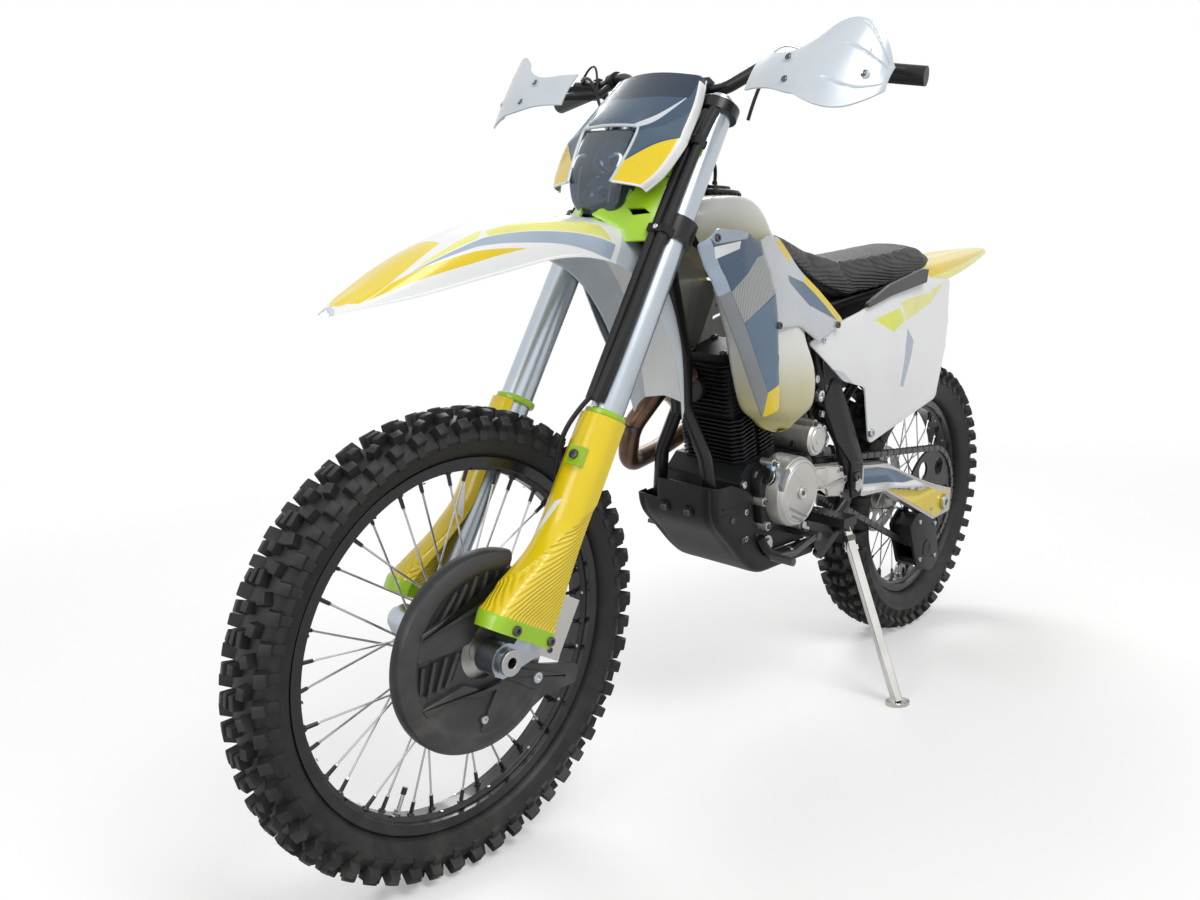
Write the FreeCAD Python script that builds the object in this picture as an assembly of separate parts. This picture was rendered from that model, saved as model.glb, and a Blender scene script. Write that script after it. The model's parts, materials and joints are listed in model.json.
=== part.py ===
"""A trail motorcycle, leaning on its side stand.

Every piece is modelled on the upright machine: +X forward, +Y to the rider's left, +Z up,
with the ground at z = 0 and x = 0 midway between the axles. The front end is then turned
about the steering axis, and the whole machine leans over onto its side stand.
"""
import FreeCAD, Part
import math
import os
from FreeCAD import Placement, Rotation, Vector

# Wheels and tyres
WHEELBASE = 1460.0
FRONT_RIM_RADIUS = 278.0
FRONT_RIM_WIDTH = 52.0
FRONT_TYRE_HEIGHT = 72.0
FRONT_TYRE_RADIUS = FRONT_RIM_RADIUS + FRONT_TYRE_HEIGHT
FRONT_TYRE_WIDTH = 90.0
FRONT_CROWN_RADIUS = 60.0
REAR_RIM_RADIUS = 241.0
REAR_RIM_WIDTH = 62.0
REAR_TYRE_HEIGHT = 94.0
REAR_TYRE_RADIUS = REAR_RIM_RADIUS + REAR_TYRE_HEIGHT
REAR_TYRE_WIDTH = 114.0
REAR_CROWN_RADIUS = 75.0
TYRE_WALL = 9.0
FRONT_LUG_HEIGHT = 12.0
REAR_LUG_HEIGHT = 14.0
TREAD_PITCHES = 24
TREAD_SHARE = 0.94
TREAD_BEND = 0.66
TREAD_GAP = 12.0
BEAD_DEPTH = 12.0
BEAD_LENGTH = 9.0
RIM_WALL = 3.5
RIM_WELL = 7.0
SPOKE_RADIUS = 2.0
SPOKES = 36
SPOKE_SWEEP = 52.0
SPOKE_SEAT = 0.3

# Axles, hubs and brake discs
AXLE_RADIUS = 12.5
AXLE_BORE_RADIUS = 8.0
AXLE_HALF = 130.0
AXLE_HEAD_RADIUS = 19.0
AXLE_HEAD = 8.0
BEARING_CLEARANCE = 0.3
HUB_BARREL_RADIUS = 22.0
HUB_FLANGE_RADIUS = 36.0
HUB_FLANGE_WIDTH = 12.0
FRONT_HUB_HALF = 62.0
FRONT_FLANGE_Y = 31.0
REAR_HUB_HALF = 76.0
REAR_FLANGE_Y = 36.0
DISC_THICKNESS = 4.0
FRONT_DISC_RADIUS = 128.0
FRONT_DISC_Y = 58.0
REAR_DISC_RADIUS = 110.0
REAR_DISC_Y = 58.0
DISC_MOUNT_RADIUS = 58.0
DISC_SPIGOT_RADIUS = 44.0
SPACER_RADIUS = 17.0

# Steering and fork
RAKE = 27.0
AXIS_OFFSET = 58.0
LEG_OFFSET = 22.0
LEG_SPREAD = 105.0
STEER_REST = -4.0
TUBE_RADIUS = 27.0
SLIDER_RADIUS = 21.0
SLIDER_BOTTOM = 24.0
TUBE_BOTTOM = 350.0
TUBE_TOP = 952.0
LOWER_CLAMP_BOTTOM = 690.0
LOWER_CLAMP_THICK = 38.0
TOP_CLAMP_BOTTOM = 925.0
TOP_CLAMP_THICK = 20.0
CLAMP_WALL = 9.0
STEM_RADIUS = 14.0
HEAD_RADIUS = 30.0
HEAD_GAP = 5.0
LUG_RADIUS = 25.0
LUG_INNER = 84.0
LUG_OUTER = 124.0

# Fork guards
GUARD_RADIUS = 38.0
GUARD_WALL = 3.0
GUARD_BOTTOM = 40.0
GUARD_TOP = 382.0
GUARD_FLARE_WALL = 4.0
GUARD_FLARE_OUTER = 142.0
DISC_COVER_RADIUS = 150.0
DISC_COVER_WALL = 3.5
DISC_COVER_Y = 72.0
DISC_COVER_LIP = 14.0

# Headlamp, mask and bracket, in the steering frame
LENS_BOTTOM = 694.0
LENS_TOP = 836.0
LENS_HALF = 60.0
MASK_BOW = 30.0
BRACKET_A = 50.0
BRACKET_Y = 112.0
BRACKET_SLOPE = 0.62
BRACKET_WALL = 5.0

# Handlebar, at the rider's end of the steering frame
BAR_RADIUS = 11.0
BAR_CLAMP_S = 985.0
BAR_CLAMP_A = 12.0
BAR_FLAT = 92.0
BAR_RISE_Y = 165.0
BAR_RISE_S = 1034.0
BAR_END_A = -70.0
BAR_END_Y = 415.0
BAR_END_S = 1040.0
BAR_BEND = 60.0
GRIP_RADIUS = 16.0
GRIP_LENGTH = 120.0
PERCH_RADIUS = 19.0
PERCH_WIDTH = 26.0
GUARD_SLANT = 0.07
GUARD_BOW = 3.0

# Engine
CASE_HALF = 84.0
CASE_FRONT = 128.0
CASE_STEP = -130.0
CASE_REAR = -215.0
CASE_BOTTOM = 356.0
CASE_TOP = 540.0
CASE_NOSE = 100.0
SPROCKET_WALL_Y = 56.0
CRANK_X = -4.0
CRANK_Z = 482.0
COVER_RADIUS = 68.0
COVER_OUTER = 146.0
SPROCKET_COVER_Y = 116.0
STARTER_X = -112.0
STARTER_Z = 566.0
STARTER_RADIUS = 34.0
BARREL_LENGTH = 132.0
BARREL_WIDTH = 140.0
BARREL_TILT = 15.0
FIN_PITCH = 11.0
FIN_THICK = 4.0
FINS = 9
FIN_DEPTH = 12.0
HEAD_HEIGHT = 120.0

# Exhaust
HEADER_RADIUS = 19.0
MUFFLER_FRONT = (-400.0, -126.0, 672.0)
MUFFLER_REAR = (-790.0, -126.0, 800.0)
MUFFLER_RADIUS = 54.0
MUFFLER_LENGTH = 330.0
MUFFLER_CONE = 50.0
MUFFLER_ROOM = 12.0

# Final drive
CHAIN_PITCH = 15.875
REAR_TEETH = 50
FRONT_TEETH = 13
CHAIN_Y = 71.5
CHAIN_WIDTH = 14.0
CHAIN_HALF_HEIGHT = 8.0
CHAIN_CLEARANCE = 1.0
SPROCKET_THICK = 6.0
DRIVE_X = -187.0
DRIVE_Z = 473.0

# Frame and swingarm
FRAME_TUBE = 13.0
BACKBONE_RADIUS = 22.0
BACKBONE_JOINT = 770.0
DOWN_TUBE_RADIUS = 20.0
CRADLE_Z = 336.0
CRADLE_Y = 76.0
PIVOT_X = -268.0
PIVOT_Z = 452.0
PIVOT_RADIUS = 21.0
PIVOT_BOLT_RADIUS = 9.0
UPRIGHT_Y = 101.0
RAIL_RADIUS = 11.0
PLATE_INNER = 87.0
PLATE_OUTER = 97.0
ARM_INNER = 86.0
ARM_OUTER = 112.0
PEG_BRACKET = 11.0
PANEL_BOSS_X = -450.0
PANEL_BOSS_Z = 855.0
PANEL_BOSS_RADIUS = 7.0
SKID_WALL = 4.0
SKID_LIP = 30.0
SKID_HALF = 94.0
PANEL_WALL = 3.0
FIT = 0.3

# Side stand and lean
LEAN = 7.8
STAND_PIVOT = (-225.0, 122.0, 372.0)
STAND_FOOT_X = -205.0
STAND_FOOT_Y = 284.0
STAND_RADIUS = 11.0
STAND_FOOT_RADIUS = 24.0
STAND_FOOT_THICK = 7.0
STAND_FOLDED = (-0.985, 0.055, 0.10)
STAND_LUG = 12.0

FRONT_AXLE = Vector(WHEELBASE / 2, 0, FRONT_TYRE_RADIUS)
REAR_AXLE = Vector(-WHEELBASE / 2, 0, REAR_TYRE_RADIUS)
REAR_PITCH_RADIUS = CHAIN_PITCH / (2 * math.sin(math.pi / REAR_TEETH))
FRONT_PITCH_RADIUS = CHAIN_PITCH / (2 * math.sin(math.pi / FRONT_TEETH))

Y_AXIS = Vector(0, 1, 0)
Z_AXIS = Vector(0, 0, 1)
SIDES = (1, -1)


# Frames of reference

def steering_axis():
    """Unit vector up the steering axis."""
    rake = math.radians(RAKE)
    return Vector(-math.sin(rake), 0, math.cos(rake))


def steering_base():
    """The point of the steering axis that is level with the axle along the fork."""
    rake = math.radians(RAKE)
    return FRONT_AXLE - Vector(math.cos(rake), 0, math.sin(rake)) * AXIS_OFFSET


def fork_placement():
    """Takes (ahead of the axis, left, up the axis) to the upright machine."""
    return Placement(steering_base(), Rotation(Y_AXIS, -RAKE))


def on_fork(shape):
    placed = shape.copy()
    placed.Placement = fork_placement() * placed.Placement
    return placed


def turn(point, base, axis, degrees):
    return base + Rotation(axis, degrees).multVec(point - base)


def tyre_bottom(centre, axle, radius, crown):
    """Height of the lowest point of a leaning tyre with a round crown."""
    upright = math.sqrt(1 - axle.z ** 2)
    return centre.z - (radius - crown) * upright - crown


def resting_placement():
    """Leans the machine over and levels it so that both tyres touch the ground."""
    lean = Rotation(Vector(1, 0, 0), -LEAN)
    steer = Rotation(steering_axis(), STEER_REST)
    front_centre = turn(FRONT_AXLE, steering_base(), steering_axis(), STEER_REST)
    pitch = 0.0
    for _ in range(8):
        whole = Rotation(Y_AXIS, pitch) * lean
        front = tyre_bottom(whole.multVec(front_centre), whole.multVec(steer.multVec(Y_AXIS)),
                            FRONT_TYRE_RADIUS, FRONT_CROWN_RADIUS)
        rear = tyre_bottom(whole.multVec(REAR_AXLE), whole.multVec(Y_AXIS),
                           REAR_TYRE_RADIUS, REAR_CROWN_RADIUS)
        pitch += math.degrees((front - rear) / WHEELBASE)
    return Placement(Vector(0, 0, -rear), Rotation(Y_AXIS, pitch) * lean)


# Shape helpers

def rod(start, end, radius):
    start, end = Vector(*start), Vector(*end)
    run = end - start
    return Part.makeCylinder(radius, run.Length, start, run)


def across(x, z, radius, y_low, y_high):
    """A cylinder across the machine, from y_low to y_high."""
    return rod((x, y_low, z), (x, y_high, z), radius)


def joined(shapes):
    """One solid out of overlapping shapes."""
    whole = shapes[0].fuse(list(shapes[1:])) if len(shapes) > 1 else shapes[0]
    return whole.removeSplitter()


def together(shapes):
    """Solids that do not touch, in one node."""
    return Part.makeCompound([solid for shape in shapes for solid in shape.Solids])


def mirrored(shape):
    return shape.mirror(Vector(0, 0, 0), Y_AXIS)


def both_sides(shape):
    return together([shape, mirrored(shape)])


def bent_path(points, bend):
    """Straight runs joined by tangent arcs of one radius."""
    points = [Vector(*p) for p in points]
    edges = []
    start = points[0]
    for before, corner, after in zip(points, points[1:], points[2:]):
        back = (before - corner).normalize()
        ahead = (after - corner).normalize()
        half = back.getAngle(ahead) / 2
        reach = min(bend / math.tan(half), 0.45 * (before - corner).Length, 0.45 * (after - corner).Length)
        radius = reach * math.tan(half)
        centre_way = (back + ahead).normalize()
        middle = corner + centre_way * (radius / math.sin(half) - radius)
        edges.append(Part.LineSegment(start, corner + back * reach).toShape())
        edges.append(Part.Arc(corner + back * reach, middle, corner + ahead * reach).toShape())
        start = corner + ahead * reach
    edges.append(Part.LineSegment(start, points[-1]).toShape())
    return Part.Wire(edges)


def pipe(points, radius, bend=40.0):
    path = bent_path(points, bend)
    first, second = Vector(*points[0]), Vector(*points[1])
    section = Part.Wire([Part.Circle(first, second - first, radius).toShape()])
    return path.makePipeShell([section], True, False)


def rounded(points, radius):
    """A closed wire through the corner points, with each corner rounded."""
    points = [Vector(*p) for p in points]
    if radius <= 0:
        return Part.makePolygon(points + points[:1])
    count = len(points)
    straight = [i for i, p in enumerate(points)
                if (points[i - 1] - p).getAngle(points[(i + 1) % count] - p) > math.pi - 0.01]
    points = [p for i, p in enumerate(points) if i not in straight]
    count = len(points)
    cuts = []
    for i, corner in enumerate(points):
        back = points[i - 1] - corner
        ahead = points[(i + 1) % count] - corner
        half = back.getAngle(ahead) / 2
        reach = min(radius / math.tan(half), 0.45 * back.Length, 0.45 * ahead.Length)
        size = reach * math.tan(half)
        back.normalize()
        ahead.normalize()
        middle = corner + (back + ahead).normalize() * (size / math.sin(half) - size)
        cuts.append((corner + back * reach, middle, corner + ahead * reach))
    edges = []
    for i, (enter, middle, leave) in enumerate(cuts):
        edges.append(Part.Arc(enter, middle, leave).toShape())
        edges.append(Part.LineSegment(leave, cuts[(i + 1) % count][0]).toShape())
    return Part.Wire(edges)


def side_slab(outline, y_low, y_high, radius=0.0):
    """A plate with a side-view outline in (x, z), from y_low to y_high."""
    wire = rounded([(x, y_low, z) for x, z in outline], radius)
    return Part.Face(wire).extrude(Vector(0, y_high - y_low, 0))


def ring_about_y(profile, centre):
    """Turns a closed profile of (radius, y) points about a cross axis through centre."""
    wire = Part.makePolygon([Vector(r, y, 0) for r, y in profile + profile[:1]])
    ring = Part.Face(wire).revolve(Vector(0, 0, 0), Y_AXIS, 360)
    ring.translate(centre)
    return ring


def loft(sections, ruled=True):
    wires = [Part.makePolygon([Vector(*p) for p in section + section[:1]]) for section in sections]
    return Part.makeLoft(wires, True, ruled)


def bowed_panel(outline, stations, wall=PANEL_WALL, radius=12.0):
    """A panel with a side-view outline, bowed as stations of (height, [(x, y), ...]) say."""
    rows = [[(x, y, z) for x, y in run] for z, run in stations]
    sheet_wall = sheet(rows, (0, -wall, 0))
    window = side_slab(outline, 0, 400, radius)
    return sheet_wall.common(window)


def biggest(shape):
    """The largest solid, without the crumbs that a cut left."""
    return max(shape.Solids, key=lambda solid: solid.Volume)


def sheet(rows, shift):
    """A thin panel: each row is its outer edge points, and shift is the way through its wall."""
    through = Vector(*shift)
    sections = []
    for row in rows:
        outer = [Vector(*p) for p in row]
        inner = [p + through for p in reversed(outer)]
        sections.append([tuple(p) for p in outer + inner])
    return loft(sections)


# Wheels

def tyre_profile(radius, width, crown, rim_radius, rim_width, lug_height):
    """The closed section (radius, y) of a tyre: the tread's ground points, and the same points at lug height."""
    half = width / 2
    facet = 1 / math.cos(math.pi / (2 * TREAD_PITCHES))
    seat = (rim_radius - BEAD_DEPTH + FIT) * facet
    heel = rim_width / 2 - RIM_WALL - FIT
    toe = heel - BEAD_LENGTH
    shoulder = math.degrees(math.asin(TREAD_SHARE * half / crown))
    angles = [shoulder, TREAD_BEND * shoulder, TREAD_GAP, LEAN]
    angles = angles + [-angle for angle in reversed(angles)]
    tops, grounds = [], []
    for angle in angles:
        out, aside = math.cos(math.radians(angle)), math.sin(math.radians(angle))
        tops.append((radius - crown + crown * out, crown * aside))
        grounds.append((radius - crown + (crown - lug_height) * out, (crown - lug_height) * aside))
    belly = (tops[0][0] + rim_radius) / 2
    inside = (grounds[0][0] - TYRE_WALL, grounds[0][1] - TYRE_WALL)
    side = [(seat, toe), (seat, heel), ((rim_radius + 1.5) * facet, heel), (belly, half)]
    cavity = [inside, (belly, half - TYRE_WALL)]
    outside = side + grounds + [(r, -y) for r, y in reversed(side)]
    ring = outside + [(r, -y) for r, y in reversed(cavity)] + cavity
    raised = side + tops + ring[len(side) + len(tops):]
    return ring, raised, len(side)


def tyre(centre, radius, width, crown, rim_radius, rim_width, lug_height):
    """A carcass of flat facets, with side lugs and middle lugs raised from it by turns."""
    ground, raised, first = tyre_profile(radius, width, crown, rim_radius, rim_width, lug_height)
    count, cells = len(ground), 2 * TREAD_PITCHES
    side_columns, middle_column = (first, first + 1, first + 5, first + 6), first + 3

    def spot(profile, cell, column):
        turned = math.radians(-90 + 360.0 * (cell % cells) / cells)
        r, y = profile[column % count]
        return centre + Vector(r * math.cos(turned), y, r * math.sin(turned))

    def up(cell, column):
        return column % count in side_columns if cell % 2 == 0 else column % count == middle_column

    faces = []

    def quad(*corners):
        faces.append(Part.Face(Part.makePolygon(list(corners) + [corners[0]])))

    for cell in range(cells):
        for column in range(count):
            skin = raised if up(cell, column) else ground
            quad(spot(skin, cell, column), spot(skin, cell, column + 1), spot(skin, cell + 1, column + 1),
                 spot(skin, cell + 1, column))
            if up(cell, column) != up(cell - 1, column):
                quad(spot(ground, cell, column), spot(ground, cell, column + 1), spot(raised, cell, column + 1),
                     spot(raised, cell, column))
            if up(cell, column) != up(cell, column - 1):
                quad(spot(ground, cell, column), spot(ground, cell + 1, column), spot(raised, cell + 1, column),
                     spot(raised, cell, column))
    skin = Part.makeCompound(faces)
    skin.sewShape()
    solid = Part.makeSolid(skin.Shells[0])
    if solid.Volume < 0:
        solid.reverse()
    return solid


def rim_seat_radius(rim_radius):
    return rim_radius - BEAD_DEPTH


def rim_floor_radius(rim_radius):
    return rim_seat_radius(rim_radius) - RIM_WELL - RIM_WALL


def rim(centre, rim_radius, rim_width):
    """A channel with two flanges, two bead seats and a well."""
    half = rim_width / 2
    seat = rim_seat_radius(rim_radius)
    inner = half - RIM_WALL
    shelf = inner - BEAD_LENGTH - 1.0
    upper = [(rim_radius, half), (rim_radius, inner), (seat, inner), (seat, shelf), (seat - RIM_WELL, shelf - 4)]
    lower = [(seat - RIM_WALL, half), (seat - RIM_WALL, shelf + 1.5), (rim_floor_radius(rim_radius), shelf - 2)]
    profile = upper + [(r, -y) for r, y in reversed(upper)]
    profile += [(r, -y) for r, y in lower] + [(r, y) for r, y in reversed(lower)]
    return ring_about_y(profile, centre)


def spokes(centre, rim_radius, flange_y):
    """Crossed spokes between the hub's two flanges and the rim, none touching another."""
    outer = rim_floor_radius(rim_radius) - SPOKE_SEAT
    inner = HUB_FLANGE_RADIUS + SPOKE_SEAT
    band = ring_about_y([(inner, -90), (outer, -90), (outer, 90), (inner, 90)], Vector(0, 0, 0))
    rods = []
    for i in range(SPOKES):
        side = SIDES[i % 2]
        lead = SIDES[(i // 2) % 2]
        angle = 360.0 * i / SPOKES
        hub_angle = angle + lead * SPOKE_SWEEP
        hub_y = side * (flange_y + lead * 3.5)
        rim_y = side * (6.0 + lead * 2.0)
        hub_end = Rotation(Y_AXIS, hub_angle).multVec(Vector(HUB_FLANGE_RADIUS - 3, hub_y, 0))
        rim_end = Rotation(Y_AXIS, angle).multVec(Vector(outer + 5, rim_y, 0))
        rods.append(rod(hub_end, rim_end, SPOKE_RADIUS).common(band))
    whole = together(rods)
    whole.translate(centre)
    return whole


def hub(centre, half, flange_y, disc_side, disc_y, far_mount=None):
    """A barrel with two spoke flanges and a face for the brake disc."""
    bore = AXLE_RADIUS + BEARING_CLEARANCE
    body = across(0, 0, HUB_BARREL_RADIUS, -half, half)
    pieces = [body]
    for side in SIDES:
        low = side * flange_y - HUB_FLANGE_WIDTH / 2
        pieces.append(across(0, 0, HUB_FLANGE_RADIUS, low, low + HUB_FLANGE_WIDTH))
    mount = sorted((disc_side * disc_y, disc_side * (disc_y - 6)))
    pieces.append(across(0, 0, DISC_MOUNT_RADIUS, *mount))
    spigot = sorted((disc_side * disc_y, disc_side * (disc_y + DISC_THICKNESS)))
    pieces.append(across(0, 0, DISC_SPIGOT_RADIUS - FIT, *spigot))
    if far_mount:
        pieces.append(across(0, 0, DISC_MOUNT_RADIUS, far_mount - 10, far_mount))
    whole = joined(pieces).cut(across(0, 0, bore, -half - 1, half + 1))
    whole.translate(centre)
    return whole


def brake_disc(centre, radius, side, disc_y):
    """A flat rotor with rows of vent holes."""
    low, high = sorted((side * disc_y, side * (disc_y + DISC_THICKNESS)))
    plate = across(0, 0, radius, low, high).cut(across(0, 0, DISC_SPIGOT_RADIUS, low - 1, high + 1))
    holes = []
    for i in range(12):
        way = Rotation(Y_AXIS, 30.0 * i).multVec(Vector(0.68 * radius, 0, 0))
        holes.append(across(way.x, way.z, 11.0, low - 1, high + 1))
    whole = plate.cut(holes)
    whole.translate(centre)
    return whole


def axle(centre, inner_faces, heads=AXLE_HALF):
    """A hollow spindle with a head at each end and a spacer each side of the hub."""
    body = [across(0, 0, AXLE_RADIUS, -heads, heads)]
    for side in SIDES:
        low, high = sorted((side * heads, side * (heads + AXLE_HEAD)))
        body.append(across(0, 0, AXLE_HEAD_RADIUS, low, high))
    for low, high in inner_faces:
        body.append(across(0, 0, SPACER_RADIUS, low, high))
    whole = joined(body).cut(across(0, 0, AXLE_BORE_RADIUS, -heads - 20, heads + 20))
    whole.translate(centre)
    return whole


def rear_sprocket():
    """The driven sprocket, with lightening holes, bolted to the hub's left face."""
    tip = REAR_PITCH_RADIUS - CHAIN_CLEARANCE - 1.0
    low = CHAIN_Y - SPROCKET_THICK / 2
    plate = across(0, 0, tip, low, low + SPROCKET_THICK)
    plate = plate.cut(across(0, 0, HUB_BARREL_RADIUS + FIT, low - 1, low + SPROCKET_THICK + 1))
    holes = []
    for i in range(6):
        way = Rotation(Y_AXIS, 60.0 * i).multVec(Vector(0.7 * tip, 0, 0))
        holes.append(across(way.x, way.z, 22.0, low - 1, low + SPROCKET_THICK + 1))
    whole = plate.cut(holes)
    whole.translate(REAR_AXLE)
    return whole


# Fork and steering, in (ahead, left, up) of the steering axis

def leg_positions():
    return [(LEG_OFFSET, side * LEG_SPREAD) for side in SIDES]


def clamp_plate(bottom, thick, tube_radius):
    """One clamp: an arm round each fork leg and a boss round the stem."""
    eye = tube_radius + CLAMP_WALL
    outline = [(HEAD_RADIUS, -30, bottom), (LEG_OFFSET + eye, -LEG_SPREAD + 20, bottom),
               (LEG_OFFSET + eye * 0.7, -LEG_SPREAD - eye * 0.7, bottom), (LEG_OFFSET - eye, -LEG_SPREAD - 10, bottom),
               (-24, -20, bottom)]
    outline += [(a, -y, s) for a, y, s in reversed(outline)]
    plate = Part.Face(rounded(outline, 14)).extrude(Vector(0, 0, thick))
    eyes = [Part.makeCylinder(eye, thick, Vector(a, y, bottom)) for a, y in leg_positions()]
    return joined([plate] + eyes)


def triple_clamps():
    """Both clamps, the stem between them and the two handlebar risers."""
    top = TOP_CLAMP_BOTTOM + TOP_CLAMP_THICK
    stem = Part.makeCylinder(STEM_RADIUS, top - LOWER_CLAMP_BOTTOM + 10, Vector(0, 0, LOWER_CLAMP_BOTTOM))
    risers = []
    for side in SIDES:
        block = Part.makeBox(34, 30, BAR_CLAMP_S - top + 18)
        block.translate(Vector(BAR_CLAMP_A - 17, side * 50 - 15, top - 2))
        risers.append(block)
    whole = joined([clamp_plate(LOWER_CLAMP_BOTTOM, LOWER_CLAMP_THICK, TUBE_RADIUS),
                    clamp_plate(TOP_CLAMP_BOTTOM, TOP_CLAMP_THICK, TUBE_RADIUS), stem] + risers)
    cuts = [Part.makeCylinder(TUBE_RADIUS, TUBE_TOP, Vector(a, y, TUBE_BOTTOM)) for a, y in leg_positions()]
    cuts.append(rod((BAR_CLAMP_A, -90, BAR_CLAMP_S), (BAR_CLAMP_A, 90, BAR_CLAMP_S), BAR_RADIUS))
    return whole.cut(cuts)


def fork_tubes():
    """The upper tubes, with a cap on each."""
    legs = []
    for a, y in leg_positions():
        tube = Part.makeCylinder(TUBE_RADIUS, TUBE_TOP - TUBE_BOTTOM, Vector(a, y, TUBE_BOTTOM))
        cap = Part.makeCylinder(18, 8, Vector(a, y, TUBE_TOP))
        legs.append(joined([tube, cap]))
    return together(legs)


def fork_sliders():
    """The lower legs, each with the cast lug that holds the axle ahead of it."""
    legs = []
    for side in SIDES:
        y = side * LEG_SPREAD
        leg = Part.makeCylinder(SLIDER_RADIUS, TUBE_BOTTOM - SLIDER_BOTTOM, Vector(LEG_OFFSET, y, SLIDER_BOTTOM))
        low, high = sorted((side * LUG_INNER, side * LUG_OUTER))
        foot = [(AXIS_OFFSET - 8, -LUG_RADIUS), (AXIS_OFFSET + 10, -LUG_RADIUS), (LEG_OFFSET + 20, 70),
                (LEG_OFFSET - 22, 70), (LEG_OFFSET - 22, 20)]
        web = side_slab(foot, low, high)
        lug = across(AXIS_OFFSET, 0, LUG_RADIUS, low, high)
        legs.append(joined([leg, web, lug]).cut(across(AXIS_OFFSET, 0, AXLE_RADIUS, low - 1, high + 1)))
    return together(legs)


def fork_guards():
    """A curved guard over the front and outer side of each lower leg."""
    inner = GUARD_RADIUS - GUARD_WALL
    pieces = []
    for side in SIDES:
        y = side * LEG_SPREAD
        outer = Part.makeCylinder(GUARD_RADIUS, GUARD_TOP - GUARD_BOTTOM, Vector(LEG_OFFSET, y, GUARD_BOTTOM))
        core = Part.makeCylinder(inner, GUARD_TOP - GUARD_BOTTOM, Vector(LEG_OFFSET, y, GUARD_BOTTOM))
        shell = outer.cut(core)
        rear = Part.makeBox(60, 120, 500, Vector(LEG_OFFSET - 78, y - 60, 0))
        inboard = Part.makeBox(120, 40, 500, Vector(LEG_OFFSET - 60, side * (LEG_SPREAD - 28) - 20 - side * 20, 0))
        bridge = Part.makeBox(inner - TUBE_RADIUS + 4, 26, 16,
                              Vector(LEG_OFFSET + TUBE_RADIUS - 2, y - 13, GUARD_TOP - 20))
        foot = Part.makeBox(inner - SLIDER_RADIUS + 4, 30, 22,
                            Vector(LEG_OFFSET + SLIDER_RADIUS - 2, y - 15, GUARD_BOTTOM + 34))
        core_leg = Part.makeCylinder(TUBE_RADIUS, 800, Vector(LEG_OFFSET, y, TUBE_BOTTOM))
        slider = Part.makeCylinder(SLIDER_RADIUS, 800, Vector(LEG_OFFSET, y, SLIDER_BOTTOM))
        shell = shell.cut([rear, inboard])
        pieces.append(joined([shell, bridge, foot, guard_flare(side)]).cut([core_leg, slider]))
    return together(pieces)


def guard_flare(side):
    """The foot of a guard, which widens forward over the axle lug."""
    wall = GUARD_FLARE_WALL
    outline = [(0, 34), (118, 34), (116, 60), (98, 100), (72, 150), (58, 200), (20, 200), (0, 120)]
    hollow = [(-20, 10), (118 - wall, 10), (116 - wall, 60), (98 - wall, 99), (72 - wall, 149), (58 - wall, 196),
              (58 - wall, 260), (-20, 260)]
    low, high = sorted((side * LUG_INNER, side * GUARD_FLARE_OUTER))
    room_low, room_high = sorted((side * (LUG_INNER - 1), side * (GUARD_FLARE_OUTER - wall)))
    return side_slab(outline, low, high, 8).cut(side_slab(hollow, room_low, room_high, 6))


def disc_cover():
    """The round cover over the left side of the front brake disc, with two slots."""
    low = DISC_COVER_Y
    plate = across(AXIS_OFFSET, 0, DISC_COVER_RADIUS, low, low + DISC_COVER_WALL)
    lip = across(AXIS_OFFSET, 0, DISC_COVER_RADIUS, low - DISC_COVER_LIP, low)
    lip = lip.cut(across(AXIS_OFFSET, 0, DISC_COVER_RADIUS - DISC_COVER_WALL, low - DISC_COVER_LIP - 1, low + 1))
    tail = [(10, -110), (-48, -88), (-94, -31), (-148, -2), (-137, 26), (-60, 8), (10, 2)]
    boss = across(30, 45, 7, low, LUG_INNER)
    cover = joined([plate, lip])
    behind = [Part.makeBox(400, 80, 400, Vector(76 - 400, low - 40, 70)),
              Part.makeBox(400, 80, 400, Vector(-5 - 400, low - 40, 0))]
    slots = []
    for lift in (18, 66):
        outline = [(AXIS_OFFSET + 24, lift), (AXIS_OFFSET + 92, lift - 34), (AXIS_OFFSET + 92, lift - 12),
                   (AXIS_OFFSET + 24, lift + 22)]
        slots.append(side_slab(outline, low - 20, low + 20, 5))
    eye = across(AXIS_OFFSET, 0, SPACER_RADIUS + 3, low - 40, low + 20)
    wing = side_slab(tail, low, low + DISC_COVER_WALL + 3, 6)
    return joined([biggest(cover.cut(behind + [eye] + slots)), boss, wing.cut(eye)])


def front_caliper():
    """The caliper astride the disc, on the rear of the left leg."""
    centre_a, centre_s = LEG_OFFSET - 62.0, 68.0
    block = Part.makeBox(62, 52, 96, Vector(centre_a - 31, 46, centre_s - 48))
    slot = across(AXIS_OFFSET, 0, FRONT_DISC_RADIUS + 6, FRONT_DISC_Y - 6, FRONT_DISC_Y + DISC_THICKNESS + 6)
    bracket = Part.makeBox(30, 12, 40, Vector(LEG_OFFSET - 36, LUG_INNER, centre_s - 30))
    leg = Part.makeCylinder(SLIDER_RADIUS, 400, Vector(LEG_OFFSET, LEG_SPREAD, 0))
    lug = side_slab([(LEG_OFFSET - 22, -40), (200, -40), (200, 70), (LEG_OFFSET - 22, 70)], LUG_INNER, LUG_OUTER)
    cover = across(AXIS_OFFSET, 0, DISC_COVER_RADIUS + 1, DISC_COVER_Y - DISC_COVER_LIP - 1, DISC_COVER_Y + 5)
    reach = cover.cut(Part.makeBox(200, 80, 400, Vector(AXIS_OFFSET - 78 - 200, 30, -20)))
    whole = joined([block, bracket]).cut([slot, leg, lug, reach, disc_cover()])
    return biggest(whole)


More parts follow.
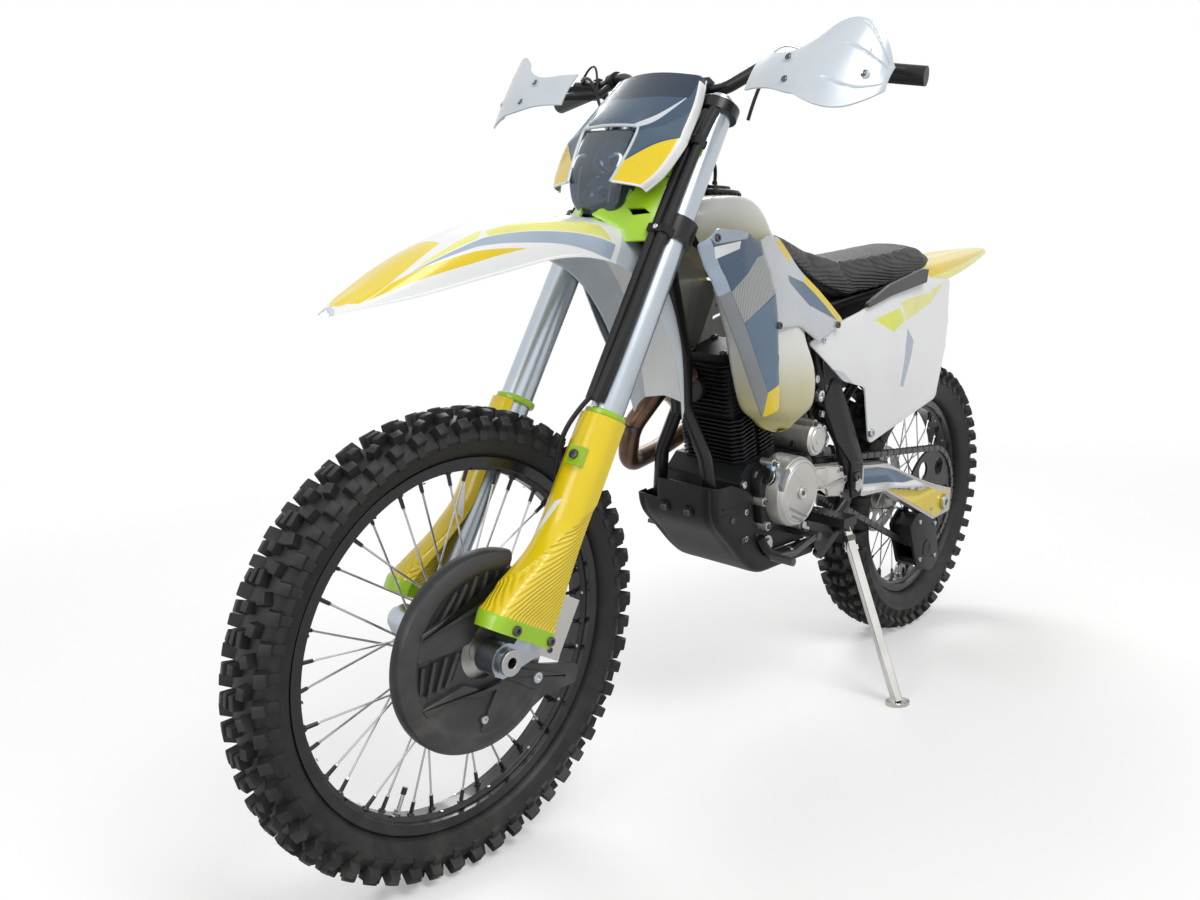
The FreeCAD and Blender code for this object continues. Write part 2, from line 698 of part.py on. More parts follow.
def fender_sections():
    """Stations along the front mudguard: (ahead, up, half width, side drop)."""
    return [(470, 348, 12, 5), (440, 391, 40, 20), (380, 484, 60, 64), (290, 579, 72, 82), (190, 642, 76, 66),
            (100, 681, 76, 66), (20, 684, 74, 66), (-60, 654, 70, 66), (-140, 588, 66, 56), (-205, 500, 56, 34)]


def front_fender():
    """A long channel from its pointed tip, under the lower clamp and down behind the legs."""
    wall = PANEL_WALL
    sections = []
    for a, s, half, drop in fender_sections():
        outer = [(a, half, s - drop), (a, half * 0.92, s - drop * 0.3), (a, half * 0.55, s), (a, 0, s + 4),
                 (a, -half * 0.55, s), (a, -half * 0.92, s - drop * 0.3), (a, -half, s - drop)]
        inner = [(a, -half + wall, s - drop), (a, (-half + wall) * 0.92, s - drop * 0.3 - wall),
                 (a, -half * 0.5, s - wall), (a, 0, s + 4 - wall),
                 (a, half * 0.5, s - wall), (a, (half - wall) * 0.92, s - drop * 0.3 - wall), (a, half - wall, s - drop)]
        sections.append(outer + inner)
    shell = loft(sections)
    legs = [Part.makeCylinder(TUBE_RADIUS + 3, 900, Vector(a, y, 0)) for a, y in leg_positions()]
    seat = Part.makeCylinder(24, LOWER_CLAMP_BOTTOM - 660, Vector(10, 0, 660))
    return joined([shell.cut(legs), seat])


def headlamp_mask():
    """The number-plate mask round the headlamp, bowed across the machine."""
    rows = []
    for s, a, half in ((735, 142, 96), (768, 144, 115), (822, 143, 127), (850, 136, 124), (910, 116, 112), (968, 98, 92)):
        row = []
        for step in range(-4, 5):
            y = half * step / 4
            row.append((a - MASK_BOW * (y / half) ** 2, y, s))
        rows.append(row)
    shell = sheet(rows, (-4, 0, 0))
    window = Part.makeBox(200, 2 * LENS_HALF + 2 * FIT, 140, Vector(0, -LENS_HALF - FIT, LENS_TOP + FIT - 140))
    return shell.cut(window)


def headlamp():
    """The lamp body in the mask's window, with a sloping lower half."""
    sections = []
    for s, back, front, half in ((LENS_BOTTOM, 76, 104, 32), (712, 76, 120, 50), (748, 76, 142, LENS_HALF),
                                 (LENS_TOP, 76, 144, LENS_HALF)):
        sections.append([(back, half, s), (front - 6, half, s), (front, half - 10, s), (front, 10 - half, s),
                         (front - 6, -half, s), (back, -half, s)])
    return loft(sections)


def headlamp_bracket():
    """A folded plate before each fork leg, joined under the lamp, with a shelf and an arm to the mask."""
    front = LEG_OFFSET + TUBE_RADIUS + CLAMP_WALL + FIT
    outline = [(0, 676), (37, 670), (62, 662), (67, 652), (95, 668), (118, 672), (116, 704), (95, 717), (108, 716),
               (103, 783), (106, 797), (121, 819), (125, 848), (121, 872), (96, 880), (80, 793), (60, 786), (58, 754),
               (40, 749), (43, 729), (14, 692), (0, 690)]
    corners = [Vector(BRACKET_A + (BRACKET_Y - y) * BRACKET_SLOPE, y, s) for y, s in outline]
    plate = Part.Face(Part.makePolygon(corners + corners[:1])).extrude(Vector(BRACKET_WALL, 0, 0))
    arm = Part.makeBox(69, BRACKET_WALL, 40, Vector(front, 86 - BRACKET_WALL / 2, 752))
    shelf = Part.makeBox(62, 92, BRACKET_WALL, Vector(front, -46, LENS_BOTTOM - BRACKET_WALL))
    hull = [[(a, half, s - drop), (a, half * 0.92, s - drop * 0.3), (a, half * 0.55, s), (a, 0, s + 4),
             (a, -half * 0.55, s), (a, -half * 0.92, s - drop * 0.3), (a, -half, s - drop)]
            for a, s, half, drop in fender_sections()]
    whole = joined([plate, arm, mirrored(plate), mirrored(arm), shelf])
    return biggest(whole.cut([headlamp(), headlamp_mask(), triple_clamps(), loft(hull)]))


def bar_points():
    """The handlebar's route from the middle to its left end."""
    return [(BAR_CLAMP_A, 0, BAR_CLAMP_S), (BAR_CLAMP_A, BAR_FLAT, BAR_CLAMP_S),
            (BAR_CLAMP_A - 4, BAR_RISE_Y, BAR_RISE_S), (BAR_END_A, BAR_END_Y, BAR_END_S)]


def handlebar():
    right = [(a, -y, s) for a, y, s in reversed(bar_points()[1:])]
    return pipe(right + bar_points()[1:], BAR_RADIUS, BAR_BEND)


def bar_spot(distance):
    """A point of the left bar end, measured inwards from its tip, and the way along it."""
    tip = Vector(BAR_END_A, BAR_END_Y, BAR_END_S)
    inner = Vector(*bar_points()[2])
    along = (inner - tip).normalize()
    return tip + along * distance, along


def grips():
    start, _ = bar_spot(-4)
    end, _ = bar_spot(GRIP_LENGTH)
    tip, _ = bar_spot(0)
    grip = rod(start, end, GRIP_RADIUS).cut(rod(tip, end + (end - tip), BAR_RADIUS))
    return both_sides(grip)


def hand_controls():
    """On each side a perch clamped to the bar, a reservoir and a lever."""
    start, along = bar_spot(GRIP_LENGTH + 16)
    end = start + along * PERCH_WIDTH
    ahead = Vector(0.89, 0, -0.45)
    pivot = start + ahead * 40 + Vector(0, 6, 0)
    ring = rod(start, end, PERCH_RADIUS)
    body = rod((start + end) * 0.5, pivot, 12)
    tank = rod(pivot - Vector(0, 4, 0), pivot - Vector(0, 58, 4), 13)
    tip, _ = bar_spot(6)
    lever = pipe([pivot, pivot + Vector(-4, 30, 0) + ahead * 8, tip + ahead * 44], 6.0, 40)
    bore = rod(start - along * 60, end + along * 60, BAR_RADIUS)
    return both_sides(joined([ring, body, tank, lever]).cut(bore))


def handguards():
    """A bowed shell in front of each grip, held at its inner end by an arm to the bar."""
    rows = []
    for y, a, s, height in ((212, 87, 961, 70), (250, 98, 953, 70), (300, 104, 947, 84), (322, 104, 956, 114),
                            (342, 101, 971, 156), (376, 89, 967, 168), (408, 65, 958, 128), (431, 36, 964, 46)):
        row = []
        for step in range(-3, 4):
            up = step / 3
            row.append((a - GUARD_BOW * up * up - GUARD_SLANT * height * up, y, s + height / 2 * up))
        rows.append(row)
    shell = sheet(rows, (-PANEL_WALL, 0, 0))
    clamp, along = bar_spot(GRIP_LENGTH + 92)
    ring = rod(clamp, clamp + along * 20, PERCH_RADIUS - 2)
    arm = pipe([clamp + along * 10, clamp + Vector(24, 0, -44), Vector(86, 232, 944)], 7.0, 30)
    bore = rod(clamp - along * 60, clamp + along * 80, BAR_RADIUS)
    return both_sides(joined([shell, ring, arm]).cut(bore))


def brake_hose():
    """The front brake hose, down the front of the left leg to the caliper."""
    front = LEG_OFFSET + TUBE_RADIUS + 16
    route = [(front - 6, 128, 905), (front + 2, 128, 700), (front + 2, 122, 500), (LEG_OFFSET + 46, 100, 400),
             (LEG_OFFSET + 46, 74, 330), (LEG_OFFSET + 10, 66, 260), (LEG_OFFSET - 40, 66, 190), (LEG_OFFSET - 60, 66, 118)]
    return pipe(route, 4.0, 50)


# Frame and engine

def seat_rail(side, radius):
    return pipe([(-96, side * 20, 852), (-190, side * 58, 824), (-640, side * 62, 888)], radius, 80)


def frame():
    """Head tube, backbone, down tubes, cradle, pivot plates and seat rails, welded up."""
    head_low = LOWER_CLAMP_BOTTOM + LOWER_CLAMP_THICK + HEAD_GAP
    head_high = TOP_CLAMP_BOTTOM - HEAD_GAP
    head = on_fork(Part.makeCylinder(HEAD_RADIUS, head_high - head_low, Vector(0, 0, head_low)))
    bore = on_fork(Part.makeCylinder(STEM_RADIUS + FIT, 400, Vector(0, 0, head_low - 50)))
    top = steering_base() + steering_axis() * BACKBONE_JOINT
    parts = [head,
             pipe([top, (150, 0, 952), (-95, 0, 862)], BACKBONE_RADIUS, 200),
             pipe([top + Vector(0, 0, 6), top + Vector(-30, 0, -22), (208, 0, 740), (198, 0, 640)],
                  DOWN_TUBE_RADIUS, 40)]
    for side in SIDES:
        parts.append(pipe([(200, side * 4, 655), (186, side * 50, 560), (166, side * 66, 436),
                           (40, side * CRADLE_Y, CRADLE_Z), (-190, side * CRADLE_Y, CRADLE_Z),
                           (-262, side * 97, 412)], FRAME_TUBE, 60))
        parts.append(pipe([(-86, side * 8, 862), (-104, side * 86, 800), (-126, side * UPRIGHT_Y, 640),
                           (-215, side * UPRIGHT_Y, 548), (PIVOT_X, side * UPRIGHT_Y, PIVOT_Z)], FRAME_TUBE, 60))
        parts.append(seat_rail(side, RAIL_RADIUS))
        parts.append(pipe([(-170, side * 92, 580), (-330, side * 84, 690), (-600, side * 62, 882)], 10, 80))
        plate = [(-298, 470), (-285, 498), (-252, 506), (-246, 470), (-240, 400), (-200, 340), (-150, 322), (-180, 302),
                 (-262, 350), (-296, 420)]
        low, high = sorted((side * PLATE_INNER, side * PLATE_OUTER))
        parts.append(side_slab(plate, low, high, 8))
    parts.append(across(-606, 883.4, 9, -62, 62))
    parts.append(across(-120, 660, 11, -92, 92))
    lug = Vector(*STAND_PIVOT)
    reach = STAND_RADIUS + FIT + 32
    parts.append(Part.makeCylinder(STAND_LUG, 32, lug - stand_axis() * reach, stand_axis()))
    return joined(parts + [pivot_bolt()]).cut(bore)


def engine_case():
    """The closed crankcase, with the output shaft and drive sprocket on its left."""
    outline = [(CASE_FRONT, CASE_TOP - 30), (CASE_FRONT - 30, CASE_TOP), (CASE_STEP, CASE_TOP),
               (CASE_STEP, CASE_BOTTOM), (CASE_FRONT - CASE_NOSE, CASE_BOTTOM), (CASE_FRONT, CASE_BOTTOM + CASE_NOSE)]
    main = side_slab(outline, -CASE_HALF, CASE_HALF, 8)
    rear = side_slab([(CASE_STEP + 10, CASE_TOP), (CASE_REAR + 20, CASE_TOP - 12), (CASE_REAR, 460), (CASE_REAR + 20, CASE_BOTTOM + 16),
                      (CASE_STEP + 10, CASE_BOTTOM)], -CASE_HALF, SPROCKET_WALL_Y, 8)
    shaft = across(DRIVE_X, DRIVE_Z, 12, SPROCKET_WALL_Y - 5, CHAIN_Y + SPROCKET_THICK)
    drive = across(DRIVE_X, DRIVE_Z, FRONT_PITCH_RADIUS - CHAIN_CLEARANCE - 1,
                   CHAIN_Y - SPROCKET_THICK / 2, CHAIN_Y + SPROCKET_THICK / 2)
    return joined([main, rear, shaft, drive])


def engine_covers():
    """The round cover, its skirt, the starter and the sprocket cover, and the right-hand cover."""
    face = CASE_HALF + FIT
    skirt = [(84, 500), (60, 536), (-100, 536), (-124, 470), (-60, 412), (60, 412)]
    guard = [(-90, 512), (-212, 500), (-238, 470), (-222, 432), (-160, 440), (-128, 458), (-90, 458)]
    left = joined([across(CRANK_X, CRANK_Z, COVER_RADIUS, face, COVER_OUTER - 8),
                   across(CRANK_X, CRANK_Z, COVER_RADIUS - 12, face, COVER_OUTER),
                   side_slab(skirt, face, face + 24, 14), side_slab(guard, face, SPROCKET_COVER_Y, 6)])
    starter = joined([across(STARTER_X, STARTER_Z, STARTER_RADIUS, 20, 108),
                      across(STARTER_X, STARTER_Z, STARTER_RADIUS - 10, 20, 114)])
    below = side_slab([(-260, 300), (200, 300), (200, CASE_TOP + FIT), (-260, CASE_TOP + FIT)], 0, 200)
    right = joined([across(CRANK_X, CRANK_Z - 2, COVER_RADIUS + 2, -118, -face), side_slab(skirt, -104, -face, 14)])
    return together([left, starter.cut(below), right])


def barrel_placement():
    return Placement(Vector(36, 0, CASE_TOP + FIT), Rotation(Y_AXIS, BARREL_TILT))


def engine_barrel():
    """The finned cylinder and head above the crankcase."""
    length, width = BARREL_LENGTH, BARREL_WIDTH
    pieces = []
    core = Part.makeBox(length - 2 * FIN_DEPTH, width - 2 * FIN_DEPTH, FINS * FIN_PITCH + FIN_DEPTH + 20)
    core.translate(Vector(-length / 2 + FIN_DEPTH, -width / 2 + FIN_DEPTH, -20))
    pieces.append(core)
    for i in range(FINS):
        fin = Part.makeBox(length, width, FIN_THICK)
        fin.translate(Vector(-length / 2, -width / 2, 6 + i * FIN_PITCH))
        pieces.append(fin)
    base = 6 + (FINS - 1) * FIN_PITCH + FIN_THICK
    head = Part.makeBox(length - 10, width - 20, HEAD_HEIGHT)
    head.translate(Vector(-length / 2 + 5, -width / 2 + 10, base - 1))
    head = head.makeFillet(10, [e for e in head.Edges if abs(e.tangentAt(0).z) > 0.9])
    cap = Part.makeBox(length - 40, width - 50, 22)
    cap.translate(Vector(-length / 2 + 20, -width / 2 + 25, base + HEAD_HEIGHT - 2))
    pieces += [head, cap]
    whole = joined(pieces)
    whole.Placement = barrel_placement()
    below = Part.makeBox(400, 300, 200, Vector(-200, -150, CASE_TOP + FIT - 200))
    return biggest(whole.cut(below))


def exhaust_header():
    """The pipe from the front of the head, round the right-hand down tube to the silencer."""
    route = [(140, -20, 700), (190, -48, 690), (238, -86, 600), (212, -112, 524), (90, -140, 530), (-150, -143, 600),
             (-330, -134, 652), MUFFLER_FRONT]
    inner = joined([pipe(route, HEADER_RADIUS, 60)])
    return inner.cut(engine_barrel())


def muffler_line():
    """Where the silencer starts and the way that it points."""
    front = Vector(*MUFFLER_FRONT)
    return front, (Vector(*MUFFLER_REAR) - front).normalize()


def muffler():
    """The silencer can on the right, below the seat rail."""
    front, way = muffler_line()
    cone = Part.makeCone(HEADER_RADIUS + 4, MUFFLER_RADIUS, MUFFLER_CONE, front, way)
    can = Part.makeCylinder(MUFFLER_RADIUS, MUFFLER_LENGTH, front + way * MUFFLER_CONE, way)
    tip = Part.makeCylinder(20, 34, front + way * (MUFFLER_CONE + MUFFLER_LENGTH), way)
    return joined([cone, can, tip]).cut(exhaust_header())


def skid_plate():
    """A bash plate under the cradle, its narrower front turned up before the down tubes."""
    floor = CRADLE_Z - FRAME_TUBE - FIT
    outer = [(210, 512), (207, 471), (189, 430), (54, floor - SKID_WALL), (-150, floor - SKID_WALL),
             (-150, floor + SKID_LIP), (28, floor + SKID_LIP), (68, 396), (90, 484), (150, 500)]
    inner = [(206, 700), (203, 472), (185, 432), (52, floor), (-250, floor), (-250, 700)]
    body = side_slab(outer, -SKID_HALF, SKID_HALF, 12)
    room = side_slab(inner, -SKID_HALF + SKID_WALL, SKID_HALF - SKID_WALL, 10)
    gap = side_slab([(300, 760), (300, 470), (100, 470), (60, 760)], -SKID_HALF - 5, -40)
    return body.cut([room, gap])


def swingarm():
    """A pivot tube, a cross beam between the chain's two runs and two tapering arms."""
    parts = [across(PIVOT_X, PIVOT_Z, PIVOT_RADIUS, -PLATE_INNER + FIT, PLATE_INNER - FIT),
             side_slab([(PIVOT_X, 474), (-345, 474), (-345, 430), (PIVOT_X, 431)], -84, 84)]
    x_end, z_end = REAR_AXLE.x, REAR_AXLE.z
    for side in SIDES:
        low, high = sorted((side * ARM_INNER, side * ARM_OUTER))
        outline = [(-299, 486), (-420, 474), (x_end + 90, z_end + 57), (x_end - 42, z_end + 27), (x_end - 42, z_end - 29),
                   (x_end + 50, z_end - 35), (x_end + 170, z_end + 17), (-420, 412), (-304, 418)]
        parts.append(side_slab(outline, low, high, 10))
        low, high = sorted((side * 60, side * ARM_INNER + side))
        parts.append(side_slab([(-304, 472), (-345, 472), (-345, 432), (-304, 432)], low, high))
    whole = joined(parts)
    return whole.cut([across(x_end, REAR_AXLE.z, AXLE_RADIUS, -150, 150),
                      across(PIVOT_X, PIVOT_Z, PIVOT_BOLT_RADIUS, -120, 120)])


def pivot_bolt():
    bolt = across(PIVOT_X, PIVOT_Z, PIVOT_BOLT_RADIUS, -PLATE_OUTER - 4, PLATE_OUTER + 4)
    heads = [across(PIVOT_X, PIVOT_Z, 15, *sorted((side * PLATE_OUTER, side * (PLATE_OUTER + 7)))) for side in SIDES]
    return joined([bolt] + heads)


def shock():
    """The damper and its spring, from the frame's cross tube to the swingarm beam."""
    top, bottom = Vector(-150, 0, 690), Vector(-318, 0, 492)
    way = (top - bottom).normalize()
    length = (top - bottom).Length
    body = [Part.makeCylinder(14, length, bottom, way)]
    for i in range(8):
        body.append(Part.makeCylinder(30, 9, bottom + way * (40 + i * 20), way))
    body.append(Part.makeCylinder(22, length - 60, bottom + way * 34, way))
    body.append(across(bottom.x, bottom.z, 17, -16, 16))
    body.append(across(top.x, top.z, 17, -16, 16))
    foot = Part.makeBox(30, 30, 20, Vector(-333, -15, 474.2))
    return joined(body + [foot])


def chain():
    """The drive chain as one fixed loop round both sprockets."""
    def outline(grow):
        big, small = REAR_PITCH_RADIUS + grow, FRONT_PITCH_RADIUS + grow
        rear = Vector(REAR_AXLE.x, 0, REAR_AXLE.z)
        front = Vector(DRIVE_X, 0, DRIVE_Z)
        run = front - rear
        slope = math.atan2(run.z, run.x)
        spread = math.acos((big - small) / run.Length)

        def spot(centre, radius, angle):
            return centre + Vector(math.cos(angle), 0, math.sin(angle)) * radius

        upper, lower = slope + spread, slope - spread
        far = Part.Arc(spot(rear, big, upper), spot(rear, big, slope + math.pi), spot(rear, big, lower)).toShape()
        near = Part.Arc(spot(front, small, lower), spot(front, small, slope), spot(front, small, upper)).toShape()
        runs = [Part.LineSegment(spot(rear, big, lower), spot(front, small, lower)).toShape(),
                Part.LineSegment(spot(front, small, upper), spot(rear, big, upper)).toShape()]
        return Part.Face(Part.Wire([far, runs[0], near, runs[1]]))

    band = outline(CHAIN_HALF_HEIGHT).cut(outline(-CHAIN_CLEARANCE))
    loop = band.extrude(Vector(0, CHAIN_WIDTH, 0))
    loop.translate(Vector(0, CHAIN_Y - CHAIN_WIDTH / 2, 0))
    return loop


def chain_guide():
    """The block under the arm that keeps the lower run in line."""
    x, z = REAR_AXLE.x, REAR_AXLE.z
    outline = [(x + 130, z - 5), (x + 30, z - 35), (x, z - 145), (x + 40, z - 167), (x + 120, z - 139), (x + 170, z - 35)]
    body = side_slab(outline, CHAIN_Y - 15, ARM_OUTER, 10)
    groove = side_slab([(x + 230, z + 17), (x + 230, z - 175), (x - 30, z - 175), (x - 30, z + 17)],
                       CHAIN_Y - 9, CHAIN_Y + 9)
    tyre_room = side_slab([(x + 230, z + 65), (x + 230, z - 175), (x - 30, z - 175), (x - 30, z + 65)],
                          0, CHAIN_Y - 9)
    return body.cut([groove, tyre_room, swingarm()])


# Bodywork

def fuel_tank():
    """A tank over the backbone, with a lobe down each side of the engine."""
    def station(x, half, low, high, shoulder):
        return [(x, half, low), (x, half, high - shoulder), (x, half * 0.6, high), (x, -half * 0.6, high),
                (x, -half, high - shoulder), (x, -half, low)]

    saddle = loft([station(268, 48, 985, 1008, 10), station(222, 78, 905, 1026, 30), station(135, 122, 870, 1032, 60),
                   station(92, 118, 872, 1000, 54), station(40, 112, 872, 960, 40), station(-52, 70, 884, 922, 20)])
    lobe_rows = []
    for z, x0, x1, y0, y1 in ((622, -10, 96, 88, 138), (650, -32, 140, 82, 154), (720, -20, 172, 80, 158),
                              (790, 10, 200, 78, 150), (880, 8, 226, 60, 138), (925, 30, 215, 50, 116)):
        lobe_rows.append([(x0, y0, z), (x0 + 10, y1 - 16, z), (x0 + 34, y1, z), (x1 - 34, y1 - 8, z), (x1, y0 + 18, z),
                          (x1 - 6, y0, z)])
    lobe = loft(lobe_rows)
    whole = joined([saddle, lobe, mirrored(lobe)])
    run = pipe([(380, 0, 1026), (150, 0, 952), (-140, 0, 846)], BACKBONE_RADIUS + 1.0, 200)
    tunnel = Part.makeBox(500, 2 * BACKBONE_RADIUS + 2, 160, Vector(-150, -BACKBONE_RADIUS - 1, 790))
    return whole.cut([run, tunnel.cut(Part.makeBox(500, 200, 100, Vector(90, -100, 932)))])


def fuel_cap():
    cap = Part.makeCylinder(36, 22, Vector(135, 0, 1026))
    return joined([cap, Part.makeCylinder(30, 6, Vector(135, 0, 1046))]).cut(fuel_tank())


def shrouds():
    """The panels each side of the tank, reaching forward beside the fork."""
    outline = [(372, 950), (330, 978), (230, 970), (110, 966), (-128, 806), (-20, 772), (60, 806), (150, 800),
               (136, 662), (168, 648)]
    stations = [(640, [(400, 164), (250, 166), (120, 168), (-140, 166)]),
                (800, [(400, 162), (250, 168), (120, 164), (-140, 142)]),
                (985, [(400, 164), (250, 152), (120, 130), (-140, 98)])]
    return both_sides(bowed_panel(outline, stations))


def seat():
    """The cushion from its nose on the tank to the rear mudguard."""
    rows = []
    for x, top, bottom, half, base in ((64, 978, 966, 48, 54), (-20, 970, 934, 58, 72), (-120, 938, 874, 66, 86),
                                       (-240, 916, 842, 78, 92), (-440, 936, 868, 86, 94), (-600, 956, 904, 80, 90),
                       (-640, 948, 922, 70, 78)):
        rows.append([(x, base, bottom), (x, half + 4, (top + bottom) / 2), (x, half - 16, top - 3), (x, 0, top),
                     (x, -half + 16, top - 3), (x, -half - 4, (top + bottom) / 2), (x, -base, bottom)])
    tank = fuel_tank()
    raised = tank.copy()
    raised.translate(Vector(-FIT, 0, 2 * FIT))
    rails = [seat_rail(side, RAIL_RADIUS + FIT) for side in SIDES]
    return biggest(loft(rows).cut([raised, rear_fender()] + rails).cut(tank))


def rear_fender():
    """The tail, from under the seat to its raised tip."""
    rows = []
    for x, z, half, drop in ((-592, 898, 92, 30), (-660, 910, 96, 34), (-800, 926, 84, 26), (-940, 940, 60, 16),
                             (-1060, 950, 30, 8), (-1083, 950, 10, 4)):
        rows.append([(x, half, z - drop), (x, half * 0.75, z - 2), (x, 0, z), (x, -half * 0.75, z - 2), (x, -half, z - drop),
                     (x, -half + 4, z - drop), (x, -half * 0.72, z - 6), (x, 0, z - 4), (x, half * 0.72, z - 6),
                     (x, half - 4, z - drop)])
    return loft(rows)


def tail_lamp():
    return loft([[(-900, 34, 930), (-900, -34, 930), (-900, -34, 914), (-900, 34, 914)],
                 [(-960, 28, 934), (-960, -28, 934), (-960, -28, 912), (-960, 28, 912)]]).cut(rear_fender())


def side_panels():
    """The number panels each side below the seat."""
    outline = [(-10, 768), (-124, 802), (-330, 850), (-560, 884), (-690, 880), (-672, 760), (-632, 602), (-290, 538),
               (-240, 664), (-150, 684)]
    stations = [(530, [(10, 132), (-350, 130), (-700, 112)]),
                (720, [(10, 140), (-350, 142), (-700, 116)]),
                (900, [(10, 132), (-350, 128), (-700, 104)])]
    boss = across(PANEL_BOSS_X, PANEL_BOSS_Z, PANEL_BOSS_RADIUS, 60, 122).cut(seat_rail(1, RAIL_RADIUS + FIT))
    left = joined([bowed_panel(outline, stations), biggest(boss)])
    front, way = muffler_line()
    room = Part.makeCylinder(MUFFLER_RADIUS + MUFFLER_ROOM, 900, front - way * 200, way)
    return together([left, biggest(mirrored(left).cut(room))])


def airbox():
    """The closed box between the seat rails, hollowed for the rear tyre."""
    outline = [(-180, 806), (-560, 862), (-580, 874), (-640, 874), (-640, 800), (-520, 790), (-420, 730), (-370, 660), (-330, 640),
               (-246, 720), (-190, 760)]
    body = side_slab(outline, -46, 46, 10)
    return body


def grab_handles():
    """The dark hand holds each side under the seat's rear."""
    outline = [(-150, 812), (-330, 874), (-520, 912), (-505, 876.3), (-330, 850.5)]
    stations = [(795, [(-100, 146), (-560, 140)]), (905, [(-100, 136), (-560, 128)])]
    return both_sides(bowed_panel(outline, stations, 9, 5))


def footpegs():
    """The left and right pegs with their brackets."""
    bracket = side_slab([(-160, 322), (-96, 396), (-84, 426), (-128, 426), (-205, 356)], PLATE_OUTER + FIT,
                        PLATE_OUTER + PEG_BRACKET, 6)
    peg = Part.makeBox(50, 92, 18, Vector(-130, PLATE_OUTER + PEG_BRACKET - 1, 408))
    return both_sides(joined([bracket, peg]))


def gear_lever():
    pieces = [across(-60, 388, 8, CASE_HALF + FIT, 158),
              pipe([(-60, 150, 388), (20, 154, 372), (96, 156, 378)], 6, 40), across(94, 378, 8, 150, 196)]
    return joined(pieces)


def brake_pedal():
    inner = -(PLATE_OUTER + PEG_BRACKET + FIT)
    y = inner - 12
    pieces = [across(-112, 372, 9, y, inner), pipe([(-112, y, 372), (-30, y - 2, 350), (70, y - 4, 384)], 6, 40),
              Part.makeBox(34, 30, 8, Vector(64, y - 26, 382))]
    return joined(pieces)


def frame_guards():
    """The plastic guards over the frame beside the swingarm pivot."""
    outline = [(-140, 690), (-110, 640), (-172, 556), (-240, 500), (-250, 424), (-292, 424), (-292, 500), (-240, 580),
               (-168, 680)]
    face = UPRIGHT_Y + FRAME_TUBE + FIT
    return both_sides(side_slab(outline, face, face + 6, 12))


def rear_caliper():
    x, z = REAR_AXLE.x, REAR_AXLE.z
    block = side_slab([(x + 90, z + 89), (x + 30, z + 111), (x + 18, z + 73), (x + 74, z + 49)], -ARM_INNER + 6, -46, 6)
    hanger = side_slab([(x + 90, z + 89), (x + 30, z + 109), (x + 18, z + 65), (x + 30, z + 15), (x + 80, z + 15)],
                       -ARM_INNER + FIT, -ARM_INNER + 8)
    slot = across(REAR_AXLE.x, REAR_AXLE.z, REAR_DISC_RADIUS + 6, -REAR_DISC_Y - DISC_THICKNESS - 6, -REAR_DISC_Y + 6)
    return biggest(joined([block, hanger]).cut([slot, swingarm()]))


# Side stand

def stand_foot_upright():
    """The middle of the foot's sole on the upright machine."""
    back = resting_placement().inverse()
    return back.multVec(Vector(STAND_FOOT_X, STAND_FOOT_Y, 0))


def stand_axis():
    """The pivot's axis: square to the leg both when it is out and when it is folded back."""
    leg = (stand_foot_upright() - Vector(*STAND_PIVOT)).normalize()
    return leg.cross(Vector(*STAND_FOLDED)).normalize()


def side_stand():
    """The round leg with its pivot eye and flat foot."""
    pivot = Vector(*STAND_PIVOT)
    sole = stand_foot_upright()
    down = resting_placement().inverse().Rotation.multVec(Vector(0, 0, -1))
    axis = stand_axis()
    ankle = sole - down * STAND_FOOT_THICK
    leg = rod(pivot, ankle, STAND_RADIUS)
    eye = Part.makeCylinder(STAND_LUG + 4, 2 * STAND_RADIUS, pivot - axis * STAND_RADIUS, axis)
    foot = Part.makeCylinder(STAND_FOOT_RADIUS, STAND_FOOT_THICK, sole, down * -1)
    whole = joined([leg, eye, foot])
    floor = Part.makeBox(400, 400, 60, Vector(-200, -200, -60))
    floor.Placement = Placement(sole, resting_placement().inverse().Rotation)
    return whole.cut(floor)


def front_pieces():
    return {
        "triple_clamps": triple_clamps(), "fork_tubes": fork_tubes(), "fork_sliders": fork_sliders(),
        "fork_guards": fork_guards(), "disc_cover": disc_cover(), "front_caliper": front_caliper(),
        "front_fender": front_fender(), "headlamp_mask": headlamp_mask(), "headlamp": headlamp(),
        "headlamp_bracket": headlamp_bracket(), "handlebar": handlebar(), "grips": grips(),
        "hand_controls": hand_controls(), "handguards": handguards(), "front_brake_hose": brake_hose(),
    }


def front_wheel_pieces():
    return {
        "front_axle": axle(FRONT_AXLE, [(-LUG_INNER, -FRONT_HUB_HALF - FIT), (FRONT_HUB_HALF + FIT, LUG_INNER)]),
        "front_tyre": tyre(FRONT_AXLE, FRONT_TYRE_RADIUS, FRONT_TYRE_WIDTH, FRONT_CROWN_RADIUS, FRONT_RIM_RADIUS,
                           FRONT_RIM_WIDTH, FRONT_LUG_HEIGHT),
        "front_rim": rim(FRONT_AXLE, FRONT_RIM_RADIUS, FRONT_RIM_WIDTH),
        "front_spokes": spokes(FRONT_AXLE, FRONT_RIM_RADIUS, FRONT_FLANGE_Y),
        "front_hub": hub(FRONT_AXLE, FRONT_HUB_HALF, FRONT_FLANGE_Y, 1, FRONT_DISC_Y),
        "front_brake_disc": brake_disc(FRONT_AXLE, FRONT_DISC_RADIUS, 1, FRONT_DISC_Y),
    }


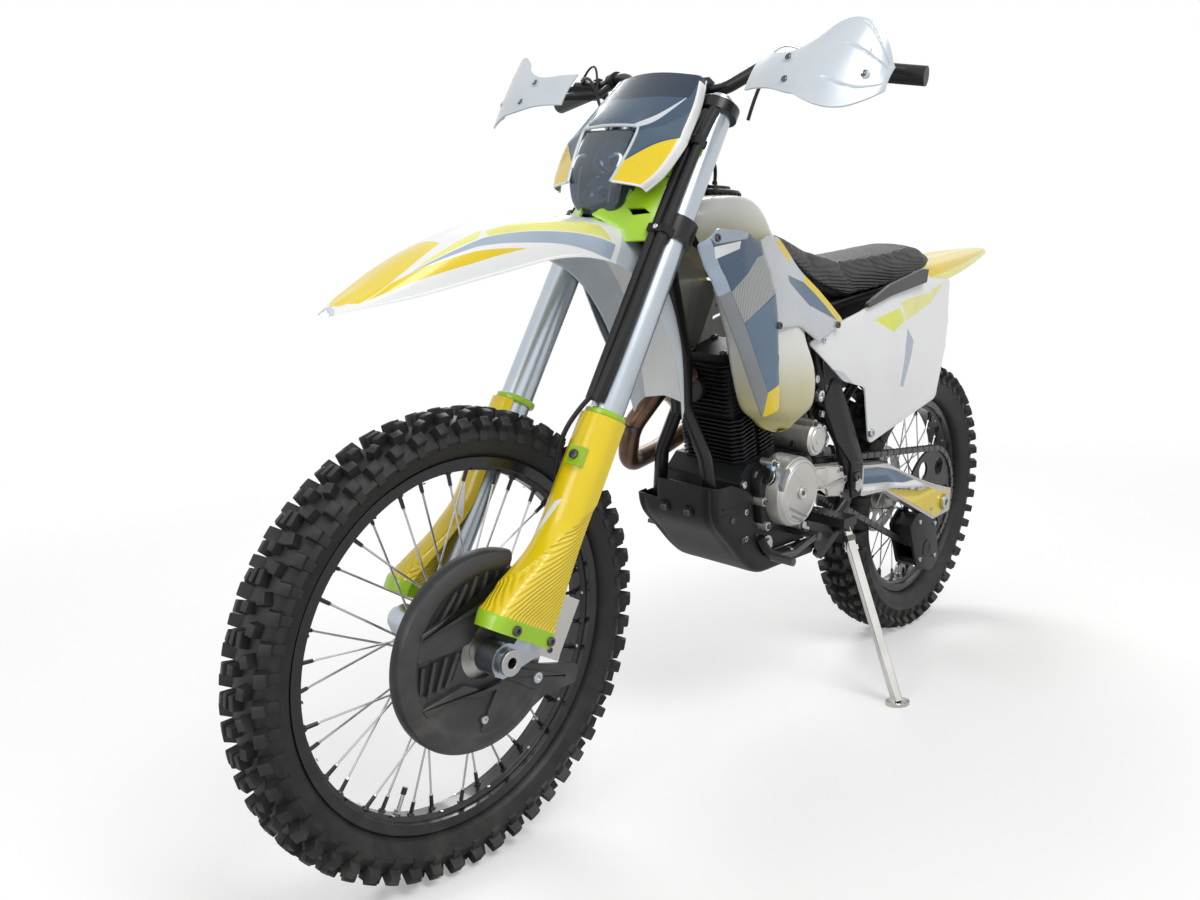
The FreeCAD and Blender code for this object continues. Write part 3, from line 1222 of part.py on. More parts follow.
def chassis_pieces():
    return {
        "frame": frame(), "engine_case": engine_case(), "engine_covers": engine_covers(),
        "engine_barrel": engine_barrel(), "exhaust_header": exhaust_header(), "muffler": muffler(),
        "skid_plate": skid_plate(), "swingarm": swingarm(), "shock": shock(),
        "chain": chain(), "chain_guide": chain_guide(), "fuel_tank": fuel_tank(), "fuel_cap": fuel_cap(),
        "shrouds": shrouds(), "seat": seat(), "rear_fender": rear_fender(), "tail_lamp": tail_lamp(),
        "side_panels": side_panels(), "airbox": airbox(), "grab_handles": grab_handles(), "footpegs": footpegs(),
        "foot_controls": together([gear_lever(), brake_pedal()]), "frame_guards": frame_guards(),
        "rear_caliper": rear_caliper(),
        "rear_axle": axle(REAR_AXLE, [(-ARM_INNER, -REAR_HUB_HALF - FIT), (REAR_HUB_HALF + FIT, ARM_INNER)],
                          ARM_OUTER + 2),
        "side_stand": side_stand(),
        "rear_tyre": tyre(REAR_AXLE, REAR_TYRE_RADIUS, REAR_TYRE_WIDTH, REAR_CROWN_RADIUS, REAR_RIM_RADIUS,
                          REAR_RIM_WIDTH, REAR_LUG_HEIGHT),
        "rear_rim": rim(REAR_AXLE, REAR_RIM_RADIUS, REAR_RIM_WIDTH),
        "rear_spokes": spokes(REAR_AXLE, REAR_RIM_RADIUS, REAR_FLANGE_Y),
        "rear_hub": hub(REAR_AXLE, REAR_HUB_HALF, REAR_FLANGE_Y, -1, REAR_DISC_Y, CHAIN_Y - SPROCKET_THICK / 2),
        "rear_brake_disc": brake_disc(REAR_AXLE, REAR_DISC_RADIUS, -1, REAR_DISC_Y),
        "rear_sprocket": rear_sprocket(),
    }


def placed_pieces():
    """Every piece, turned and leaning as the machine stands, before the origin is moved."""
    rest = resting_placement()
    steer = Placement(steering_base(), Rotation(steering_axis(), STEER_REST)) * Placement(-steering_base(), Rotation())
    pieces = {}
    for name, shape in front_pieces().items():
        pieces[name] = (rest * steer * fork_placement(), shape)
    for name, shape in front_wheel_pieces().items():
        pieces[name] = (rest * steer, shape)
    for name, shape in chassis_pieces().items():
        pieces[name] = (rest, shape)
    placed = {}
    for name, (place, shape) in pieces.items():
        moved = shape.copy()
        moved.Placement = place * moved.Placement
        placed[name] = moved
    return placed


def origin_shift(placed):
    """Brings the origin to the middle of the machine's box, on the ground."""
    box = FreeCAD.BoundBox()
    for shape in placed.values():
        box.add(shape.BoundBox)
    return Vector(-(box.XMin + box.XMax) / 2, -(box.YMin + box.YMax) / 2, 0)


def main():
    os.makedirs("parts", exist_ok=True)
    placed = placed_pieces()
    shift = origin_shift(placed)
    for name, shape in placed.items():
        shape.Placement = Placement(shift, Rotation()) * shape.Placement
        shape.exportStep("parts/%s.step" % name)
        print("%-18s solids %d valid %s volume %.0f" % (name, len(shape.Solids), shape.isValid(), shape.Volume))


if __name__ == "__main__":
    main()
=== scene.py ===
# %% [markdown]
# # A trail motorcycle, dressed for its portrait
# The machine arrives as a packed set of plain solids, one for each piece, leaning on its side stand.
# This lesson gives every piece the form and finish of the real one, and never moves what it was given.
# First come the frames to build in, the camera and the light, then the finishes, and then the pieces.

# %% Loading the machine
import json
import math
import random
import bmesh
import bpy
from mathutils import Matrix, Vector

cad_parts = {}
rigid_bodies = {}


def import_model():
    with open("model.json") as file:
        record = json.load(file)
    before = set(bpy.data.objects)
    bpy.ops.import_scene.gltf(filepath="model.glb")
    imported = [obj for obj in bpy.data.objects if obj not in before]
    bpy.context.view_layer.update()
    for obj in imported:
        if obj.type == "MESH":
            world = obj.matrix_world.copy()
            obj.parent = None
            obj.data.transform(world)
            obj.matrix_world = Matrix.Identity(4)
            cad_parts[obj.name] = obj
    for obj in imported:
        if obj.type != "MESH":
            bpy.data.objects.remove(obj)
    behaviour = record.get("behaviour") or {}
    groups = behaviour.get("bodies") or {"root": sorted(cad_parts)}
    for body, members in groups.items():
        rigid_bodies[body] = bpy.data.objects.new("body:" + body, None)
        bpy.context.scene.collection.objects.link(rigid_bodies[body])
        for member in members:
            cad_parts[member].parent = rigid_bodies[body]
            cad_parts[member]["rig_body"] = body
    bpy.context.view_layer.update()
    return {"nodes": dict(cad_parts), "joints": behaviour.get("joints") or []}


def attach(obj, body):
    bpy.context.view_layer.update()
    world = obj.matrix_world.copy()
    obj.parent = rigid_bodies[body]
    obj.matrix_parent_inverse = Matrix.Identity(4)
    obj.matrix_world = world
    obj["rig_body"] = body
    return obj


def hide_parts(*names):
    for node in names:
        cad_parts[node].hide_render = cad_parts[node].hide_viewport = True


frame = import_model()

# %% [markdown]
# ## Frames of reference
# A leaning machine with turned bars is awkward to model on. The joints say where its axles and its
# steering axis are, so two frames follow from them: one that stands with the chassis (forward, left, up)
# and one along the fork (ahead of the steering axis, left, up the axis). Pieces are modelled in
# millimetres in one of these frames, and a single matrix takes the finished mesh to its place.

# %% Frames from the joints
MM = 0.001
RAKE = math.radians(27.0)
FRONT_RADIUS, REAR_RADIUS, HALF_WHEELBASE = 350.0, 335.0, 730.0
AXIS_OFFSET = 58.0

joints = {joint["name"]: joint for joint in frame["joints"]}


def joint_line(name):
    return Vector(joints[name]["pos_m"]), Vector(joints[name]["axis"]).normalized()


def frame_of(origin, x_way, y_way, z_way):
    """A matrix from millimetres in a local frame to metres in the machine's frame."""
    turn = Matrix((x_way, y_way, z_way)).transposed().to_4x4()
    return Matrix.Translation(origin) @ turn @ Matrix.Scale(MM, 4)


steering_point, steering_up = joint_line("steering_turn")
rear_axle, left_way = joint_line("rear_wheel_spin")
front_axle, fork_left = joint_line("front_wheel_spin")
ahead = left_way.cross(steering_up)
forward = ahead * math.cos(RAKE) - steering_up * math.sin(RAKE)
upward = ahead * math.sin(RAKE) + steering_up * math.cos(RAKE)
chassis_origin = rear_axle + (forward * HALF_WHEELBASE - upward * REAR_RADIUS) * MM

UPRIGHT = frame_of(chassis_origin, forward, left_way, upward)
FORK = frame_of(steering_point, fork_left.cross(steering_up), fork_left, steering_up)
FRONT_WHEEL = frame_of(front_axle, fork_left.cross(steering_up), fork_left, steering_up)
REAR_WHEEL = frame_of(rear_axle, forward, left_way, upward)
print("front axle in the fork's frame:", [round(v, 1) for v in FORK.inverted() @ front_axle])

# %% [markdown]
# ## Camera
# The photograph was taken from ahead and to the left, at about the height of the fork clamps. Its place
# is given for the standing machine, so the camera keeps its view of the bike whatever the lean is.
# The photograph is a crop, so the lens axis is not in its middle: a small shift does the same.

# %% Camera
PHOTO_SIZE = (1200, 900)
PHOTO_FOCAL = 1138.0
PHOTO_CENTRE = (683.0, 350.0)
CAMERA_PLACE = Vector((1836.0, 1361.0, 822.0))
CAMERA_YAW, CAMERA_PITCH, CAMERA_ROLL = (math.radians(a) for a in (-142.3, -2.1, -3.0))
PHOTO_LEAN = math.radians(7.6)

look = Vector((math.cos(CAMERA_PITCH) * math.cos(CAMERA_YAW), math.cos(CAMERA_PITCH) * math.sin(CAMERA_YAW),
               math.sin(CAMERA_PITCH)))
level = look.cross(Vector((0, 0, 1))).normalized()
rise = level.cross(look)
camera_x = level * math.cos(CAMERA_ROLL) + rise * math.sin(CAMERA_ROLL)
camera_y = rise * math.cos(CAMERA_ROLL) - level * math.sin(CAMERA_ROLL)
camera_turn = Matrix((camera_x, camera_y, -look)).transposed().to_4x4()
photo_frame = UPRIGHT @ Matrix.Rotation(PHOTO_LEAN, 4, "X")

camera_data = bpy.data.cameras.new("camera")
camera = bpy.data.objects.new("camera", camera_data)
bpy.context.scene.collection.objects.link(camera)
camera.matrix_world = photo_frame @ Matrix.Translation(CAMERA_PLACE) @ camera_turn @ Matrix.Scale(1 / MM, 4)
camera_data.sensor_width = 36.0
camera_data.lens = camera_data.sensor_width * PHOTO_FOCAL / PHOTO_SIZE[0]
camera_data.shift_x = (PHOTO_SIZE[0] / 2 - PHOTO_CENTRE[0]) / PHOTO_SIZE[0]
camera_data.shift_y = (PHOTO_CENTRE[1] - PHOTO_SIZE[1] / 2) / PHOTO_SIZE[0]
bpy.context.scene.camera = camera
bpy.context.scene.view_settings.view_transform = "Standard"
print("camera at", [round(v, 3) for v in camera.matrix_world.translation])

# %% [markdown]
# ## Light
# A bright outdoor portrait becomes three large soft lamps: a key from the rider's left and above, a fill
# from ahead, and a rim from behind. Their level is kept where a colour renders about as it is written.
# White paint, polished legs and black rubber all need something to mirror, so the world is pale for
# reflections and for the camera, and dimmer for the light that it throws on the machine.

# %% Lamps and world


def soft_lamp(name, place, target, size, watts):
    data = bpy.data.lights.new(name, "AREA")
    data.shape = "DISK"
    data.size = size
    data.energy = watts
    lamp = bpy.data.objects.new(name, data)
    bpy.context.scene.collection.objects.link(lamp)
    lamp.location = place
    lamp.rotation_euler = (Vector(target) - Vector(place)).to_track_quat("-Z", "Y").to_euler()
    return lamp


soft_lamp("key_lamp", (1.4, 3.4, 4.2), (0.0, 0.0, 0.5), 2.6, 125)
soft_lamp("front_lamp", (4.6, 0.2, 2.2), (0.2, 0.0, 0.6), 2.4, 50)
soft_lamp("rim_lamp", (-2.6, -2.6, 3.4), (0.0, 0.0, 0.6), 2.2, 80)

world = bpy.data.worlds.new("studio")
bpy.context.scene.world = world
world.use_nodes = True
sky = world.node_tree
sky.nodes.clear()
path = sky.nodes.new("ShaderNodeLightPath")
seen = sky.nodes.new("ShaderNodeMath")
seen.operation = "MAXIMUM"
either = sky.nodes.new("ShaderNodeMath")
either.operation = "MAXIMUM"
plain = sky.nodes.new("ShaderNodeBackground")
plain.inputs["Color"].default_value = (1, 1, 1, 1)
plain.inputs["Strength"].default_value = 0.38
bright = sky.nodes.new("ShaderNodeBackground")
bright.inputs["Color"].default_value = (1, 1, 1, 1)
bright.inputs["Strength"].default_value = 1.0
mixed = sky.nodes.new("ShaderNodeMixShader")
output = sky.nodes.new("ShaderNodeOutputWorld")
sky.links.new(path.outputs["Is Camera Ray"], seen.inputs[0])
sky.links.new(path.outputs["Is Transmission Ray"], seen.inputs[1])
sky.links.new(seen.outputs[0], either.inputs[0])
sky.links.new(path.outputs["Is Glossy Ray"], either.inputs[1])
sky.links.new(either.outputs[0], mixed.inputs["Fac"])
sky.links.new(plain.outputs[0], mixed.inputs[1])
sky.links.new(bright.outputs[0], mixed.inputs[2])
sky.links.new(mixed.outputs[0], output.inputs["Surface"])

# %% [markdown]
# ## Node groups that several finishes share
# Real surfaces are never one flat value. Each of these groups puts out colours, masks or heights and is
# placed in many materials with its own settings: fine grain for moulded plastic and cast metal, patches
# that vary a colour a little, and road dust that settles low down.

# %% Node groups


def group_tree(name, inputs, outputs):
    """A shader node group with named sockets, and its two end nodes."""
    tree = bpy.data.node_groups.new(name, "ShaderNodeTree")
    for label, kind, value in inputs:
        socket = tree.interface.new_socket(label, in_out="INPUT", socket_type=kind)
        if value is not None:
            socket.default_value = value
    for label, kind in outputs:
        tree.interface.new_socket(label, in_out="OUTPUT", socket_type=kind)
    return tree, tree.nodes.new("NodeGroupInput"), tree.nodes.new("NodeGroupOutput")


def node(tree, kind, settings=None, **values):
    """Adds a node, sets its properties, and fills or links its sockets by name."""
    made = tree.nodes.new(kind)
    for key, value in (settings or {}).items():
        setattr(made, key, value)
    for key, value in values.items():
        socket = made.inputs[int(key[1:])] if key[0] == "i" and key[1:].isdigit() else made.inputs[key]
        if isinstance(value, bpy.types.NodeSocket):
            tree.links.new(value, socket)
        else:
            socket.default_value = value
    return made


FLOAT, COLOR = "NodeSocketFloat", "NodeSocketColor"

grain_tree, grain_in, grain_out = group_tree(
    "fine_grain", [("Size", FLOAT, 600.0), ("Depth", FLOAT, 0.3), ("Rough", FLOAT, 0.5), ("Spread", FLOAT, 0.08)],
    [("Height", FLOAT), ("Roughness", FLOAT)])
place = node(grain_tree, "ShaderNodeTexCoord")
fine = node(grain_tree, "ShaderNodeTexNoise", Vector=place.outputs["Object"], Scale=grain_in.outputs["Size"], Detail=3.0)
broad = node(grain_tree, "ShaderNodeTexNoise", Vector=place.outputs["Object"], Scale=9.0, Detail=4.0)
height = node(grain_tree, "ShaderNodeMath", {"operation": "MULTIPLY"}, i0=fine.outputs["Fac"],
              i1=grain_in.outputs["Depth"])
offset = node(grain_tree, "ShaderNodeMath", {"operation": "SUBTRACT"}, i0=broad.outputs["Fac"], i1=0.5)
rough = node(grain_tree, "ShaderNodeMath", {"operation": "MULTIPLY_ADD"}, i0=offset.outputs[0],
             i1=grain_in.outputs["Spread"], i2=grain_in.outputs["Rough"])
grain_tree.links.new(height.outputs[0], grain_out.inputs["Height"])
grain_tree.links.new(rough.outputs[0], grain_out.inputs["Roughness"])

patch_tree, patch_in, patch_out = group_tree(
    "colour_patches", [("Color", COLOR, None), ("Other", COLOR, None), ("Size", FLOAT, 12.0), ("Amount", FLOAT, 0.5)],
    [("Color", COLOR)])
place = node(patch_tree, "ShaderNodeTexCoord")
cloud = node(patch_tree, "ShaderNodeTexNoise", Vector=place.outputs["Object"], Scale=patch_in.outputs["Size"], Detail=5.0)
spread = node(patch_tree, "ShaderNodeMapRange", Value=cloud.outputs["Fac"])
spread.inputs["From Min"].default_value = 0.38
spread.inputs["From Max"].default_value = 0.66
share = node(patch_tree, "ShaderNodeMath", {"operation": "MULTIPLY"}, i0=spread.outputs[0], i1=patch_in.outputs["Amount"])
blend = node(patch_tree, "ShaderNodeMix", {"data_type": "RGBA"}, Factor=share.outputs[0])
patch_tree.links.new(patch_in.outputs["Color"], blend.inputs[6])
patch_tree.links.new(patch_in.outputs["Other"], blend.inputs[7])
patch_tree.links.new(blend.outputs[2], patch_out.inputs["Color"])

dust_tree, dust_in, dust_out = group_tree(
    "road_dust", [("Color", COLOR, None), ("Amount", FLOAT, 0.3), ("Reach", FLOAT, 0.5)], [("Color", COLOR)])
place = node(dust_tree, "ShaderNodeTexCoord")
split = node(dust_tree, "ShaderNodeSeparateXYZ", Vector=place.outputs["Object"])
low = node(dust_tree, "ShaderNodeMapRange", Value=split.outputs["Z"])
dust_tree.links.new(dust_in.outputs["Reach"], low.inputs["From Max"])
low.inputs["From Min"].default_value = 0.0
low.inputs["To Min"].default_value = 1.0
low.inputs["To Max"].default_value = 0.0
cloud = node(dust_tree, "ShaderNodeTexNoise", Vector=place.outputs["Object"], Scale=26.0, Detail=6.0)
speck = node(dust_tree, "ShaderNodeMapRange", Value=cloud.outputs["Fac"])
speck.inputs["From Min"].default_value = 0.42
speck.inputs["From Max"].default_value = 0.7
both = node(dust_tree, "ShaderNodeMath", {"operation": "MULTIPLY"}, i0=low.outputs[0], i1=speck.outputs[0])
share = node(dust_tree, "ShaderNodeMath", {"operation": "MULTIPLY"}, i0=both.outputs[0], i1=dust_in.outputs["Amount"])
blend = node(dust_tree, "ShaderNodeMix", {"data_type": "RGBA"}, Factor=share.outputs[0])
dust_tree.links.new(dust_in.outputs["Color"], blend.inputs[6])
blend.inputs[7].default_value = (0.34, 0.30, 0.25, 1)
dust_tree.links.new(blend.outputs[2], dust_out.inputs["Color"])


def use_group(tree, group, **values):
    made = tree.nodes.new("ShaderNodeGroup")
    made.node_tree = group
    for key, value in values.items():
        socket = made.inputs[key]
        if isinstance(value, bpy.types.NodeSocket):
            tree.links.new(value, socket)
        else:
            socket.default_value = value
    return made


# %% [markdown]
# ## Finishes
# One function builds the common part of a finish: a colour that drifts a little, a grain that breaks up
# the highlight, and dust near the ground. Metals, plastics and rubber differ only in their values, so
# they read like a maker's list. Anything with a pattern of its own follows further down.

# %% Finishes


def rgb(*values):
    return tuple(values) + (1.0,)


def finish(name, colour, other=None, rough=0.45, metallic=0.0, coat=0.0, grain=600.0, depth=0.25, spread=0.1,
           bump=0.0004, patches=0.5, patch_size=12.0, dust=0.25, reach=0.5, specular=0.5):
    material = bpy.data.materials.new(name)
    material.use_nodes = True
    tree = material.node_tree
    shader = tree.nodes["Principled BSDF"]
    other = other or tuple(0.82 * c for c in colour[:3]) + (1.0,)
    drift = use_group(tree, patch_tree, Color=colour, Other=other, Size=patch_size, Amount=patches)
    dusty = use_group(tree, dust_tree, Color=drift.outputs["Color"], Amount=dust, Reach=reach)
    grained = use_group(tree, grain_tree, Size=grain, Depth=depth, Rough=rough, Spread=spread)
    relief = node(tree, "ShaderNodeBump", Height=grained.outputs["Height"], Strength=0.6, Distance=bump)
    tree.links.new(dusty.outputs["Color"], shader.inputs["Base Color"])
    tree.links.new(grained.outputs["Roughness"], shader.inputs["Roughness"])
    tree.links.new(relief.outputs["Normal"], shader.inputs["Normal"])
    shader.inputs["Metallic"].default_value = metallic
    shader.inputs["Coat Weight"].default_value = coat
    shader.inputs["Coat Roughness"].default_value = 0.08
    shader.inputs["Specular IOR Level"].default_value = specular
    material.diffuse_color = colour
    return material


BLACK_PAINT = finish("black_satin_paint", rgb(0.008, 0.008, 0.009), rough=0.34, coat=0.1, dust=0.06, specular=0.35)
BLACK_CAST = finish("black_cast_paint", rgb(0.010, 0.011, 0.013), rough=0.44, grain=900, depth=0.6, bump=0.0006,
                    dust=0.12, specular=0.35)
ANODISED = finish("black_anodised_rim", rgb(0.012, 0.012, 0.014), rough=0.26, metallic=0.35, coat=0.35, dust=0.1)
CAST_SILVER = finish("cast_silver_alloy", rgb(0.62, 0.61, 0.58), rgb(0.50, 0.49, 0.47), rough=0.42, metallic=0.9,
                     grain=1300, depth=0.7, bump=0.0005, dust=0.3)
BRIGHT_ALLOY = finish("bright_fork_alloy", rgb(0.50, 0.55, 0.60), rgb(0.42, 0.47, 0.52), rough=0.3, metallic=1.0,
                      grain=300, depth=0.1, spread=0.16, dust=0.1)
POLISHED = finish("polished_alloy", rgb(0.80, 0.79, 0.76), rough=0.12, metallic=1.0, grain=200, depth=0.1, dust=0.2)
STEEL = finish("bright_steel", rgb(0.58, 0.58, 0.58), rough=0.28, metallic=1.0, dust=0.2)
DARK_STEEL = finish("dark_steel", rgb(0.10, 0.10, 0.105), rgb(0.16, 0.14, 0.12), rough=0.36, metallic=0.9, dust=0.35)
ZINC = finish("zinc_plate", rgb(0.62, 0.66, 0.68), rgb(0.52, 0.56, 0.58), rough=0.34, metallic=0.9, grain=900, dust=0.2)
HEADER = finish("burnt_header", rgb(0.20, 0.12, 0.08), rgb(0.09, 0.05, 0.035), rough=0.34, metallic=0.85, patches=0.9,
                patch_size=16)
RUBBER = finish("tyre_rubber", rgb(0.008, 0.0083, 0.009), rgb(0.014, 0.014, 0.015), rough=0.5, grain=1500, depth=0.5,
                bump=0.0005, spread=0.22, dust=0.08, reach=0.5, specular=0.4)
KNOB_RUBBER = finish("knob_rubber", rgb(0.010, 0.0103, 0.011), rgb(0.022, 0.0215, 0.021), rough=0.56, grain=700,
                     depth=0.6, bump=0.0006, dust=0.14, reach=0.5, specular=0.4)
SOFT_BLACK = finish("black_rubber", rgb(0.008, 0.008, 0.009), rough=0.46, grain=900, dust=0.05, specular=0.35)
BLACK_PLASTIC = finish("black_plastic", rgb(0.007, 0.007, 0.008), rough=0.40, grain=1500, depth=0.6, bump=0.0005,
                       dust=0.08, specular=0.3)
GREY_PLASTIC = finish("dark_grey_plastic", rgb(0.030, 0.031, 0.033), rgb(0.042, 0.042, 0.044), rough=0.4, grain=1500,
                      depth=0.6, bump=0.0005)
WHITE_PLASTIC = finish("white_plastic", rgb(0.88, 0.885, 0.89), rgb(0.85, 0.855, 0.86), rough=0.22, coat=0.3, dust=0.05,
                       grain=60, depth=0.4, bump=0.0003)
PEARL = finish("pearl_white_plastic", rgb(0.60, 0.65, 0.69), rgb(0.50, 0.57, 0.64), rough=0.3, coat=0.45, dust=0.0,
               grain=40, depth=0.4, bump=0.0003, metallic=0.12)
YELLOW = finish("yellow_plastic", rgb(0.83, 0.62, 0.004), rgb(0.76, 0.56, 0.004), rough=0.26, coat=0.4, dust=0.08)
ORANGE_YELLOW = finish("warm_yellow_film", rgb(0.86, 0.67, 0.006), rough=0.26, coat=0.4, dust=0.0)
GREEN = finish("lime_green_plastic", rgb(0.36, 0.62, 0.02), rgb(0.30, 0.54, 0.015), rough=0.28, coat=0.3, dust=0.05)
SLATE = finish("slate_blue_film", rgb(0.040, 0.078, 0.130), rgb(0.055, 0.095, 0.150), rough=0.3, coat=0.15, dust=0.0,
               specular=0.35)
DEEP_SLATE = finish("deep_slate_film", rgb(0.016, 0.034, 0.062), rough=0.26, coat=0.15, dust=0.0, specular=0.35)
PALE_BLUE = finish("pale_blue_film", rgb(0.36, 0.44, 0.54), rgb(0.45, 0.52, 0.60), rough=0.24, coat=0.4, dust=0.0)
SILVER_FILM = finish("silver_film", rgb(0.55, 0.58, 0.61), rgb(0.48, 0.51, 0.55), rough=0.28, coat=0.4, metallic=0.25,
                     dust=0.0)
GREY_FILM = finish("mid_grey_film", rgb(0.25, 0.27, 0.29), rough=0.3, coat=0.3, dust=0.0)
MID_SLATE = finish("mid_slate_film", rgb(0.075, 0.115, 0.165), rough=0.3, coat=0.15, dust=0.0, specular=0.35)
LIGHT_YELLOW = finish("pale_yellow_film", rgb(0.86, 0.85, 0.25), rough=0.24, coat=0.4, dust=0.0)
# This pale blue-white serves as plastic and as painted light: a painted highlight on the mask's crease and painted
# shade along the number panels' lower front edge.
PALE_WHITE_AND_PAINTED_LIGHT = finish("pale_blue_white_plastic_and_painted_light", rgb(0.62, 0.67, 0.72), rough=0.26, coat=0.3, dust=0.0)
CREAM = finish("translucent_cream_plastic", rgb(0.78, 0.76, 0.66), rgb(0.70, 0.64, 0.48), rough=0.4, patch_size=5.0,
               patches=0.8, dust=0.0)


def ribbed(name, base, way, ribs_per_metre, depth):
    """A finish with fine straight ribs pressed into it, square to a direction."""
    material = base.copy()
    material.name = name
    tree = material.node_tree
    shader = tree.nodes["Principled BSDF"]
    place = node(tree, "ShaderNodeTexCoord")
    measure = node(tree, "ShaderNodeVectorMath", {"operation": "DOT_PRODUCT"}, i0=place.outputs["Object"])
    measure.inputs[1].default_value = Vector(way).normalized() * ribs_per_metre * 2 * math.pi
    wave = node(tree, "ShaderNodeMath", {"operation": "SINE"}, i0=measure.outputs["Value"])
    under = shader.inputs["Normal"].links[0].from_socket
    relief = node(tree, "ShaderNodeBump", Height=wave.outputs[0], Normal=under, Strength=0.9, Distance=depth)
    tree.links.new(relief.outputs["Normal"], shader.inputs["Normal"])
    return material


def glassy(name, colour, transmission=0.0, rough=0.04, glow=0.0):
    """Smoked or clear lens plastic."""
    material = finish(name, colour, rough=rough, spread=0.0, coat=0.4, depth=0.0, bump=0.0, dust=0.0, patches=0.0)
    shader = material.node_tree.nodes["Principled BSDF"]
    shader.inputs["Transmission Weight"].default_value = transmission
    shader.inputs["Emission Color"].default_value = rgb(0.9, 0.95, 1.0)
    shader.inputs["Emission Strength"].default_value = glow
    return material


def striped(name, colour, other, way, per_metre, share=0.0):
    """Two colours in fine straight stripes."""
    material = finish(name, colour, rough=0.3, coat=0.35, dust=0.0)
    tree = material.node_tree
    shader = tree.nodes["Principled BSDF"]
    place = node(tree, "ShaderNodeTexCoord")
    measure = node(tree, "ShaderNodeVectorMath", {"operation": "DOT_PRODUCT"}, i0=place.outputs["Object"])
    measure.inputs[1].default_value = Vector(way).normalized() * per_metre * 2 * math.pi
    wave = node(tree, "ShaderNodeMath", {"operation": "SINE"}, i0=measure.outputs["Value"])
    chosen = node(tree, "ShaderNodeMath", {"operation": "GREATER_THAN"}, i0=wave.outputs[0], i1=share)
    blend = node(tree, "ShaderNodeMix", {"data_type": "RGBA"}, Factor=chosen.outputs[0])
    tree.links.new(shader.inputs["Base Color"].links[0].from_socket, blend.inputs[6])
    blend.inputs[7].default_value = other
    tree.links.new(blend.outputs[2], shader.inputs["Base Color"])
    return material


def fuel_and_shade_by_height(name, levels):
    """A translucent tank: its colour follows the height above the ground. Its cream and olive bands are painted shade,
    low down and below the rounded top, and partly the fuel inside showing through.
    """
    material = finish(name, levels[0][1], rough=0.3, coat=0.25, dust=0.0, spread=0.05)
    tree = material.node_tree
    shader = tree.nodes["Principled BSDF"]
    place = node(tree, "ShaderNodeTexCoord")
    split = node(tree, "ShaderNodeSeparateXYZ", Vector=place.outputs["Object"])
    ramp = node(tree, "ShaderNodeValToRGB", Fac=split.outputs["Z"])
    stops = ramp.color_ramp.elements
    while len(stops) < len(levels):
        stops.new(0.5)
    for stop, (height, colour) in zip(stops, levels):
        stop.position = height
        stop.color = colour
    tree.links.new(ramp.outputs["Color"], shader.inputs["Base Color"])
    shader.inputs["Subsurface Weight"].default_value = 0.15
    shader.inputs["Subsurface Radius"].default_value = (0.01, 0.008, 0.004)
    return material


NAVY_SLATE = finish("navy_slate_film", rgb(0.035, 0.085, 0.155), rgb(0.065, 0.125, 0.20), rough=0.26, coat=0.15, dust=0.0,
                    patch_size=7.0, specular=0.35)
BLUE_SLATE = finish("blue_slate_film", rgb(0.095, 0.160, 0.245), rgb(0.115, 0.180, 0.265), rough=0.28, coat=0.15,
                    dust=0.0, specular=0.35)
LIME_YELLOW = finish("lime_yellow_film", rgb(0.80, 0.88, 0.05), rough=0.24, coat=0.4, dust=0.0)
PINSTRIPE = striped("pinstriped_film", rgb(0.14, 0.19, 0.25), rgb(0.46, 0.45, 0.38), (1.0, 0.0, -0.12), 210.0)
# Milk is the tank's white; the cream and olive bands are painted shade, partly the fuel showing through the plastic.
MILK, CREAM_FUEL_AND_SHADE, OLIVE_FUEL_AND_SHADE = rgb(0.80, 0.80, 0.76), rgb(0.62, 0.58, 0.36), rgb(0.50, 0.46, 0.18)
TANK_PLASTIC_WITH_PAINTED_SHADE = fuel_and_shade_by_height("translucent_tank_with_painted_shade", [(0.60, OLIVE_FUEL_AND_SHADE), (0.66, CREAM_FUEL_AND_SHADE), (0.74, MILK), (0.88, MILK),
                                                    (0.93, CREAM_FUEL_AND_SHADE), (0.99, MILK)])
SEAT_COVER = ribbed("ribbed_seat_cover", finish("seat_cover", rgb(0.02, 0.02, 0.021), rgb(0.032, 0.032, 0.033), rough=0.52,
                                                grain=1200, depth=0.6, dust=0.0), (0.0, 0.75, 0.65), 230.0, 0.0009)
SMOKED_LENS = glassy("smoked_lens", rgb(0.16, 0.23, 0.31), transmission=0.85)
CHAIN_STEEL = finish("chain_steel", rgb(0.17, 0.165, 0.16), rgb(0.09, 0.085, 0.08), rough=0.36, metallic=0.9)
# This glows for the lamp's light arc, and for the strips that paint a highlight down the lens.
LAMP_LIGHT_AND_PAINTED_HIGHLIGHT = glassy("lamp_light_and_painted_highlight", rgb(0.75, 0.80, 0.85), glow=0.25)

# %% [markdown]
# ## The floor
# A plain pale floor keeps the shadow under the wheels. It brightens for the camera only, and it thins
# out with the distance from the machine, so that it meets the white backdrop with no horizon.

# %% Floor
floor_mesh = bpy.data.meshes.new("studio_floor")
sheet = bmesh.new()
bmesh.ops.create_circle(sheet, cap_ends=True, segments=96, radius=40.0)
sheet.to_mesh(floor_mesh)
sheet.free()
floor = bpy.data.objects.new("studio_floor", floor_mesh)
bpy.context.scene.collection.objects.link(floor)
pale = bpy.data.materials.new("pale_floor")
pale.use_nodes = True
tree = pale.node_tree
shader = tree.nodes["Principled BSDF"]
shader.inputs["Base Color"].default_value = rgb(0.80, 0.80, 0.80)
shader.inputs["Roughness"].default_value = 0.9
shader.inputs["Specular IOR Level"].default_value = 0.1
path = node(tree, "ShaderNodeLightPath")
glow = node(tree, "ShaderNodeEmission", Strength=0.28)
nothing = node(tree, "ShaderNodeEmission", Strength=0.0)
chosen = node(tree, "ShaderNodeMixShader", Fac=path.outputs["Is Camera Ray"])
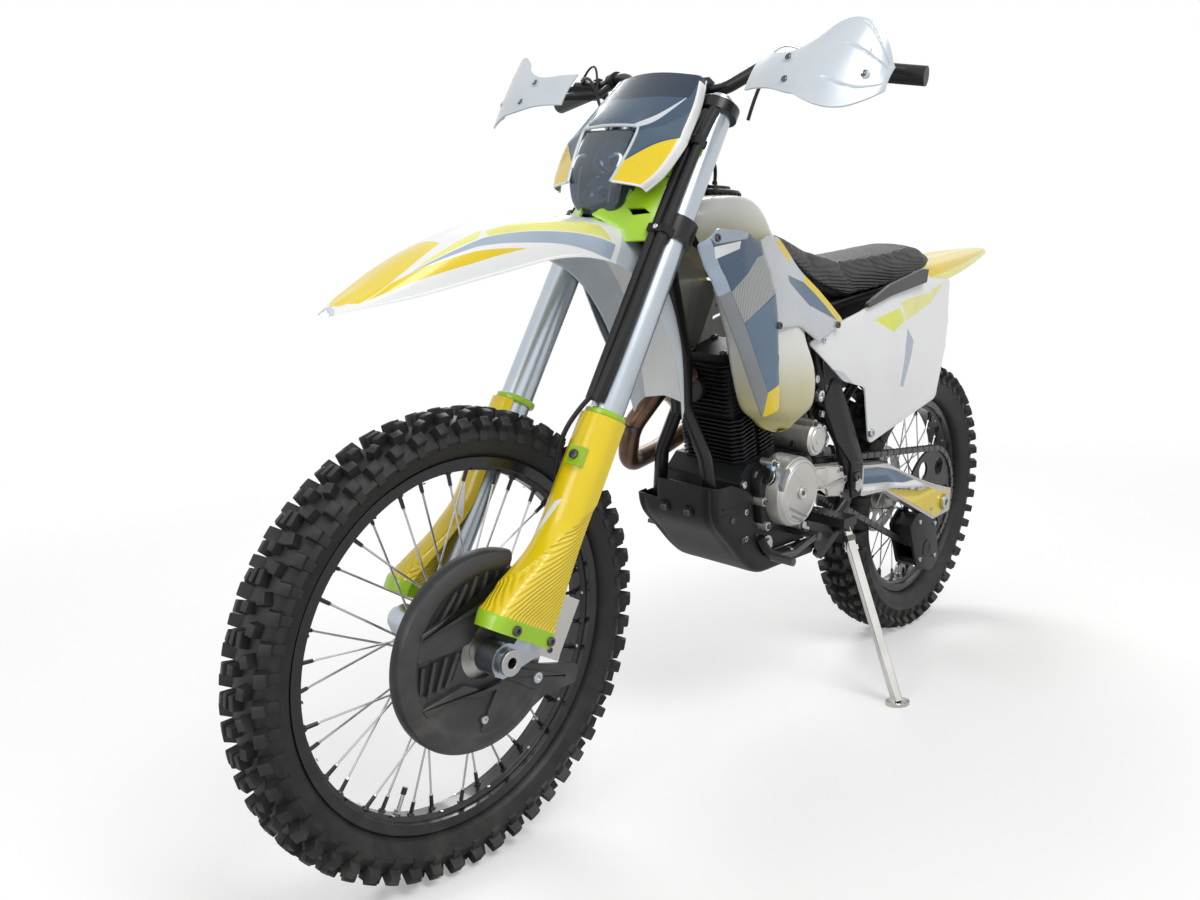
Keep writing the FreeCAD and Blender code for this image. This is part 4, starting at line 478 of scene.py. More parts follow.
tree.links.new(nothing.outputs[0], chosen.inputs[1])
tree.links.new(glow.outputs[0], chosen.inputs[2])
total = node(tree, "ShaderNodeAddShader")
tree.links.new(shader.outputs[0], total.inputs[0])
tree.links.new(chosen.outputs[0], total.inputs[1])
here = node(tree, "ShaderNodeTexCoord")
away = node(tree, "ShaderNodeVectorMath", {"operation": "LENGTH"}, i0=here.outputs["Object"])
thin = node(tree, "ShaderNodeMapRange", {"interpolation_type": "SMOOTHSTEP"}, Value=away.outputs["Value"])
thin.inputs["From Min"].default_value = 1.2
thin.inputs["From Max"].default_value = 4.5
clear = node(tree, "ShaderNodeBsdfTransparent")
faded = node(tree, "ShaderNodeMixShader", Fac=thin.outputs[0])
tree.links.new(total.outputs[0], faded.inputs[1])
tree.links.new(clear.outputs[0], faded.inputs[2])
tree.links.new(faded.outputs[0], tree.nodes["Material Output"].inputs["Surface"])
floor_mesh.materials.append(pale)

# %% [markdown]
# ## Helpers for making pieces
# Every piece starts as a bmesh in millimetres and ends in `add_piece`, which takes it to its place,
# marks its hard edges, gives it its materials and lets it ride on a body of the machine.

# %% From a bmesh to a piece
SHARP = math.radians(32)
replaced_nodes = set()


def add_piece(name, bm, place, body, materials, replaced=(), bevel=0.0, sharp=SHARP, segments=2):
    bmesh.ops.remove_doubles(bm, verts=bm.verts, dist=0.001)
    bmesh.ops.transform(bm, matrix=place, verts=bm.verts)
    for face in bm.faces:
        face.smooth = True
    for edge in bm.edges:
        if len(edge.link_faces) == 2 and edge.calc_face_angle() > sharp:
            edge.smooth = False
    mesh = bpy.data.meshes.new(name)
    bm.to_mesh(mesh)
    bm.free()
    for material in materials:
        mesh.materials.append(material)
    piece = bpy.data.objects.new(name, mesh)
    bpy.context.scene.collection.objects.link(piece)
    if bevel:
        softened = piece.modifiers.new("softened_edges", "BEVEL")
        softened.width = bevel * MM
        softened.segments = segments
        softened.limit_method = "ANGLE"
        softened.angle_limit = sharp
        softened.harden_normals = False
    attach(piece, body)
    if replaced:
        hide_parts(*replaced)
        replaced_nodes.update(replaced)
    return piece


def solid_copy(name):
    """The CAD piece's own mesh with its loose triangles merged, in metres."""
    bm = bmesh.new()
    bm.from_mesh(frame["nodes"][name].data)
    bmesh.ops.remove_doubles(bm, verts=bm.verts, dist=1e-5)
    bmesh.ops.dissolve_limit(bm, angle_limit=math.radians(0.5), verts=bm.verts, edges=bm.edges)
    return bm


def dress(name, material, bevel=0.6, extra=None):
    """Shows a CAD piece with softened edges and a real finish."""
    bm = solid_copy(name)
    bmesh.ops.transform(bm, matrix=Matrix.Scale(1 / MM, 4), verts=bm.verts)
    body = frame["nodes"][name]["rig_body"]
    return add_piece(name + "_dressed", bm, Matrix.Scale(MM, 4), body, [material], [name], bevel)

# %% [markdown]
# ## Sheets, plates and skins
# Bodywork is made of three forms. A plate is a side-view outline with rounded corners and a thickness.
# A bowed panel is a plate whose sheet is cut to a fine net and pushed out by a depth function. A skin is
# a flat unit grid that is laid over stations with a smooth spline both ways. Stripes and colour fields
# are cut into the sheet while it is still flat, so their borders stay crisp on the curved panel.

# %% Sheets, plates and skins


def kept(made, kind):
    return [part for part in made["geom"] if isinstance(part, kind)]


def outline_face(bm, outline, y=0.0, rounding=0.0):
    """A flat face in the side view, with its corners rounded."""
    corners = [bm.verts.new((x, y, z)) for x, z in outline]
    edges = [bm.edges.new(pair) for pair in zip(corners, corners[1:] + corners[:1])]
    bmesh.ops.contextual_create(bm, geom=edges)
    if rounding:
        bmesh.ops.bevel(bm, geom=corners, offset=rounding, segments=4, affect="VERTICES", profile=0.5,
                        material=-1, clamp_overlap=True)


def turned_out(bm, faces, way=(0, -1, 0)):
    """Turns flat faces so that they look along a direction."""
    wrong = [face for face in faces if face.normal.dot(Vector(way)) < 0]
    bmesh.ops.reverse_faces(bm, faces=wrong)


def plate_mesh(outline, low, high, rounding=0.0, edge=0.0):
    """A solid plate between two side-view planes, as a template mesh."""
    bm = bmesh.new()
    outline_face(bm, outline, low, rounding)
    bmesh.ops.remove_doubles(bm, verts=bm.verts, dist=0.01)
    made = bmesh.ops.extrude_face_region(bm, geom=bm.faces[:])
    bmesh.ops.translate(bm, vec=(0, high - low, 0), verts=kept(made, bmesh.types.BMVert))
    bmesh.ops.recalc_face_normals(bm, faces=bm.faces)
    if edge:
        rim = [e for e in bm.edges if e.calc_face_angle(0) > math.radians(60)
               and abs(e.verts[0].co.y - e.verts[1].co.y) < 0.01 and abs(e.verts[0].co.y - high) < 0.01]
        bmesh.ops.bevel(bm, geom=rim, offset=edge, segments=3, affect="EDGES", profile=0.5, material=-1)
    return as_mesh(bm)


def add_plate(bm, outline, low, high, rounding=0.0, edge=0.0, material=0, matrix=Matrix()):
    add_copy(bm, plate_mesh(outline, low, high, rounding, edge), matrix, material)


def paint(bm, polygon, material):
    """Cuts a flat sheet along a convex (x, z) outline and gives its inside a material."""
    area = sum(a[0] * b[1] - b[0] * a[1] for a, b in zip(polygon, polygon[1:] + polygon[:1]))
    inside = bm.faces[:]
    for start, end in zip(polygon, polygon[1:] + polygon[:1]):
        away = Vector((end[1] - start[1], 0, start[0] - end[0])) * (1 if area > 0 else -1)
        corner = Vector((start[0], 0, start[1]))
        around = list({v for f in inside for v in f.verts}) + list({e for f in inside for e in f.edges}) + inside
        cut = bmesh.ops.bisect_plane(bm, geom=around, dist=1e-5, plane_co=corner, plane_no=away)
        inside = [f for f in kept(cut, bmesh.types.BMFace) if (f.calc_center_median() - corner).dot(away) < 0]
    for face in inside:
        face.material_index = material


def net(bm, spacing):
    """Cuts a flat sheet into a net of small faces."""
    for axis, way in ((0, (1, 0, 0)), (2, (0, 0, 1))):
        values = [v.co[axis] for v in bm.verts]
        low, high = min(values), max(values)
        for i in range(1, int((high - low) / spacing) + 1):
            spot = Vector(way) * (low + i * spacing)
            bmesh.ops.bisect_plane(bm, geom=bm.verts[:] + bm.edges[:] + bm.faces[:], dist=1e-4, plane_co=spot,
                                   plane_no=way)


def thicken(bm, through):
    """Gives a sheet a back side, moved through the wall."""
    made = bmesh.ops.extrude_face_region(bm, geom=bm.faces[:])
    verts = kept(made, bmesh.types.BMVert)
    for vert in verts:
        vert.co += through(vert.co) if callable(through) else Vector(through)
    bmesh.ops.recalc_face_normals(bm, faces=bm.faces)


def mirror_too(bm):
    """Adds the same form on the other side of the machine."""
    twin = bmesh.ops.duplicate(bm, geom=bm.verts[:] + bm.edges[:] + bm.faces[:])
    bmesh.ops.scale(bm, vec=(1, -1, 1), verts=kept(twin, bmesh.types.BMVert))
    bmesh.ops.reverse_faces(bm, faces=kept(twin, bmesh.types.BMFace))


def bowed(outline, depth, wall=3.0, rounding=8.0, spacing=14.0, zones=()):
    """A panel: its outline is painted and cut flat, then bowed by depth(x, z)."""
    bm = bmesh.new()
    outline_face(bm, outline, 0.0, rounding)
    bmesh.ops.remove_doubles(bm, verts=bm.verts, dist=0.01)
    turned_out(bm, bm.faces[:], (0, 1, 0))
    bmesh.ops.inset_region(bm, faces=bm.faces[:], thickness=2.2, use_even_offset=True)
    for polygon, material in zones:
        paint(bm, polygon, material)
    net(bm, spacing)
    for vert in bm.verts:
        border = 1.4 if vert.is_boundary else 0.0
        vert.co.y = depth(vert.co.x, vert.co.z) - border
    thicken(bm, (0, -wall, 0))
    return bm


def spline_at(points, t):
    """A smooth curve through evenly spaced points, with t from 0 to 1."""
    spans = len(points) - 1
    i = min(int(t * spans), spans - 1)
    f = t * spans - i
    p0, p1, p2, p3 = points[max(i - 1, 0)], points[i], points[i + 1], points[min(i + 2, spans)]
    return 0.5 * (2 * p1 + (p2 - p0) * f + (2 * p0 - 5 * p1 + 4 * p2 - p3) * f * f
                  + (3 * p1 - p0 - 3 * p2 + p3) * f ** 3)


def unit_sheet(columns, rows):
    """A flat grid over u (x) and v (z), each from 0 to 1."""
    bm = bmesh.new()
    bmesh.ops.create_grid(bm, x_segments=columns, y_segments=rows, size=0.5)
    stand = Matrix.Translation((0.5, 0, 0.5)) @ Matrix.Rotation(math.pi / 2, 4, "X")
    bmesh.ops.transform(bm, matrix=stand, verts=bm.verts)
    return bm


def skin(stations, columns, rows, zones=(), crease=None):
    """Lays a painted unit grid over stations of points: u runs along a station, v from station to station."""
    bm = unit_sheet(columns, rows)
    for polygon, material in zones:
        paint(bm, polygon, material)
    stations = [[Vector(p) for p in station] for station in stations]
    for vert in bm.verts:
        u, v = min(max(vert.co.x, 0), 1), min(max(vert.co.z, 0), 1)
        vert.co = spline_at([spline_at(station, u) for station in stations], v)
        if crease:
            vert.co += crease(u, v)
    return bm


def cut_corner(bm, x, z, toward_x, toward_z):
    """Removes the quarter beyond a corner of the side view and closes the cut walls."""
    planes = ((0, x, (1, 0, 0)), (2, z, (0, 0, 1)))
    for axis, level, way in planes:
        bmesh.ops.bisect_plane(bm, geom=bm.verts[:] + bm.edges[:] + bm.faces[:], dist=1e-4,
                               plane_co=Vector(way) * level, plane_no=way)
    gone = [f for f in bm.faces if (f.calc_center_median().x - x) * toward_x > 0
            and (f.calc_center_median().z - z) * toward_z > 0]
    bmesh.ops.delete(bm, geom=gone, context="FACES")
    corner = [v for v in bm.verts if v.is_boundary and abs(v.co.x - x) < 0.01 and abs(v.co.z - z) < 0.01]
    if len(corner) == 2:
        bm.edges.new(corner)
    for axis, level, way in planes:
        open_edges = [e for e in bm.edges if len(e.link_faces) < 2
                      and all(abs(v.co[axis] - level) < 0.01 for v in e.verts)]
        if open_edges:
            bmesh.ops.contextual_create(bm, geom=open_edges)


def along(points, share):
    """A point at a share of the length of a polyline."""
    points = [Vector(p) for p in points]
    runs = [(b - a).length for a, b in zip(points, points[1:])]
    reach = share * sum(runs)
    for a, b, run in zip(points, points[1:], runs):
        if reach <= run + 1e-6:
            return a.lerp(b, reach / run)
        reach -= run
    return points[-1]


def add_slats(bm, one_side, other_side, count, low, high, width, material=0):
    """Bars across a window, from one of its borders to the other."""
    for i in range(count):
        share = (i + 0.5) / count
        start, end = along(one_side, share), along(other_side, share)
        aside = Vector((start.y - end.y, end.x - start.x)).normalized() * width / 2
        bar = [tuple(p) for p in (start - aside, end - aside, end + aside, start + aside)]
        add_plate(bm, bar, low, high, material=material)

# %% [markdown]
# ## Turned, swept and repeated forms
# Wheels are turned from a profile, hoses are swept along a curve, and spokes, knobs, bolts and chain
# links are one small template copied to many places. A template is a mesh of its own, so each copy only
# costs its few faces.

# %% Turned and swept forms


def turned(profile, steps=96, closed=False):
    """Spins (radius, along) points about the Y axis, in an (x, y, z) frame."""
    bm = bmesh.new()
    points = [bm.verts.new((radius, along, 0.0)) for radius, along in profile]
    ends = points[1:] + points[:1] if closed else points[1:]
    edges = [bm.edges.new(pair) for pair in zip(points, ends)]
    bmesh.ops.spin(bm, geom=points + edges, cent=(0, 0, 0), axis=(0, 1, 0), angle=2 * math.pi, steps=steps,
                   use_merge=True)
    bmesh.ops.remove_doubles(bm, verts=bm.verts, dist=0.0005)
    bmesh.ops.recalc_face_normals(bm, faces=bm.faces)
    return bm


def as_mesh(bm):
    mesh = bpy.data.meshes.new("template")
    bm.to_mesh(mesh)
    bm.free()
    return mesh


def add_copy(bm, template, matrix, material=0):
    """Adds one copy of a template mesh to a bmesh. A material of None keeps the template's own."""
    placed = template.copy()
    placed.transform(matrix)
    if material is not None:
        placed.polygons.foreach_set("material_index", [material] * len(placed.polygons))
    bm.from_mesh(placed)
    bpy.data.meshes.remove(placed)


def paint_made(made, material):
    for face in {face for vert in made["verts"] for face in vert.link_faces}:
        face.material_index = material


def facing(way, spin=0.0):
    """A turn that takes +Z to a direction."""
    return Vector(way).to_track_quat("Z", "Y").to_matrix().to_4x4() @ Matrix.Rotation(spin, 4, "Z")


def add_rod(bm, start, end, radius, sides=12, end_radius=None, material=0):
    start, end = Vector(start), Vector(end)
    matrix = Matrix.Translation((start + end) / 2) @ facing(end - start)
    made = bmesh.ops.create_cone(bm, cap_ends=True, segments=sides, radius1=radius, radius2=end_radius or radius,
                                 depth=(end - start).length, matrix=matrix)
    paint_made(made, material)


def add_box(bm, low, high, matrix=Matrix(), material=0):
    low, high = Vector(low), Vector(high)
    size = high - low
    made = bmesh.ops.create_cube(bm, size=1.0, matrix=matrix @ Matrix.Translation((low + high) / 2)
                                 @ Matrix.Diagonal(size).to_4x4())
    paint_made(made, material)


def swept(points, radius, sides=12, order=3, resolution=8):
    """A tube along a smooth curve, as a mesh."""
    curve = bpy.data.curves.new("route", "CURVE")
    curve.dimensions = "3D"
    curve.bevel_depth = radius
    curve.bevel_resolution = max(1, sides // 4 - 1)
    curve.use_fill_caps = True
    spline = curve.splines.new("NURBS")
    spline.points.add(len(points) - 1)
    for spot, point in zip(spline.points, points):
        spot.co = (*point, 1.0)
    spline.order_u = order
    spline.use_endpoint_u = True
    spline.resolution_u = resolution
    holder = bpy.data.objects.new("route", curve)
    mesh = bpy.data.meshes.new_from_object(holder)
    bpy.data.objects.remove(holder)
    return mesh


def add_sweep(bm, points, radius, sides=12, material=0, matrix=Matrix()):
    add_copy(bm, swept(points, radius, sides), matrix, material)


def bolt_template(radius, height, socket=True):
    """A bolt head with a chamfered rim and a six-sided socket, standing on z = 0."""
    bm = bmesh.new()
    bmesh.ops.create_cone(bm, cap_ends=True, segments=24, radius1=radius, radius2=radius, depth=height,
                          matrix=Matrix.Translation((0, 0, height / 2)))
    top = max(bm.faces, key=lambda f: f.calc_center_median().z)
    bmesh.ops.bevel(bm, geom=list(top.edges), offset=0.14 * radius, segments=2, affect="EDGES", profile=0.5,
                    material=-1)
    if socket:
        top = max(bm.faces, key=lambda f: f.calc_center_median().z)
        bmesh.ops.inset_region(bm, faces=[top], thickness=0.36 * radius)
        bmesh.ops.inset_region(bm, faces=[top], thickness=0.02 * radius, depth=-0.45 * height)
    return as_mesh(bm)


BOLT = bolt_template(1.0, 0.7)
FLAT_HEAD = bolt_template(1.0, 0.28)


def add_bolt(bm, place, way, radius, material=0, template=None):
    matrix = Matrix.Translation(place) @ facing(way) @ Matrix.Scale(radius, 4)
    add_copy(bm, template or BOLT, matrix, material)


# %% [markdown]
# ## Tyres
# An off-road tyre is a thin carcass with tall separate blocks. The carcass is turned from a profile
# that stays a block's height inside the solid's outline. Each block is a tapered cube with a chamfered
# top, set square to the carcass. Shoulder blocks have a small buttress that runs down the wall.

# %% Tyres
def block_template():
    """A unit block that tapers to its top, with its foot under z = 0."""
    bm = bmesh.new()
    bmesh.ops.create_cube(bm, size=1.0, matrix=Matrix.Translation((0, 0, 0.25)) @ Matrix.Diagonal((1, 1, 1.5, 1)))
    top = max(bm.faces, key=lambda f: f.calc_center_median().z)
    bmesh.ops.scale(bm, vec=(0.8, 0.8, 1.0), verts=list(top.verts))
    bmesh.ops.bevel(bm, geom=list(top.edges), offset=0.07, segments=1, affect="EDGES", profile=0.5, material=-1)
    low = min(bm.faces, key=lambda f: f.calc_center_median().z)
    bmesh.ops.delete(bm, geom=[low], context="FACES_ONLY")
    return as_mesh(bm)


BLOCK = block_template()


def add_block(bm, angle, radius, along, tilt, size, twist=0.0):
    """One block: size is (round the tyre, across it, height), tilt leans its top to the side."""
    round_turn = Matrix.Rotation(-angle, 4, "Y")
    stand = Matrix.Translation((radius, along, 0)) @ Matrix.Rotation(tilt - math.pi / 2, 4, "Z")
    lay = Matrix(((0, 1, 0, 0), (0, 0, 1, 0), (1, 0, 0, 0), (0, 0, 0, 1)))
    matrix = round_turn @ stand @ lay @ Matrix.Rotation(twist, 4, "Z") @ Matrix.Diagonal((*size, 1))
    add_copy(bm, BLOCK, matrix, 1)


def make_tyre(name, place, body, radius, width, rim_radius, pitches, block_height, replaced):
    half = width / 2
    crown = radius - block_height
    wall = (crown - 8 + rim_radius) / 2 + 3
    side = [(rim_radius - 9, 0.50 * half - 2), (rim_radius + 1.5, 0.50 * half), (rim_radius + 3, 0.58 * half + 1.5),
            (rim_radius + 8, 0.78 * half), (rim_radius + 9, 0.79 * half), (wall - 8, 0.93 * half),
            (wall, 0.955 * half), (wall + 1.2, 0.975 * half), (wall + 3.6, 0.975 * half), (wall + 5, 0.95 * half),
            (crown - 20, 0.90 * half), (crown - 10, 0.74 * half), (crown - 3, 0.42 * half), (crown, 0.12 * half)]
    profile = side + [(r, -y) for r, y in reversed(side)]
    bm = turned(profile, 120)
    step = 2 * math.pi / pitches
    arc = crown * step
    for i in range(pitches):
        for side_sign in (1, -1):
            at = (i + (0.5 if side_sign < 0 else 0)) * step
            long_one = 1.0 if i % 2 else 0.86
            add_block(bm, at, crown - 11.5, side_sign * 0.80 * half, side_sign * math.radians(50),
                      (0.56 * arc * long_one, 0.42 * half, block_height + 1.5), side_sign * 0.06)
            add_block(bm, at, crown - 25, side_sign * 0.915 * half, side_sign * math.radians(76),
                      (0.40 * arc, 0.40 * half, 3.4), 0.0)
            add_block(bm, at + 0.5 * step, crown - 2.5, side_sign * 0.45 * half, side_sign * math.radians(17),
                      (0.50 * arc, 0.33 * half, block_height + 0.5), side_sign * (0.35 if i % 2 else -0.12))
        if i % 2 == 0:
            for side_sign in (1, -1):
                add_block(bm, (i + 0.1) * step, crown, side_sign * 0.155 * half, side_sign * math.radians(4),
                          (0.62 * arc, 0.25 * half, block_height), side_sign * 0.1)
        else:
            add_block(bm, (i + 0.1) * step, crown, 0.0, 0.0, (0.42 * arc, 0.36 * half, block_height))
    return add_piece(name, bm, place, body, [RUBBER, KNOB_RUBBER], [replaced], sharp=math.radians(38))


front_rubber = make_tyre("front_tyre_rubber", FRONT_WHEEL, "front_wheel", 350.0, 90.0, 278.0, 54, 13.5, "front_tyre")
rear_rubber = make_tyre("rear_tyre_rubber", REAR_WHEEL, "rear_wheel", 335.0, 114.0, 241.0, 48, 15.0, "rear_tyre")
print("tyre faces:", len(front_rubber.data.polygons), len(rear_rubber.data.polygons))

# %% [markdown]
# ## Spokes and nipples
# Thirty-six crossed spokes pull between two hub flanges and the rim. Each ends in a dark nipple with a
# bright tip, seated in the rim. They follow the same crossing rule as the solids.

# %% Spokes
SPOKES, SPOKE_SWEEP = 36, 52.0
FLANGE_RADIUS = 36.0


def round_y(angle_deg, point):
    return Matrix.Rotation(math.radians(angle_deg), 3, "Y") @ Vector(point)


def make_spokes(name, place, body, floor_radius, flange_y, replaced):
    bm = bmesh.new()
    for i in range(SPOKES):
        side, lead = (1, -1)[i % 2], (1, -1)[(i // 2) % 2]
        angle = 360.0 * i / SPOKES
        hub_end = round_y(angle + lead * SPOKE_SWEEP, (FLANGE_RADIUS - 1, side * (flange_y + lead * 3.5), 0))
        rim_end = round_y(angle, (floor_radius + 1, side * (6.0 + lead * 2.0), 0))
        run = (rim_end - hub_end).normalized()
        add_rod(bm, hub_end, rim_end, 1.7, 8)
        add_rod(bm, rim_end - run * 21, rim_end, 2.9, 10, 3.3, material=1)
        add_rod(bm, rim_end - run * 24, rim_end - run * 21, 2.1, 8, 2.8)
        add_bolt(bm, hub_end, (0, lead, 0), 4.0, 0, FLAT_HEAD)
    return add_piece(name, bm, place, body, [STEEL, ANODISED], [replaced])


make_spokes("front_spoke_set", FRONT_WHEEL, "front_wheel", 255.5, 31.0, "front_spokes")
make_spokes("rear_spoke_set", REAR_WHEEL, "rear_wheel", 218.5, 36.0, "rear_spokes")


def make_rim_trim(name, place, body, floor_radius, rim_radius, half_width):
    """Nipple seats pressed into the rim, a small bright head beside each, and a valve with its nut."""
    bm = bmesh.new()
    for i in range(SPOKES):
        side, lead = (1, -1)[i % 2], (1, -1)[(i // 2) % 2]
        out = round_y(360.0 * i / SPOKES, (1, 0, 0))
        spot = out * (floor_radius + 0.5) + Vector((0, side * (6.0 + lead * 2.0), 0))
        add_rod(bm, spot - out * 3.0, spot + out * 1.0, 5.2, 14, 6.2)
        bright = round_y(360.0 * i / SPOKES + 1.1, (1, 0, 0)) * (floor_radius + 0.4)
        add_bolt(bm, bright - out * 1.0 + Vector((0, -side * 14.0, 0)), -out, 2.4, 1, FLAT_HEAD)
    out = round_y(95, (1, 0, 0))
    add_rod(bm, out * (floor_radius - 34), out * (floor_radius + 2), 3.2, 12, material=1)
    add_rod(bm, out * (floor_radius - 6), out * (floor_radius - 1), 6.5, 6, material=1)
    add_rod(bm, out * (floor_radius - 38), out * (floor_radius - 28), 4.2, 12, material=0)
    return add_piece(name, bm, place, body, [ANODISED, STEEL])


make_rim_trim("front_rim_trim", FRONT_WHEEL, "front_wheel", 255.5, 278.0, 26.0)
make_rim_trim("rear_rim_trim", REAR_WHEEL, "rear_wheel", 218.5, 241.0, 31.0)

# %% [markdown]
# ## The front end
# Everything here is modelled along the fork: x is ahead of the steering axis, y is left and z runs up the
# axis. The guards, the mudguard and the mask are skins over a few stations, with their colours cut in.

# %% Front disc cover
COVER_Y = 76.0


def dish(profile, centre_x, steps=128):
    """A turned ring with a closed section, moved ahead of the steering axis."""
    bm = turned(profile, steps, closed=True)
    bmesh.ops.translate(bm, vec=(centre_x, 0, 0), verts=bm.verts)
    return bm


outer = [(40, 74), (110, 74), (116, 75), (120, 78.5), (127, 81), (138, 80), (146, 75.5), (150, 68), (150, 58)]
inner = [(147, 58), (147, 68), (143, 73), (136, 77), (128, 78), (122, 75.5), (118, 72), (111, 71), (40, 71)]
bm = dish(outer + inner, AXIS_OFFSET)
cut_corner(bm, 76.0, 70.0, -1, 1)
cut_corner(bm, -5.0, 0.0, -1, 1)
add_plate(bm, [(10, -110), (-48, -88), (-94, -31), (-148, -2), (-137, 26), (-60, 8), (10, 2)], 70, 79, 5, 1.5)
add_plate(bm, [(168, -42), (124, -18), (90, 6), (84, 36), (77, 96), (112, 62), (150, 22), (178, -8)], 73, 76.4, 4, 1)
upper_window = [(170, 4), (156, 56), (122, 102), (84, 123), (73, 100), (112, 62)]
lower_window = [(166, -50), (130, -24), (98, -6), (95, -50), (103, -60), (132, -80), (152, -77)]
add_plate(bm, upper_window, 73, 74.6, 3, material=1)
add_plate(bm, lower_window, 73, 74.6, 3, material=1)
add_slats(bm, [(168, 6), (113, 65), (74, 101)], [(157, 58), (120, 104), (86, 123)], 5, 73.5, 78.5, 5.5)
add_slats(bm, [(151, -77), (128, -79), (98, -56)], [(165, -50), (130, -25), (98, -6)], 4, 73.5, 78.0, 5.5)
add_plate(bm, [(184, -2), (150, 30), (84, 88), (80, 128), (74, 126), (69, 78), (109, 46), (181, -12)], 74, 83, 2, 3)
add_plate(bm, [(134, -98), (74, -50), (43, -50), (10, -30), (8, -42), (44, -64), (74, -68), (120, -106)], 74, 82, 2, 3)
add_plate(bm, [(4, -26), (-60, -30), (-120, 4), (-70, 0), (-8, -8)], 78, 82, 4, 2)
bmesh.ops.create_cone(bm, cap_ends=True, segments=32, radius1=9, radius2=8, depth=12,
                      matrix=Matrix.Translation((30, 80, 45)) @ facing((0, 1, 0)))
add_bolt(bm, (-58, 79, -12), (0, 1, 0), 8.5, 2)
add_bolt(bm, (12, 76, -90), (0, 1, 0), 6.0, 2)
add_piece("disc_cover_shell", bm, FORK, "steering", [GREY_PLASTIC, SOFT_BLACK, ZINC], ["disc_cover"])

# %% Fork guards
GUARD_ARC = [(49, 78), (59, 95), (59, 115), (49, 132), (32, 142), (9, 141)]
GUARD_FORMS = [
    (34, [(100, 86), (114, 95), (116, 118), (100, 139), (40, 142), (0, 141)]),
    (60, [(100, 84), (115, 94), (116, 118), (100, 140), (40, 142), (0, 141)]),
    (100, [(82, 84), (96, 92), (98, 116), (84, 137), (38, 142), (2, 140)]),
    (150, [(60, 84), (70, 92), (72, 112), (64, 134), (36, 142), (6, 140)]),
    (200, GUARD_ARC), (260, GUARD_ARC), (320, GUARD_ARC), (381, GUARD_ARC)]
GUARD_RIDGE = [(0.0, 0.22), (0.17, 0.28), (0.43, 0.36), (0.56, 0.49), (0.68, 0.575), (0.9, 0.66), (1.0, 0.70)]


def ridge_height(u):
    for (u0, v0), (u1, v1) in zip(GUARD_RIDGE, GUARD_RIDGE[1:]):
        if u <= u1:
            return v0 + (v1 - v0) * (u - u0) / (u1 - u0)
    return GUARD_RIDGE[-1][1]


def guard_crease(u, v):
    """The ribbed lower field lies 2.5 mm deeper than the smooth upper one."""
    deep = min(max((ridge_height(u) - v) / 0.03, 0.0), 1.0) * min(max((v - 0.13) / 0.03, 0.0), 1.0)
    turn = math.radians(-45 + 155 * u)
    return Vector((-math.cos(turn), -math.sin(turn), 0)) * 2.5 * deep


RIBBED_YELLOW = ribbed("ribbed_yellow", YELLOW, (0.35, 0.6, 0.7), 240.0, 0.0008)
stations = [[(a, y, s) for a, y in form] for s, form in GUARD_FORMS]
fields = [([(0, 0.13), (1, 0.13), (1, 0.36), (0.43, 0.36), (0.17, 0.28), (0, 0.22)], 2),
          ([(0.43, 0.36), (1, 0.36), (1, 0.70), (0.9, 0.66), (0.68, 0.575), (0.56, 0.49)], 2),
          ([(0, 0), (1, 0), (1, 0.13), (0, 0.13)], 1),
          ([(0.42, 0.675), (0.3, 0.66), (0.04, 0.50), (0.16, 0.515)], 3)]
bm = skin(stations, 30, 60, fields, guard_crease)
thicken(bm, lambda co: Vector((22 - co.x, 105 - co.y, 0)).normalized() * 3.0)
add_box(bm, (54, 101, 295), (66, 129, 324), material=1)
add_bolt(bm, (66, 116, 310), (1, 0.1, 0), 7.5, 4)
add_bolt(bm, (77, 141, 44), (0, 1, 0), 7.5, 4)
add_bolt(bm, (4, 140.5, 45), (0, 1, 0), 7.0, 4)
mirror_too(bm)
add_piece("fork_guard_skins", bm, FORK, "steering", [YELLOW, GREEN, RIBBED_YELLOW, WHITE_PLASTIC, DARK_STEEL],
          ["fork_guards"], bevel=0.8)

# %% Fork collars
bm = bmesh.new()
for side in (1, -1):
    spot = Vector((22, side * 105, 386))
    ring = as_mesh(turned([(28, -5), (31.5, -5), (33, -2), (33, 4), (31, 6), (28, 6)], 48, closed=True))
    add_copy(bm, ring, Matrix.Translation(spot) @ Matrix.Rotation(math.pi / 2, 4, "X"), 0)
    for level, radius in ((928, 27.6),):
        ring = as_mesh(turned([(26.6, -3), (radius, -3), (radius + 0.5, 0), (radius, 3), (26.6, 3)], 48, closed=True))
        add_copy(bm, ring, Matrix.Translation((22, side * 105, level)) @ Matrix.Rotation(math.pi / 2, 4, "X"), 1)
    add_rod(bm, (22, side * 105, 928), (22, side * 105, 936), 20, 6, material=2)
    add_bolt(bm, (22, side * 105, 936), (0, 0, 1), 8, 3)
add_piece("fork_collars", bm, FORK, "steering", [GREEN, BLACK_PAINT, POLISHED, STEEL])

# %% [markdown]
# The mudguard is one skin of ten stations, from its pointed nose to the flap behind the wheel. Its arrow
# and stripes are cut in on both sides.

# %% Front mudguard
FENDER_FORM = [(470, 348, 12, 5), (440, 391, 40, 20), (380, 484, 60, 64), (290, 579, 72, 82), (190, 642, 76, 66),
               (100, 681, 76, 66), (20, 684, 74, 66), (-60, 654, 70, 66), (-140, 588, 66, 56), (-205, 500, 56, 34)]


def fender_station(a, crown, half, drop):
    right = [(-half, -drop), (-0.97 * half, -0.55 * drop), (-0.80 * half, -0.16 * drop), (-0.45 * half, 0)]
    across = right + [(0, 4)] + [(-y, z) for y, z in reversed(right)]
    return [(a, y, crown + z) for y, z in across]


def both_sides(zones):
    return zones + [([(1 - u, v) for u, v in polygon], material) for polygon, material in zones]


